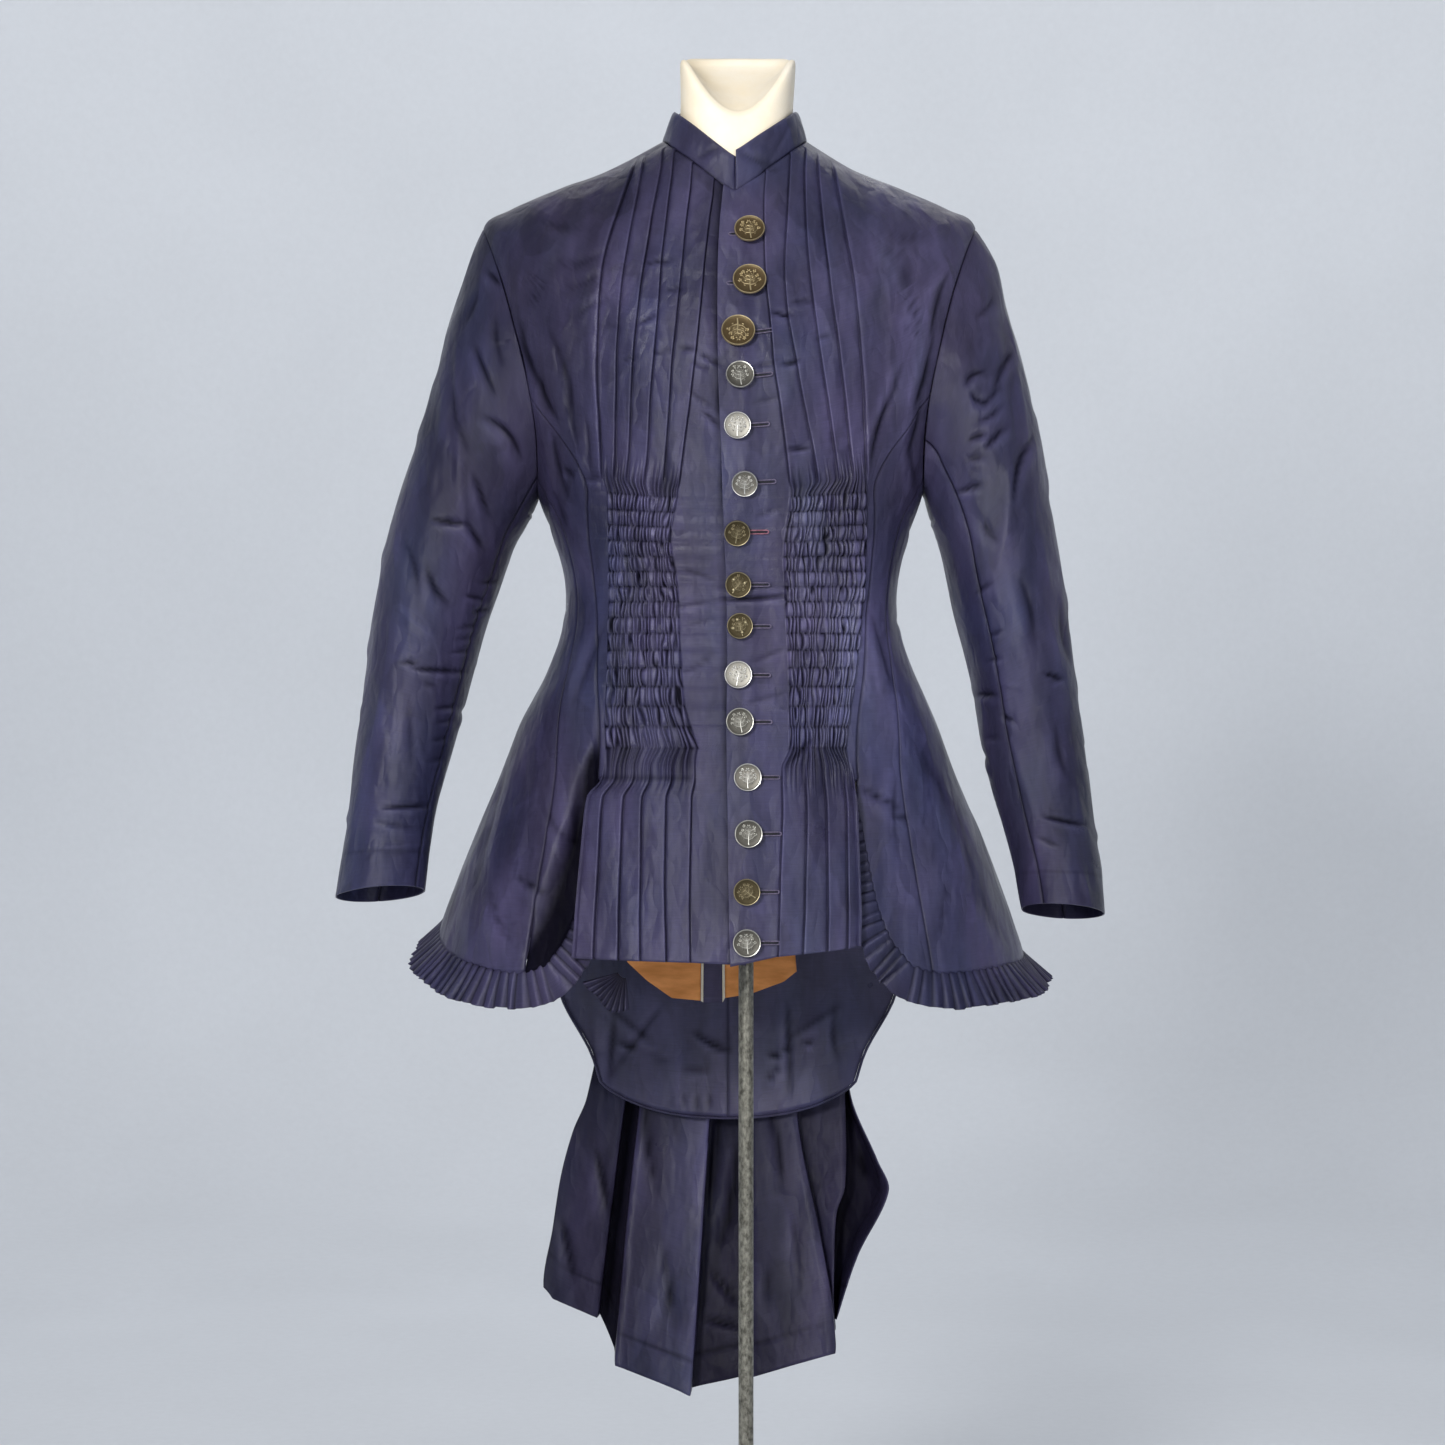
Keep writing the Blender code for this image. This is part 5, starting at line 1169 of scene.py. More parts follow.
collarTop = np.array([1.382, -0.048, 0.05, 0.003, 1.426, 0.052, 1.446, -0.0085])
collar = {
    "ends": 0.12, "leftRise": 0.005, "fullness": 0.001, "columns": 170,
    "creases": [  # turn over 1000 and height of each end, width and depth
        (0.03, 0.0, 0.0, 1.0, 0.004, 0.0014), (0.33, 0.2, 0.345, 1.0, 0.004, 0.0012),
        (0.024, 0.1, 0.055, 0.9, 0.0045, 0.0012),
    ],
}


def ringPoint(ring, angle, power=2.0):
    turn = np.radians(angle)
    full = fullness(turn)
    ahead = np.cos(turn)
    yEnd, zEnd = np.where(ahead > 0, ring[1], ring[5]), np.where(ahead > 0, ring[0], ring[6])
    share = np.where(ahead > 0, 1 - np.abs(np.sin(turn)) ** power, ahead**2)
    return np.stack([
        ring[7] + ring[2] * np.sin(turn) * full,
        ring[3] + (yEnd - ring[3]) * np.abs(ahead) * full,
        ring[4] + (zEnd - ring[4]) * share,
    ], -1)


def makeCollar():
    angle = np.linspace(collar["ends"], 360 - collar["ends"], collar["columns"])[None, :]
    height = np.concatenate([[0, 0.02, 0.05], np.linspace(0.1, 0.9, 11), [0.95, 0.98, 1]])[:, None]
    power = 2 - body["neckSpread"]
    low, high = ringPoint(np.array(bodyRings[0]), angle, power), ringPoint(collarTop, angle, power)
    points = low + (high - low) * height[..., None]
    points[..., 2] += -0.0002 * (1 - height) + collar["leftRise"] * height * bell(angle, 42)
    outwards = np.stack([np.sin(np.radians(angle)), -np.cos(np.radians(angle)), 0 * angle], -1)
    lie = 0.001 * softNoise(points, 38, 8) + 0.0005 * softNoise(points, 95, 9)
    lie = lie + collar["fullness"] * (1 - 2 * np.abs(height - 0.5)) ** 0.5
    lie = lie - 0.001 * bell(height, 0.05) - 0.0006 * bell(height - 1, 0.04)
    lie = lie + 0.0009 * bell(angle, 8)
    pressed, tone = creaseOut(collar["creases"], angle / 1000, height + 0 * angle)
    points = points + outwards * (lie + pressed)[..., None]
    # painted shade along the sewn lower edge, a painted highlight along the top edge
    seam = 1 - 0.62 * bell(height, 0.05) + 0.22 * bell(height - 1, 0.06)
    dark = (seam + 0 * angle) * np.clip(1 + tone, 0.3, 1.3)
    points, dark = points[::-1], dark[::-1]
    return clothPiece("collar_silk", points, silk, (-0.0085, 0.0, 1.42), arcLengths(points), dark, 0.0011)


pieces["collar"] = makeCollar()


# Sleeves

sleeves = {
    "right": {
        # light: painted light and shade on this sleeve, by place down the arm
        "sign": -1, "frontSeam": 150, "light": [(0, 0.64), (5, 0.7), (8, 1.0), (13, 1.0)],
        "stations": [  # xOuter, zOuter, xInner, zInner, halfDepth, y, in tenths of a millimetre
            (-2100, 13320, -1660, 11200, 600, -60), (-2176, 13144, -1668, 11160, 605, -50),
            (-2272, 12840, -1690, 11105, 605, -40), (-2376, 12520, -1725, 11030, 600, -20),
            (-2480, 12136, -1780, 10930, 590, 0), (-2608, 11720, -1864, 10776, 575, 20),
            (-2744, 11288, -1976, 10440, 560, 30), (-2888, 10760, -2088, 10104, 545, 30),
            (-2980, 10234, -2177, 9797, 530, 0), (-3041, 9723, -2249, 9497, 500, -80),
            (-3084, 9242, -2335, 9124, 465, -200), (-3113, 8810, -2421, 8771, 435, -330),
            (-3152, 8420, -2477, 8420, 415, -450), (-3206, 8012, -2512, 8073, 400, -580),
        ],
        # creases on the side that the camera sees, written as on the body
        "shown": [
            (-2045, 12934, -1920, 12801, 32, 30), (-2131, 12332, -1959, 11941, 36, 30, 10),
            (-2040, 11761, -1756, 11441, 42, 40, -50), (-2131, 11315, -2006, 10987, 34, 30),
            (-2460, 10979, -2163, 10932, 30, 40, 10), (-2175, 10936, -2061, 10745, 32, 34),
            (-2272, 12450, -2202, 10807, 34, -24, 20), (-2704, 9852, -2571, 9844, 22, 30),
            (-2626, 9805, -2236, 9782, 24, 42), (-2204, 10382, -2064, 10351, 22, 26),
            (-2516, 9688, -2423, 9665, 22, 18), (-2827, 8725, -2478, 8733, 22, 34),
            (-2746, 10334, -2389, 10022, 50, -24, 30), (-2507, 10606, -2327, 10302, 60, 30, 30),
            (-2660, 9960, -2560, 9890, 30, -20), (-2873, 8408, -2493, 8431, 26, -18),
            (-2280, 10120, -2130, 10150, 18, 18), (-2290, 10030, -2170, 10060, 18, 16),
            (-2330, 9930, -2190, 9950, 18, 18), (-2440, 9490, -2290, 9510, 20, 24),
            (-2430, 9380, -2310, 9400, 18, 18), (-2460, 9240, -2340, 9260, 18, 18),
            (-2480, 9080, -2380, 9095, 18, 16), (-2860, 8620, -2560, 8560, 30, 16),
            (-2300, 12000, -2180, 11500, 60, 22, 30), (-2500, 11500, -2420, 11080, 50, -16),
            (-2680, 10800, -2560, 10300, 60, 22, -30), (-2860, 9700, -2800, 9100, 60, -18, 20),
            (-2640, 9600, -2600, 9050, 60, 18), (-1960, 12550, -1900, 12150, 50, 20, 20),
            (-2100, 12750, -2230, 12500, 40, 18), (-2960, 8380, -2900, 8420, 20, -14),
            (-2160, 10240, -1990, 10300, 20, 24), (-2100, 10480, -1950, 10500, 20, 20),
        ],
        # turn and place down the arm of each end on the hidden sides, width and depth
        "creases": [
            (-50, 5.0, 20, 5.4, 0.0065, 0.0026), (-40, 7.2, 30, 7.6, 0.006, 0.0034),
            (-50, 8.4, 20, 8.8, 0.0055, 0.0034), (-40, 9.4, 30, 9.9, 0.005, 0.003),
            (-30, 11.4, 35, 11.7, 0.0045, 0.0026), (-20, 1.4, -10, 3.4, 0.0055, 0.002),
            (200, 4.0, 260, 4.6, 0.006, 0.0026), (215, 6.4, 290, 6.9, 0.006, 0.003),
            (190, 8.0, 255, 7.5, 0.0055, 0.003), (260, 8.9, 330, 9.4, 0.0055, 0.0028),
            (205, 10.2, 270, 10.6, 0.005, 0.0026), (280, 2.2, 300, 4.2, 0.006, 0.0022),
        ],
    },
    "left": {
        # light: painted light and shade on this sleeve, by place down the arm
        "sign": 1, "frontSeam": 125, "light": [(0, 0.95), (7, 1.0), (9.5, 0.8), (13, 0.76)],
        "stations": [
            (1830, 13320, 1410, 11200, 600, -60), (2000, 13030, 1428, 11160, 605, -50),
            (2080, 12680, 1448, 11080, 605, -40), (2184, 12320, 1478, 10984, 600, -20),
            (2288, 11944, 1522, 10856, 590, 0), (2376, 11560, 1575, 10680, 575, 20),
            (2448, 11040, 1656, 10296, 560, 30), (2528, 10560, 1736, 9976, 545, 30),
            (2591, 10036, 1812, 9638, 530, 0), (2661, 9480, 1877, 9226, 500, -80),
            (2714, 8966, 1964, 8832, 465, -200), (2743, 8614, 2028, 8551, 435, -330),
            (2783, 8240, 2093, 8255, 415, -450), (2785, 7880, 2145, 7932, 400, -580),
        ],
        "shown": [
            (1709, 12019, 1865, 12121, 36, 36, -30), (1755, 11941, 1880, 11889, 34, 42, 30),
            (1732, 11581, 1857, 11636, 26, 38), (1865, 11527, 2029, 11691, 28, 42),
            (1654, 11182, 1826, 11237, 28, 34), (2084, 11120, 2271, 11644, 36, 38, -40),
            (1951, 12011, 2115, 12309, 30, 34, -20), (1826, 11824, 1998, 12019, 30, 24),
            (1800, 11720, 1990, 11860, 26, 24, 20), (1720, 11430, 1860, 11460, 26, 20),
            (2328, 9758, 2476, 9743, 20, 34), (2367, 9704, 2484, 9735, 22, 34),
            (2296, 8655, 2645, 8585, 22, 36), (1805, 9602, 1961, 9602, 28, 40),
            (1975, 10651, 2069, 11509, 60, -26, 30), (2107, 12293, 2217, 11589, 40, -24),
            (1992, 9688, 2148, 9680, 24, -22), (1999, 9438, 2093, 9391, 20, 28),
            (1905, 10060, 2000, 10110, 20, 24), (1900, 9860, 1990, 9900, 20, 22),
            (2583, 8239, 2637, 7984, 30, -20), (1800, 12550, 1960, 12750, 40, 20, 20),
            (2330, 10900, 2420, 10400, 70, -22, 30), (2150, 10500, 2250, 10000, 70, 24, -30),
            (2480, 10300, 2560, 9850, 50, 20, 20), (2100, 9200, 2230, 8700, 50, -18),
            (2420, 9400, 2520, 8900, 70, 22, 30), (2250, 8500, 2420, 8420, 30, 18),
            (1830, 11000, 1960, 10800, 40, 24, 20), (1800, 10400, 1920, 10480, 30, 20),
            (1905, 12400, 1850, 12200, 50, -20), (2080, 12560, 2160, 12160, 40, -18),
            (2560, 8950, 2620, 8500, 40, -16), (1880, 9250, 1985, 9270, 22, 18),
        ],
        "creases": [
            (-50, 5.4, 20, 5.8, 0.006, 0.0026), (-45, 7.4, 25, 7.9, 0.0055, 0.0036),
            (-50, 8.6, 25, 8.9, 0.0055, 0.003), (-40, 9.6, 25, 9.9, 0.005, 0.0034),
            (-30, 11.2, 30, 11.6, 0.0045, 0.0026), (-25, 1.8, -10, 3.6, 0.0055, 0.002),
            (190, 4.2, 255, 4.8, 0.006, 0.0026), (205, 6.6, 285, 7.1, 0.006, 0.003),
            (185, 8.2, 250, 7.8, 0.0055, 0.003), (255, 9.1, 325, 9.6, 0.0055, 0.0028),
            (210, 10.4, 275, 10.7, 0.005, 0.0026), (285, 2.4, 305, 4.4, 0.006, 0.0022),
        ],
    },
    "elbowSeam": 280, "degree": 0.00092, "station": 0.041, "foldBow": 0.004,
    "cuffStitch": 12.2, "cuffTilt": 0.2, "tiltFrom": 10.8,
    "blend": [(0, 1.0), (1, 0.72), (2, 0.46), (3, 0.24), (4, 0.08), (5, 0.0)],
}


def sleeveOval(station, turn):
    angle = np.radians(turn)
    outer = np.stack([station[..., 0], station[..., 5], station[..., 1]], -1)
    inner = np.stack([station[..., 2], station[..., 5], station[..., 3]], -1)
    middle, reach = (outer + inner) / 2, (outer - inner) / 2
    sway = np.stack([0 * angle, -station[..., 4] * np.sin(angle), 0 * angle], -1)
    return middle + reach * np.cos(angle)[..., None] + sway


def armholeRim(sign, turn):
    inset = 2 * seamHalfGap
    middle = (body["shoulderTip"] + body["underarm"]) / 2
    level = middle + (armholeLevel(turn) - middle) * (1 - inset / 0.1)
    angle = 90 + (armholeAngle(turn) - 90) * (1 - inset / 0.09)
    return surfacePoint(sign * angle, level)


def sleevePoint(sleeve, turn, down):
    turn, down = np.broadcast_arrays(np.asarray(turn, float), np.asarray(down, float))
    stations = metres(sleeve["stations"])
    station = curveThrough(stations, down)
    share = np.interp(down, *zip(*sleeves["blend"]))[..., None]
    top = sleeveOval(np.broadcast_to(np.array(stations[0]), station.shape), turn)
    point = sleeveOval(station, turn) + (armholeRim(sleeve["sign"], turn) - top) * share
    # the cuff's rim is lower at the back, so that the opening shows
    tilt = sleeves["cuffTilt"] * smoothStep((down - sleeves["tiltFrom"]) / (13 - sleeves["tiltFrom"]))
    point[..., 2] += tilt * station[..., 4] * np.sin(np.radians(turn))
    return point


def unrolled(turn, down):
    # the sleeve laid flat: metres of cloth round and down the arm
    return np.mod(turn + 60, 360) * sleeves["degree"], down * sleeves["station"]


def makeSleevePiece(name, sleeve, first, last):
    across = panelColumns(66 if last - first > 180 else 50)
    turn = (first + (last - first) * across)[None, :]
    downs = np.concatenate([
        [0, 0.05, 0.12, 0.25], np.linspace(0.4, 5.4, 50),
        np.linspace(5.47, 12.7, 118), [12.8, 12.9, 12.96, 13.0],
    ])[:, None]
    flat = sleevePoint(sleeve, turn, downs)
    ahead = sleevePoint(sleeve, turn + 2, downs) - sleevePoint(sleeve, turn - 2, downs)
    below, above = np.minimum(downs + 0.1, 13), np.maximum(downs - 0.1, 0)
    alongArm = sleevePoint(sleeve, turn, below) - sleevePoint(sleeve, turn, above)
    normals = unit(np.cross(ahead, alongArm))
    station = curveThrough(metres(sleeve["stations"]), downs + 0 * turn)
    centre = (sleeveOval(station, 0 * turn + 0 * downs) + sleeveOval(station, 180 + 0 * turn + 0 * downs)) / 2
    away = np.sign(np.sum(normals * (flat - centre), -1, keepdims=True))
    normals = normals * away
    # folds on the hidden sides are placed by turn and by place down the arm, as metres of cloth
    folds = []
    for i, (turn0, down0, turn1, down1, width, depth) in enumerate(sleeve["creases"]):
        bow = sleeves["foldBow"] * (1 if i % 2 else -1)
        folds.append((*unrolled(turn0, down0), *unrolled(turn1, down1), width, depth, bow))
    wrinkles, tone = creaseOut(folds, *unrolled(turn, downs))
    shown, shownTone = creaseOut(metres(sleeve["shown"]), flat[..., 0], flat[..., 2])
    facing = smoothStep((-normals[..., 1] - 0.05) / 0.4)
    hidden = smoothStep((0.45 - facing) / 0.4)
    wrinkles, tone = wrinkles * hidden + shown * facing, tone * hidden + shownTone * facing
    dip, dark = seamDip(flat, 0.0009)
    top = smoothStep(downs / 0.5)
    shift = wrinkles * top + crumple(flat) * 1.2 * top - dip - 0.0012 * bell(downs, 0.06)
    points = flat + normals * np.clip(shift, -0.007, 0.006)[..., None]
    # painted shade at the armhole seam, in the creases and under the arm, darker along the cuff's stitching,
    # a painted highlight on the cuff's rim, and the painted light down the arm
    dark = dark * (1 - 0.6 * bell(downs, 0.07))
    dark = dark * (1 - 0.22 * bell(downs - sleeves["cuffStitch"], 0.02))
    dark = dark * (1 + 0.3 * bell(downs - 13, 0.03))
    underArm = smoothStep((np.mod(turn + 90, 360) - 260) / 30) * smoothStep((3.6 - downs) / 1.6)
    dark = dark * (1 - 0.6 * underArm) * np.clip(1 + tone, 0.25, 1.35)
    dark = dark * np.interp(downs, *zip(*sleeve["light"]))
    return clothPiece(name, points, silk, centre[70, 0], arcLengths(points), dark, 0.0009)


for wearer in ("right", "left"):
    sleeve = sleeves[wearer]
    seam, elbow = sleeve["frontSeam"], sleeves["elbowSeam"]
    for part, first, last in (("upper", elbow - 360, seam), ("under", seam, elbow)):
        name = f"sleeve_{part}_{wearer}"
        pieces[name] = makeSleevePiece(name + "_silk", sleeve, first, last)
print("collar and sleeves made")


# Frills on the skirt's edges

frill = {
    "depth": 0.027, "flare": 0.014, "height": 0.003, "pleats": 66, "perPleat": 6,
    "under": 0.002, "inside": 0.0008,
    "ventLength": 0.105, "ventDepth": 0.34, "shadow": 0.88,
}


def frillPath(sign):
    # places (angle, level) along the vent's edge and the hem, evenly spaced
    ventLevels = np.linspace(body["ventStart"], 16.98, 61)
    hemAngles = np.linspace(34.0, 143.0, 201)[1:]
    angle = np.concatenate([smoothAlong(body["vent"], ventLevels), hemAngles])
    level = np.concatenate([ventLevels, skirtHemLevel(sign, hemAngles)])
    points = surfacePoint(sign * angle, level)
    length = np.concatenate([[0], np.cumsum(np.linalg.norm(np.diff(points, axis=0), axis=1))])
    return length, angle, level


def makeFrill(name, sign):
    length, angles, levels = frillPath(sign)
    total = length[-1]

    def place(at):
        travelled = np.clip(at, 0, 1) * total
        return np.interp(travelled, length, angles), np.interp(travelled, length, levels)

    count = frill["pleats"]
    at = np.linspace(0, 1, count * frill["perPleat"] + 1)[None, :]
    rng = np.random.default_rng(5 + sign)
    pleat = at * count
    number = np.minimum(np.floor(pleat + 1e-9).astype(int), count - 1)
    part = pleat - number
    step = (0.26 + 0.12 * (rng.random(count) - 0.5))[number]
    rise = np.where(part < step, smoothStep(part / step), 1 - (part - step) / (1 - step))
    down = np.concatenate([[0, 0.04, 0.09], np.linspace(0.16, 0.92, 8), [0.97, 1.0]])[:, None]
    swing = np.interp(pleat, np.arange(count + 1), 0.9 * (rng.random(count + 1) - 0.5))
    moved = at + swing * down / count * np.sin(np.pi * at) ** 0.3
    angle, level = place(moved)
    before, after = place(moved - 0.006), place(moved + 0.006)
    here, normal = surfacePoint(sign * angle, level), surfaceNormal(sign * angle, level)
    tangent = surfacePoint(sign * after[0], after[1]) - surfacePoint(sign * before[0], before[1])
    away = unit(np.cross(tangent, normal)) * sign
    travelled = at * total
    onVent = 1 - smoothStep((travelled - frill["ventLength"] + 0.02) / 0.04)
    widening = frill["ventDepth"] + (1 - frill["ventDepth"]) * smoothStep((travelled - 0.02) / 0.11)
    depth = frill["depth"] * widening * (1 + 0.07 * (rng.random(count)[number] - 0.5))
    flare = frill["flare"] * smoothStep((travelled - 0.13) / 0.1)
    height = frill["height"] * (0.75 + 0.5 * rng.random(count)[number])
    raised = height * rise * (0.3 + 0.7 * down) + 0.0008 * np.sin(np.pi * down)
    wave = 0.0024 * np.sin(pleat * 0.6 + sign) * down
    start = -frill["under"] + (depth + frill["under"]) * down
    lift = flare * down**1.3 + raised + wave - frill["inside"] * (1 - smoothStep(down / 0.08))
    points = here + away * start[..., None] + normal * lift[..., None]
    # painted shade in each pleat's fold and along the sewn edge, a painted highlight on each crest, and the
    # wearer's right frill painted in shadow along the vent
    strong = (0.6 + 0.4 * rng.random(count))[number]
    dark = 1 - 0.78 * strong * bell(part, 0.16) - 0.3 * bell(down, 0.07)
    dark = dark + 0.3 * strong * bell(part - step, 0.14) - 0.2 * (1 - rise) * (part > step)
    if sign < 0:
        dark = dark * (1 - frill["shadow"] * onVent)
    dark = np.clip(dark, 0.06, 1.4) + 0 * down
    return clothPiece(name + "_silk", points, silk, (-0.013, 0.03, 0.9), arcLengths(points), dark)


frillEnd = {
    "x": -0.093, "z": 0.749, "y": -0.112, "from": 196, "to": 276, "pleats": 9,
    "inner": 0.006, "outer": 0.034, "height": 0.0022,
}


def makeFrillEnd(name):
    # the end of the wearer's right frill, turned in behind the front's hem like a small fan
    rng = np.random.default_rng(17)
    count = frillEnd["pleats"]
    at = np.linspace(0, 1, count * 6 + 1)[None, :]
    part = at * count - np.minimum(np.floor(at * count + 1e-9), count - 1)
    out = np.linspace(0, 1, 12)[:, None]
    turn = np.radians(frillEnd["from"] + (frillEnd["to"] - frillEnd["from"]) * at)
    reach = frillEnd["inner"] + (frillEnd["outer"] - frillEnd["inner"]) * out * (0.93 + 0.07 * np.cos(at * 9))
    rise = np.where(part < 0.3, smoothStep(part / 0.3), 1 - (part - 0.3) / 0.7)
    x = frillEnd["x"] + reach * np.cos(turn)
    z = frillEnd["z"] + reach * np.sin(turn)
    y = frillEnd["y"] + 0.004 * out - frillEnd["height"] * rise * out - 0.1 * (x - frillEnd["x"])
    # painted shade in each pleat and towards the end hidden behind the hem, a painted highlight on each crest
    strong = (0.5 + 0.5 * rng.random(count))[np.minimum((at * count).astype(int), count - 1)]
    dark = 0.62 * (1 - 0.9 * strong * bell(part, 0.18)) + 0.55 * strong * bell(part - 0.3, 0.1) * out
    points = np.stack([x, y, z], -1)
    dark = dark * (0.35 + 0.65 * out)
    return clothPiece(name, points, silk, (-0.1, 0.1, 0.74), arcLengths(points), dark)


for sign, wearer in ((-1, "right"), (1, "left")):
    pieces[f"frill_{wearer}"] = makeFrill(f"frill_{wearer}", sign)
pieces["frill_end"] = makeFrillEnd("frill_end_silk")
print("frills made")


# Tail

tail = {
    "rows": [  # z, xRight, xLeft
        (0.925, -0.08, 0.052), (0.88, -0.098, 0.064), (0.8, -0.112, 0.08), (0.7, -0.121, 0.088),
    ],
    "clear": [(-0.925, 0.0008), (-0.88, 0.007), (-0.8, 0.013), (-0.7, 0.015), (-0.608, 0.016)],
    # each line down the tail: z and x of its points in tenths of a millimetre, then in metres how far back
    # it lies and its hem, then its painted shade and the painted highlight on its edge
    "folds": {
        "rightEdge": (
            [(6060, -1390), (5770, -1510), (5390, -1613), (4900, -1690), (4450, -1765), (3900, -1700)],
            0.006, 0.441, 0.4,
        ),
        "rightStitch": ([(5900, -1270), (5010, -1540), (4230, -1700)], 0.002, 0.431, 0.46),
        "firstEdge": ([(5900, -1080), (5010, -1196), (4120, -1307)], 0.0, 0.412, 0.6, 1.0),
        "firstGapStart": ([(5900, -1070), (5010, -1184), (4120, -1290)], 0.03, 0.41, 0.2),
        "firstGapEnd": ([(5900, -934), (5010, -1034), (4015, -1125), (3700, -1150)], 0.028, 0.375, 0.16),
        "secondEdge": ([(5900, -924), (5010, -1022), (4015, -1111), (3685, -1138)], 0.001, 0.3685, 0.62, 1.0),
        "bandLine": ([(5900, -436), (3417, -585)], -0.001, 0.345, 0.88),
        "middleEdge": ([(5900, -317), (5010, -374), (4006, -442), (3408, -487)], -0.002, 0.3403, 1.06, 1.0),
        "middleGapStart": ([(5900, -307), (5010, -362), (4006, -428), (3408, -472)], 0.02, 0.343, 0.3),
        "middleGapEnd": ([(5900, 65), (3560, 45)], 0.018, 0.355, 0.3),
        "thirdEdge": ([(5900, 75), (3560, 57)], 0.0, 0.356, 0.32, 1.0),
        "leftEdge": ([(5900, 454), (4810, 664), (4247, 762), (3880, 798)], -0.003, 0.38, 0.8, 1.0),
        "leftStepStart": ([(5900, 466), (4810, 676), (4247, 772), (3880, 804)], 0.012, 0.386, 0.35),
        "leftStepEnd": ([(6030, 883), (5260, 883), (5010, 807), (4400, 785)], 0.008, 0.396, 0.72),
        "leftGapStart": ([(6030, 888), (5260, 892), (5010, 822), (4400, 792)], 0.034, 0.4, 0.14),
        "leftGapEnd": (
            [(6080, 912), (5500, 1120), (5230, 1190), (4640, 930), (4050, 798)],
            0.032, 0.404, 0.22,
        ),
        "outline": (
            [(6080, 940), (5500, 1177), (5230, 1275), (4640, 1003), (4050, 812)],
            0.012, 0.407, 0.6, 1.0,
        ),
    },
    "leavesBody": 0.6, "hemBand": 0.03, "top": 0.925, "rowCount": 160,
    "creases": [
        (-1300, 5600, -1180, 5000, 50, 40), (-1600, 5000, -1500, 4500, 50, 30),
        (-860, 6100, -760, 5200, 60, 30, 40), (-700, 4700, -620, 4000, 50, 26),
        (-200, 5900, -280, 5000, 60, 40, 30), (-60, 5600, -200, 4700, 60, 40, -30),
        (-300, 4500, -60, 4180, 40, 30), (-360, 4050, -40, 3980, 35, 30), (220, 6100, 380, 5200, 50, 30),
        (450, 5000, 580, 4300, 50, 26), (1000, 5600, 1120, 5300, 40, 30), (160, 4700, 300, 4000, 50, 20),
        (-1000, 6400, -600, 6220, 40, 20), (100, 6400, 400, 6280, 40, 20),
    ],
}


def levelAtBack(z):
    heights = fineRings[:, 6]
    return np.interp(-z, -heights, fineLevels)


def backOfBody(x, z):
    level = levelAtBack(z)
    away = x - ringAt(level)[..., 7]
    angle = np.copysign(180, away) - angleOf(away, level)
    return surfacePoint(angle, level)


def makeTail():
    folds = [(metres(places), *rest) for places, *rest in tail["folds"].values()]
    knots = [0.0]
    for first, second in zip(folds, folds[1:]):
        knots.append(knots[-1] + (0.22 if abs(first[0][0][1] - second[0][0][1]) < 0.0025 else 1.0))
    spans = [np.linspace(a, b, 3 if b - a < 0.5 else 9, endpoint=False) for a, b in zip(knots, knots[1:])]
    across = np.concatenate(spans + [[knots[-1]]])[None, :]
    share = np.linspace(0, 1, tail["rowCount"])[:, None] ** 0.92
    hem = np.interp(across, knots, [fold[2] for fold in folds])
    z = tail["top"] + (hem - tail["top"]) * share
    low, high = folds[0][0][0], folds[-1][0][0]
    lines = []
    for places, *_ in folds:
        part = (places[0][1] - low[1]) / (high[1] - low[1])
        table = [(-height, right + (left - right) * part) for height, right, left in tail["rows"]]
        lines.append(table + [(-height, x) for height, x in places])
    x = np.empty(z.shape)
    for row in range(len(z)):
        found = np.empty(z.shape[1])
        for column in range(z.shape[1]):
            k = min(int(np.searchsorted(knots, across[0, column], side="right")) - 1, len(folds) - 2)
            t = (across[0, column] - knots[k]) / (knots[k + 1] - knots[k])
            a, b = smoothAlong(lines[k], -z[row, column]), smoothAlong(lines[k + 1], -z[row, column])
            found[column] = a + (b - a) * t
        x[row] = np.maximum.accumulate(found + 1e-5 * np.arange(len(found)))
    depth = np.interp(across, knots, [fold[1] for fold in folds])
    opened = smoothStep((tail["top"] - z) / 0.16)
    held = backOfBody(x, np.maximum(z, tail["leavesBody"]))[..., 1]
    y = held + smoothAlong(tail["clear"], -z) + depth * opened
    flat = np.stack([x, y, z], -1)
    pressed, tone = creaseOut(metres(tail["creases"]), x, z, 0.0026)
    stitch = bell(z - hem - tail["hemBand"], 0.0014)
    rolled = bell(z - hem, 0.002)
    lie = 2.0 * crumple(flat * (1, 1, 0.8) + 0.3) + pressed - 0.001 * stitch
    lie = np.clip(lie, -0.006, 0.006) * opened
    points = flat + np.stack([0 * lie, lie, 0 * lie], -1)
    # painted shade of each fold and gap, darker along the hem's stitching, painted highlights on the rolled
    # hem and on each fold's edge
    folded = np.interp(across, knots, [fold[3] for fold in folds])
    folded = 1 + (folded - 1) * smoothStep((tail["top"] - z) / 0.1)
    edge = np.zeros(across.shape)
    for knot, fold in zip(knots, folds):
        edge += (fold[4] if len(fold) > 4 else 0.0) * bell(across - knot, 0.1)
    dark = folded * np.clip(1 + tone, 0.3, 1.3) * (1 - 0.45 * stitch) * (1 + 0.25 * rolled + 0.3 * edge)
    dark = np.clip(dark, 0.04, 1.5)
    return clothPiece("tail_silk", points, silk, (-0.02, -0.2, 0.6), arcLengths(points), dark, 0.001)


pieces["tail"] = makeTail()


# Lining, its dark strip and the cream bone tapes

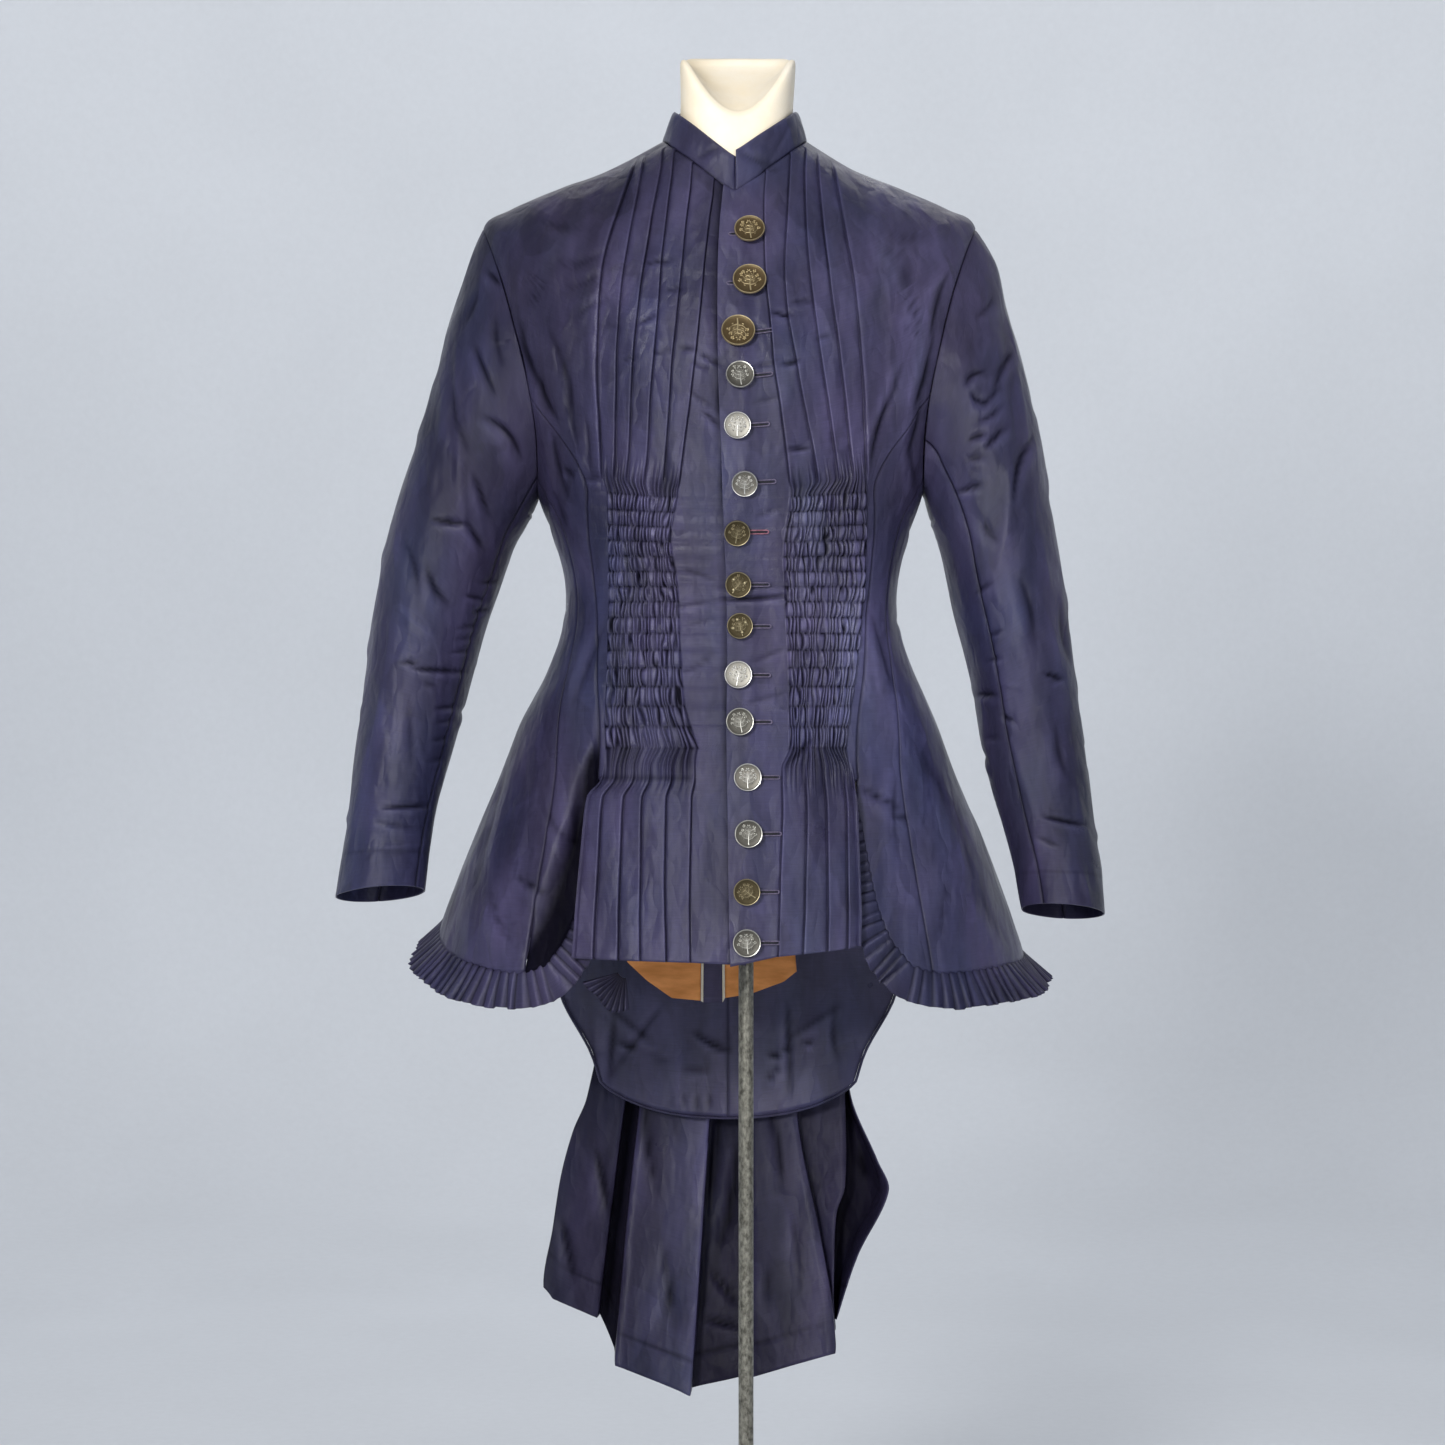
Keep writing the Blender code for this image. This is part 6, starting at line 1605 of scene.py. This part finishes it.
lining = {
    "lining_right": [(-0.0995, 0.735), (-0.083, 0.719), (-0.062, 0.704), (-0.0375, 0.7015)],
    "lining_strip": [(-0.036, 0.7), (-0.018, 0.7)],
    "lining_left": [(-0.0165, 0.704), (0.004, 0.707), (0.033, 0.718), (0.044, 0.727)],
    "tape_right": [(-0.0372, 0.7012), (-0.0352, 0.7002)],
    "tape_left": [(-0.0188, 0.7002), (-0.0166, 0.704)],
}
liningShape = {"centre": -0.027, "top": 0.95, "narrow": 0.72, "clear": 0.005, "hem": 0.15}


def makeLining(name, finish, lift):
    table = np.array(lining[name])
    count = 24 if len(table) > 2 else 8
    xHem = np.linspace(table[0, 0], table[-1, 0], count)[None, :]
    zHem = np.interp(xHem, table[:, 0], table[:, 1])
    down = np.linspace(0, 1, 50)[:, None]
    centre, high, narrow = liningShape["centre"], liningShape["top"], liningShape["narrow"]
    x = centre + (xHem - centre) * (narrow + (1 - narrow) * down)
    top = backOfBody(x, high + 0 * x)[..., 1] - liningShape["clear"]
    y = top + (liningShape["hem"] - 1.5 * (x - centre) ** 2 - top) * down - lift
    z = high + (zHem - high) * down
    points = np.stack([x, y, z], -1)
    points[..., 1] += 0.0009 * softNoise(points, 45, 12) + 0.0005 * softNoise(points * (1, 1, 3), 90, 13)
    return clothPiece(name + "_cloth", points, finish, (-0.02, 0.4, 0.8), arcLengths(points), None, 0.0007)


for name, finish, lift in (
    ("lining_right", cotton, 0.0), ("lining_left", cotton, 0.0), ("lining_strip", silk, 0.0),
    ("tape_right", tapeCotton, 0.0006), ("tape_left", tapeCotton, 0.0006),
):
    pieces[name] = makeLining(name, finish, lift)
print("tail and lining made")


# Corded piping on the basque's edge

piping = {"radius": 0.00125, "gap": 0.0002}


def makePiping():
    clear = piping["radius"] + piping["gap"]
    half = []
    for level in np.linspace(17.1, 19.3, 14):
        half.append(surfacePoint(backSideEdge(level) - np.degrees(clear / ringAt(level)[2]), level))
    corner, cornerLevel = body["basqueEdge"][-1][1], body["basqueEdge"][-1][0]
    for across in np.linspace(0, 1, 24):
        angle = corner + (180 - gapAngle(20.0) - corner) * across
        level = cornerLevel + (body["basqueCentre"] - cornerLevel) * math.sin(across * math.pi / 2) ** 0.8
        slant = math.radians(45 * (1 - across))
        half.append(surfacePoint(angle, level) + np.array([math.sin(slant), 0, -math.cos(slant)]) * clear)
    centre = 2 * ringAt(19.0)[7]
    other = [np.array([centre - p[0], p[1], p[2]]) for p in half[:-1]]
    line = bpy.data.curves.new("hem_piping_cord", "CURVE")
    line.dimensions = "3D"
    line.bevel_depth = piping["radius"]
    line.bevel_resolution = 3
    line.use_fill_caps = True
    spline = line.splines.new("POLY")
    places = half + other[::-1]
    spline.points.add(len(places) - 1)
    for spot, place in zip(spline.points, places):
        spot.co = (*place, 1)
    line.materials.append(silk)
    made = addObject("hem_piping_cord", line)
    bpy.context.view_layer.update()
    data = bpy.data.meshes.new_from_object(made.evaluated_get(bpy.context.evaluated_depsgraph_get()))
    bpy.data.objects.remove(made)
    setShade(data, np.ones(len(data.vertices)))
    data.shade_smooth()
    return addObject("hem_piping_cord", data)


pieces["hem_piping"] = makePiping()


# Buttons

buttons = {
    "table": [  # height, x, radius, metal
        (1.3145, 0.0023, 0.0119, "gold"), (1.274, 0.0019, 0.013, "gold"), (1.2335, -0.0069, 0.013, "gold"),
        (1.1995, -0.0056, 0.0107, "darkSilver"), (1.1625, -0.0076, 0.0103, "silverPaintedGlint"),
        (1.1205, -0.0023, 0.0099, "silver"), (1.0835, -0.0077, 0.0099, "oldGold"),
        (1.0435, -0.0069, 0.0099, "oldGold"), (1.0115, -0.0057, 0.0099, "oldGold"),
        (0.974, -0.0069, 0.0106, "silverPaintedGlint"), (0.9383, -0.0057, 0.0106, "darkSilver"),
        (0.896, 0.0, 0.0106, "silver"), (0.853, 0.0004, 0.0106, "darkSilver"),
        (0.809, -0.0008, 0.0102, "oldGold"), (0.7705, -0.0008, 0.0106, "darkSilver"),
    ],
    "thickness": 0.0032, "standoff": 0.0022, "clear": 0.0004,
    "turned": {3: math.pi, 8: -0.5, 9: 0.3, 14: 0.9}, "studs": {9: (0.3, 1.7, 3.2, 4.8), 8: (0.9, 2.9, 4.6)},
    "branches": ((-0.45, 1), (-0.4, -1), (-0.12, 1), (-0.05, -1), (0.18, 1), (0.22, -1)),
}


def placketSpot(z, x):
    # place on the placket at a height, and the way it faces
    heights = fineRings[:, 0]
    level = float(np.interp(-z, -heights, fineLevels))
    angle = float(angleOf(x - ringAt(level)[7], level))
    normal = surfaceNormal(angle, level)
    rise = cadWall + shape["clear"] + float(skirtPuff(level))
    return surfacePoint(angle, level) + normal * rise, normal


def makeButton(number, z, x, radius, metal):
    top = buttons["standoff"] + buttons["thickness"]
    mesh = spun([
        (0.0002, 0.0), (0.0024, 0.0), (0.0024, buttons["standoff"] - 0.0004), (0.004, buttons["standoff"]),
        (radius * 0.93, buttons["standoff"] + 0.0006), (radius, buttons["standoff"] + 0.0016),
        (radius * 0.995, top - 0.0005), (radius * 0.97, top), (radius * 0.935, top - 0.0001),
        (radius * 0.905, top - 0.0009), (radius * 0.86, top - 0.0012), (radius * 0.5, top - 0.001),
        (radius * 0.2, top - 0.0009), (0.0002, top - 0.0009),
    ], 40)
    for height in (0.0, top - 0.0009):
        loop = [v for v in mesh.verts if abs(v.co.z - height) < 1e-6 and math.hypot(v.co.x, v.co.y) < 0.0003]
        bmesh.ops.contextual_create(mesh, geom=loop)
    bmesh.ops.recalc_face_normals(mesh, faces=mesh.faces)
    rng = np.random.default_rng(40 + number)
    ground = top - 0.0011

    def stroke(points, widths):
        # a raised tapering branch
        for (a, b), (wa, wb) in zip(zip(points, points[1:]), zip(widths, widths[1:])):
            a, b = Vector((*a, ground)), Vector((*b, ground))
            along = b - a
            if along.length < 1e-5:
                continue
            made = bmesh.ops.create_cone(
                mesh, cap_ends=True, segments=8, radius1=wa, radius2=wb, depth=along.length * 1.1
            )["verts"]
            turn = along.to_track_quat("Z", "Y").to_matrix().to_4x4()
            bmesh.ops.transform(mesh, matrix=Matrix.Translation((a + b) / 2) @ turn, verts=made)

    def blob(x, y, size, stretch=1.0, turn=0.0, height=0.0008):
        finer = 2 if size > 0.1 * radius else 1
        made = bmesh.ops.create_icosphere(mesh, subdivisions=finer, radius=1.0)["verts"]
        spin = Matrix.Rotation(turn, 4, "Z") @ Matrix.Diagonal((size * stretch, size, height, 1))
        bmesh.ops.transform(mesh, matrix=Matrix.Translation((x, y, ground)) @ spin, verts=made)

    r = radius * 0.88
    stem = [(0.02 * r, -0.86 * r), (0.0, -0.35 * r), (0.05 * r, 0.05 * r), (0.0, 0.4 * r)]
    stroke(stem, (0.075 * r, 0.06 * r, 0.05 * r, 0.03 * r))
    for k, (height, lean) in enumerate(buttons["branches"]):
        reach = (0.62 - 0.1 * (k // 2)) * (0.9 + 0.2 * rng.random())
        tip = (lean * reach * r, (height + 0.34 + 0.1 * rng.random()) * r)
        bend = (lean * reach * 0.55 * r, (height + 0.08) * r)
        stroke([(0.02 * r, height * r), bend, tip], (0.05 * r, 0.04 * r, 0.025 * r))
        for petal in range(5):
            turn = petal * math.tau / 5 + rng.random()
            blob(tip[0] + 0.09 * r * math.cos(turn), tip[1] + 0.09 * r * math.sin(turn), 0.07 * r)
        blob(tip[0], tip[1], 0.05 * r, 1, 0, 0.001)
        blob(bend[0], bend[1] - 0.13 * r, 0.05 * r, 2.4, lean * 0.6)
        blob(bend[0] * 0.7, bend[1] + 0.16 * r, 0.045 * r, 2.4, lean * 1.9)
    for turn in np.linspace(0, math.pi, 4):
        blob(0.12 * r * math.cos(turn), 0.55 * r + 0.16 * r * math.sin(turn), 0.06 * r, 2.0, turn)
    for turn in buttons["studs"].get(number, ()):
        blob(0.6 * r * math.cos(turn), 0.6 * r * math.sin(turn), 0.17 * r, 1.0, 0.0, 0.0013)
    place, facing = placketSpot(z, x)
    facing = Vector(facing)
    turned = facing.to_track_quat("Z", "Y").to_matrix().to_4x4()
    tilt = Matrix.Rotation(0.35 * (rng.random() - 0.5) + buttons["turned"].get(number, 0.0), 4, "Z")
    heights = np.array([v.co.z for v in mesh.verts])
    radii = np.array([math.hypot(v.co.x, v.co.y) for v in mesh.verts])
    sewn = Matrix.Translation(Vector(place) + facing * buttons["clear"])
    bmesh.ops.transform(mesh, matrix=sewn @ turned @ tilt, verts=mesh.verts)
    data = meshData(mesh, f"button_{number:02d}_metal", buttonMetals[metal])
    raised = np.clip((heights - (ground + 0.0001)) / 0.0006, 0, 1)
    setShade(data, np.where(radii > radius * 0.915, 0.8, 0.05 + 0.95 * raised))
    data.set_sharp_from_angle(angle=math.radians(50))
    return addObject(data.name, data)


def makeButtonMetal(name, ground, raised, roughness):
    made, tree, shader, place = newMaterial(name)
    mask = node(tree, "ShaderNodeAttribute", attribute_name="shade")
    tarnish = noiseNode(tree, place, 260, 4, 0.6)
    spread = times(tree, mask.outputs["Fac"], remap(tree, tarnish, 0.3, 0.7, 0.65, 1.0))
    tree.links.new(mixColour(tree, spread, ground, raised), shader.inputs["Base Color"])
    tree.links.new(remap(tree, spread, 0.0, 1.0, roughness + 0.25, roughness), shader.inputs["Roughness"])
    shader.inputs["Metallic"].default_value = 0.9
    addBump(tree, shader, times(tree, tarnish, 0.0002), 0.4)
    return made


buttonMetals = {
    "gold": makeButtonMetal("antiqueGiltButton", (0.07, 0.045, 0.02), (0.72, 0.58, 0.33), 0.3),
    "oldGold": makeButtonMetal("darkGiltButton", (0.04, 0.03, 0.014), (0.46, 0.39, 0.24), 0.36),
    "silver": makeButtonMetal("antiqueSilverButton", (0.12, 0.11, 0.09), (0.95, 0.93, 0.87), 0.28),
    "darkSilver": makeButtonMetal("darkSilverButton", (0.05, 0.046, 0.038), (0.8, 0.78, 0.7), 0.3),
    # silver painted lighter all over, a painted glint
    "silverPaintedGlint": makeButtonMetal("silverButtonPaintedGlint", (0.26, 0.245, 0.21), (0.95, 0.93, 0.89), 0.3),
}
for number, (z, x, radius, metal) in enumerate(buttons["table"], 1):
    pieces[f"button_{number:02d}"] = makeButton(number, z, x, radius, metal)


buttonhole = {
    "onRight": 2, "pink": 7, "half": 0.0013, "pitch": 0.00062, "lift": 0.0003,
    "bar": (0.0004, 0.00062, 0.00036, 1),
}


def layOnPlacket(mesh, z, x, size, detail):
    # a small rounded shape on the placket
    place, facing = placketSpot(z, x)
    made = bmesh.ops.create_icosphere(mesh, subdivisions=detail, radius=1.0)["verts"]
    lie = Vector(facing).to_track_quat("Z", "Y").to_matrix().to_4x4()
    above = Matrix.Translation(Vector(place) + Vector(facing) * buttonhole["lift"])
    bmesh.ops.transform(mesh, matrix=above @ lie @ size, verts=made)
    return made


def makeButtonhole(number, z, x, radius):
    # stitched slit: two rows of thread bars round an oval, bound at the ends
    left, right = x + radius * 0.6, x + radius + 0.013
    if number <= buttonhole["onRight"]:
        left, right = x - radius - 0.0034, x - radius * 0.6
    mesh = bmesh.new()
    half = buttonhole["half"]
    bars = int((right - left) / buttonhole["pitch"])
    spots = []
    for k in range(bars):
        at = left + (right - left) * (k + 0.5) / bars
        spots += [(at, half, 0.0), (at, -half, 0.0)]
    for turn in np.linspace(-1.3, 1.3, 6):
        spots.append((right + 0.0009 * math.cos(turn), 0.0011 * math.sin(turn), turn + math.pi / 2))
        spots.append((left - 0.0009 * math.cos(turn), 0.0011 * math.sin(turn), turn + math.pi / 2))
    for at, off, turn in spots:
        bar = Matrix.Rotation(turn, 4, "Z") @ Matrix.Diagonal(buttonhole["bar"])
        layOnPlacket(mesh, z + off, at, bar, 1)
    # a dark sheet painted as the shadow in the slot between the two rows
    slot = Matrix.Diagonal(((right - left) / 2, 0.0009, 0.00022, 1))
    made = layOnPlacket(mesh, z, (left + right) / 2, slot, 2)
    for face in {face for spot in made for face in spot.link_faces}:
        face.material_index = 1
    finish = pinkThread if number == buttonhole["pink"] else thread
    data = meshData(mesh, f"buttonhole_{number:02d}_thread", finish, slotShadow)
    return addObject(data.name, data)


for number, (z, x, radius, metal) in enumerate(buttons["table"], 1):
    pieces[f"buttonhole_{number:02d}"] = makeButtonhole(number, z, x, radius)
print("buttons made")


# Dress form and stand

form = {
    "hips": metres([  # z, xSide, yFront, yBack
        (8420, 1360, -880, 1060), (8500, 1440, -940, 1130), (8800, 1500, -980, 1180),
        (9150, 1500, -990, 1160), (9500, 1450, -985, 1080), (9850, 1320, -960, 940),
        (10160, 1235, -955, 790),
    ]),
    "levels": (10, 9.4, 8.8, 8.2, 7.6, 7.0, 6.4, 5.8, 5.2, 4.7, 4.3, 4.0, 3.6, 3.2, 2.6, 2.0, 1.4, 0.8),
    "clear": 0.008, "shoulderClear": 0.0026, "xCentre": -0.012, "columns": 121,
    "neck": metres([  # as the rings of the body
        (13620, -475, 470, 30, 14020, 525, 14140, -85),
        (13840, -450, 450, 30, 14240, 475, 14360, -75),
        (14000, -440, 456, 30, 14480, 465, 14560, -68),
        (14130, -430, 462, 30, 14705, 455, 14755, -65),
        (14165, -410, 446, 30, 14740, 438, 14785, -65),
    ]),
    "cornerDrop": 0.0065,
    "cut": [  # share of the way to the middle, and how far down
        (0.03, 0.001), (0.07, 0.001), (0.1, 0.0), (0.13, -0.0018), (0.17, -0.0028), (0.3, -0.0034),
        (0.55, -0.0042), (0.8, -0.005), (1.0, -0.0055),
    ],
}


def makeForm():
    angle = np.linspace(-180, 180, form["columns"])
    rings = []
    for z, xSide, yFront, yBack in form["hips"]:
        rings.append(ringPoint(np.array([z, yFront, xSide, 0.0, z, yBack, z, form["xCentre"]]), angle))
    for level in form["levels"]:
        fromSide = np.abs(np.abs(angle) - 90)
        ridge = bell(fromSide, 16) * smoothStep((level - 0.4) / 0.8) * smoothStep((3.6 - level) / 0.6)
        inset = form["clear"] + (form["shoulderClear"] - form["clear"]) * ridge
        rings.append(surfacePoint(angle, level) - surfaceNormal(angle, level + 0 * angle) * inset[..., None])
    neck = []
    for ring in form["neck"]:
        made = ringPoint(np.array(ring), angle)
        raised = smoothStep((ring[0] - 1.39) / 0.03)
        made[..., 2] -= form["cornerDrop"] * raised * np.abs(np.sin(np.radians(angle))) ** 10
        neck.append(made)
    rings = np.array(rings + neck)
    steps = []
    for i in range(len(rings) - 1):
        steps += [i, i + 0.5]
    steps += [len(rings) - 1]
    smooth = curveThrough(rings.reshape(len(rings), -1), np.array(steps)).reshape(-1, len(angle), 3)
    # the neck's sloping cut: a rounded rim round a slightly hollow face
    top = rings[-1]
    centre = (top[:, :2].max(0) + top[:, :2].min(0)) / 2
    middle = np.array([centre[0], centre[1], 0.0])
    middle[2] = np.mean([top[0][2], top[len(angle) // 2][2]])
    front, back = top[len(angle) // 2], top[0]
    half, slope = (top[:, 0].max() - top[:, 0].min()) / 2, (back[2] - front[2]) / 2
    high = top[len(angle) // 4][2]
    inner = []
    for share, drop in form["cut"]:
        ring = top + (middle - top) * share + np.array([0, 0, drop])
        u, v = (ring[:, 0] - centre[0]) / half, (ring[:, 1] - centre[1]) / half
        saddle = u**2 * high + (1 - u**2) * (middle[2] + slope * v) + drop
        ring[:, 2] += (saddle - ring[:, 2]) * smoothStep((share - 0.1) / 0.35)
        inner.append(ring)
    under = rings[0]
    base = np.array([form["xCentre"], 0.005, form["hips"][0][0]])
    bottom = [base + (under - base) * share for share in (0.0, 0.5, 0.95)]
    points = np.concatenate([bottom, smooth, inner])[::-1]
    return clothPiece("dress_form_linen", points, linen, (-0.012, 0, 1.1), None, None, 0.0, True)


pieces["dress_form"] = makeForm()


def turnedPiece(name, profile, finish, steps):
    mesh = spun(profile, steps)
    bmesh.ops.remove_doubles(mesh, verts=mesh.verts, dist=1e-6)
    bmesh.ops.recalc_face_normals(mesh, faces=mesh.faces)
    data = meshData(mesh, name, finish)
    data.set_sharp_from_angle(angle=math.radians(40))
    return addObject(name, data)


rod = {"radius": 0.006, "foot": 0.0363, "top": 0.8417}
rodLine = [(rod["radius"], z) for z in np.linspace(rod["foot"], rod["top"], 40)]
pieces["stand_rod"] = turnedPiece("stand_rod_iron", [(0, rod["foot"]), *rodLine, (0, rod["top"])], iron, 32)
pieces["stand_base"] = turnedPiece(
    "stand_base_iron",
    [
        (0, 0), (0.1585, 0), (0.16, 0.0015), (0.16, 0.0075), (0.159, 0.0095), (0.156, 0.0115),
        (0.153, 0.012), (0.1, 0.0122), (0.04, 0.0128), (0.024, 0.014), (0.0195, 0.0165), (0.018, 0.02),
        (0.018, 0.032), (0.0172, 0.0348), (0.015, 0.036), (0.0062, 0.036), (0, 0.036),
    ],
    iron, 72,
)
print("form and stand made")


# What rides and replaces

for name, piece in pieces.items():
    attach(piece, "root")
    if name in frame["nodes"]:
        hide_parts(name)


# Floor, light and camera

studio = {
    "bowl": [
        (0.001, -0.0002), (2.6, -0.0002), (3.2, 0.06), (3.6, 0.28), (3.85, 0.7), (3.95, 1.3), (3.98, 3.6),
    ],
    "camera": (-0.0188, -2.4, 0.938),
    "lens": 74.74,
    "wall": (0.648, 0.672, 0.707),
    "world": (0.9, 0.93, 1.0),
    "worldStrength": 0.27,
    "lights": [  # name, place, aimed at, size, power
        ("softKey", (-1.0, -2.75, 1.65), (0, 0, 1.0), (0.5, 0.6), 72),
        ("softFill", (1.2, -2.7, 1.2), (0, 0, 0.95), (0.8, 1.2), 17),
        ("softTop", (0.1, -0.9, 3.0), (0, 0, 1.0), (1.6, 1.2), 4),
        ("softBack", (0.2, 2.2, 3.2), (0, 0, 1.0), (1.8, 1.2), 9),
        ("wallGlow", (0.0, 1.7, 3.1), (0, 3.9, 0.4), (3.4, 0.7), 40),
    ],
}
bpy.context.scene.view_settings.view_transform = "Standard"


def makeStage():
    made, tree, shader, place = newMaterial("paleBackdrop")
    canvas = noiseNode(tree, place, 70, 3, 0.6)
    clouds = noiseNode(tree, place, 1.6, 2, 0.5)
    grain, drift = remap(tree, canvas, 0.3, 0.7, 0.985, 1.015), remap(tree, clouds, 0.3, 0.7, 0.97, 1.03)
    tone = times(tree, grain, drift)
    scaled = node(tree, "ShaderNodeVectorMath", operation="SCALE")
    scaled.inputs[0].default_value = studio["wall"]
    tree.links.new(tone, scaled.inputs["Scale"])
    tree.links.new(scaled.outputs[0], shader.inputs["Base Color"])
    shader.inputs["Roughness"].default_value = 0.95
    shader.inputs["Specular IOR Level"].default_value = 0.1
    data = meshData(spun(studio["bowl"], 96), "studioBowl", made)
    addObject("studioBowl", data)


def addLight(name, place, target, size, power):
    lamp = bpy.data.lights.new(name, "AREA")
    lamp.shape = "RECTANGLE"
    lamp.size, lamp.size_y = size
    lamp.energy = power
    made = addObject(name, lamp)
    made.location = place
    made.rotation_euler = (Vector(target) - Vector(place)).to_track_quat("-Z", "Y").to_euler()


makeStage()
for light in studio["lights"]:
    addLight(*light)
world = bpy.data.worlds.new("studio")
bpy.context.scene.world = world
world.use_nodes = True
world.node_tree.nodes["Background"].inputs["Color"].default_value = (*studio["world"], 1)
world.node_tree.nodes["Background"].inputs["Strength"].default_value = studio["worldStrength"]
camera = bpy.data.cameras.new("camera")
camera.lens = studio["lens"]
camera.sensor_width = 36
cameraObject = addObject("camera", camera)
cameraObject.location = studio["camera"]
cameraObject.rotation_euler = (math.pi / 2, 0, 0)
bpy.context.scene.camera = cameraObject
print("stage made")
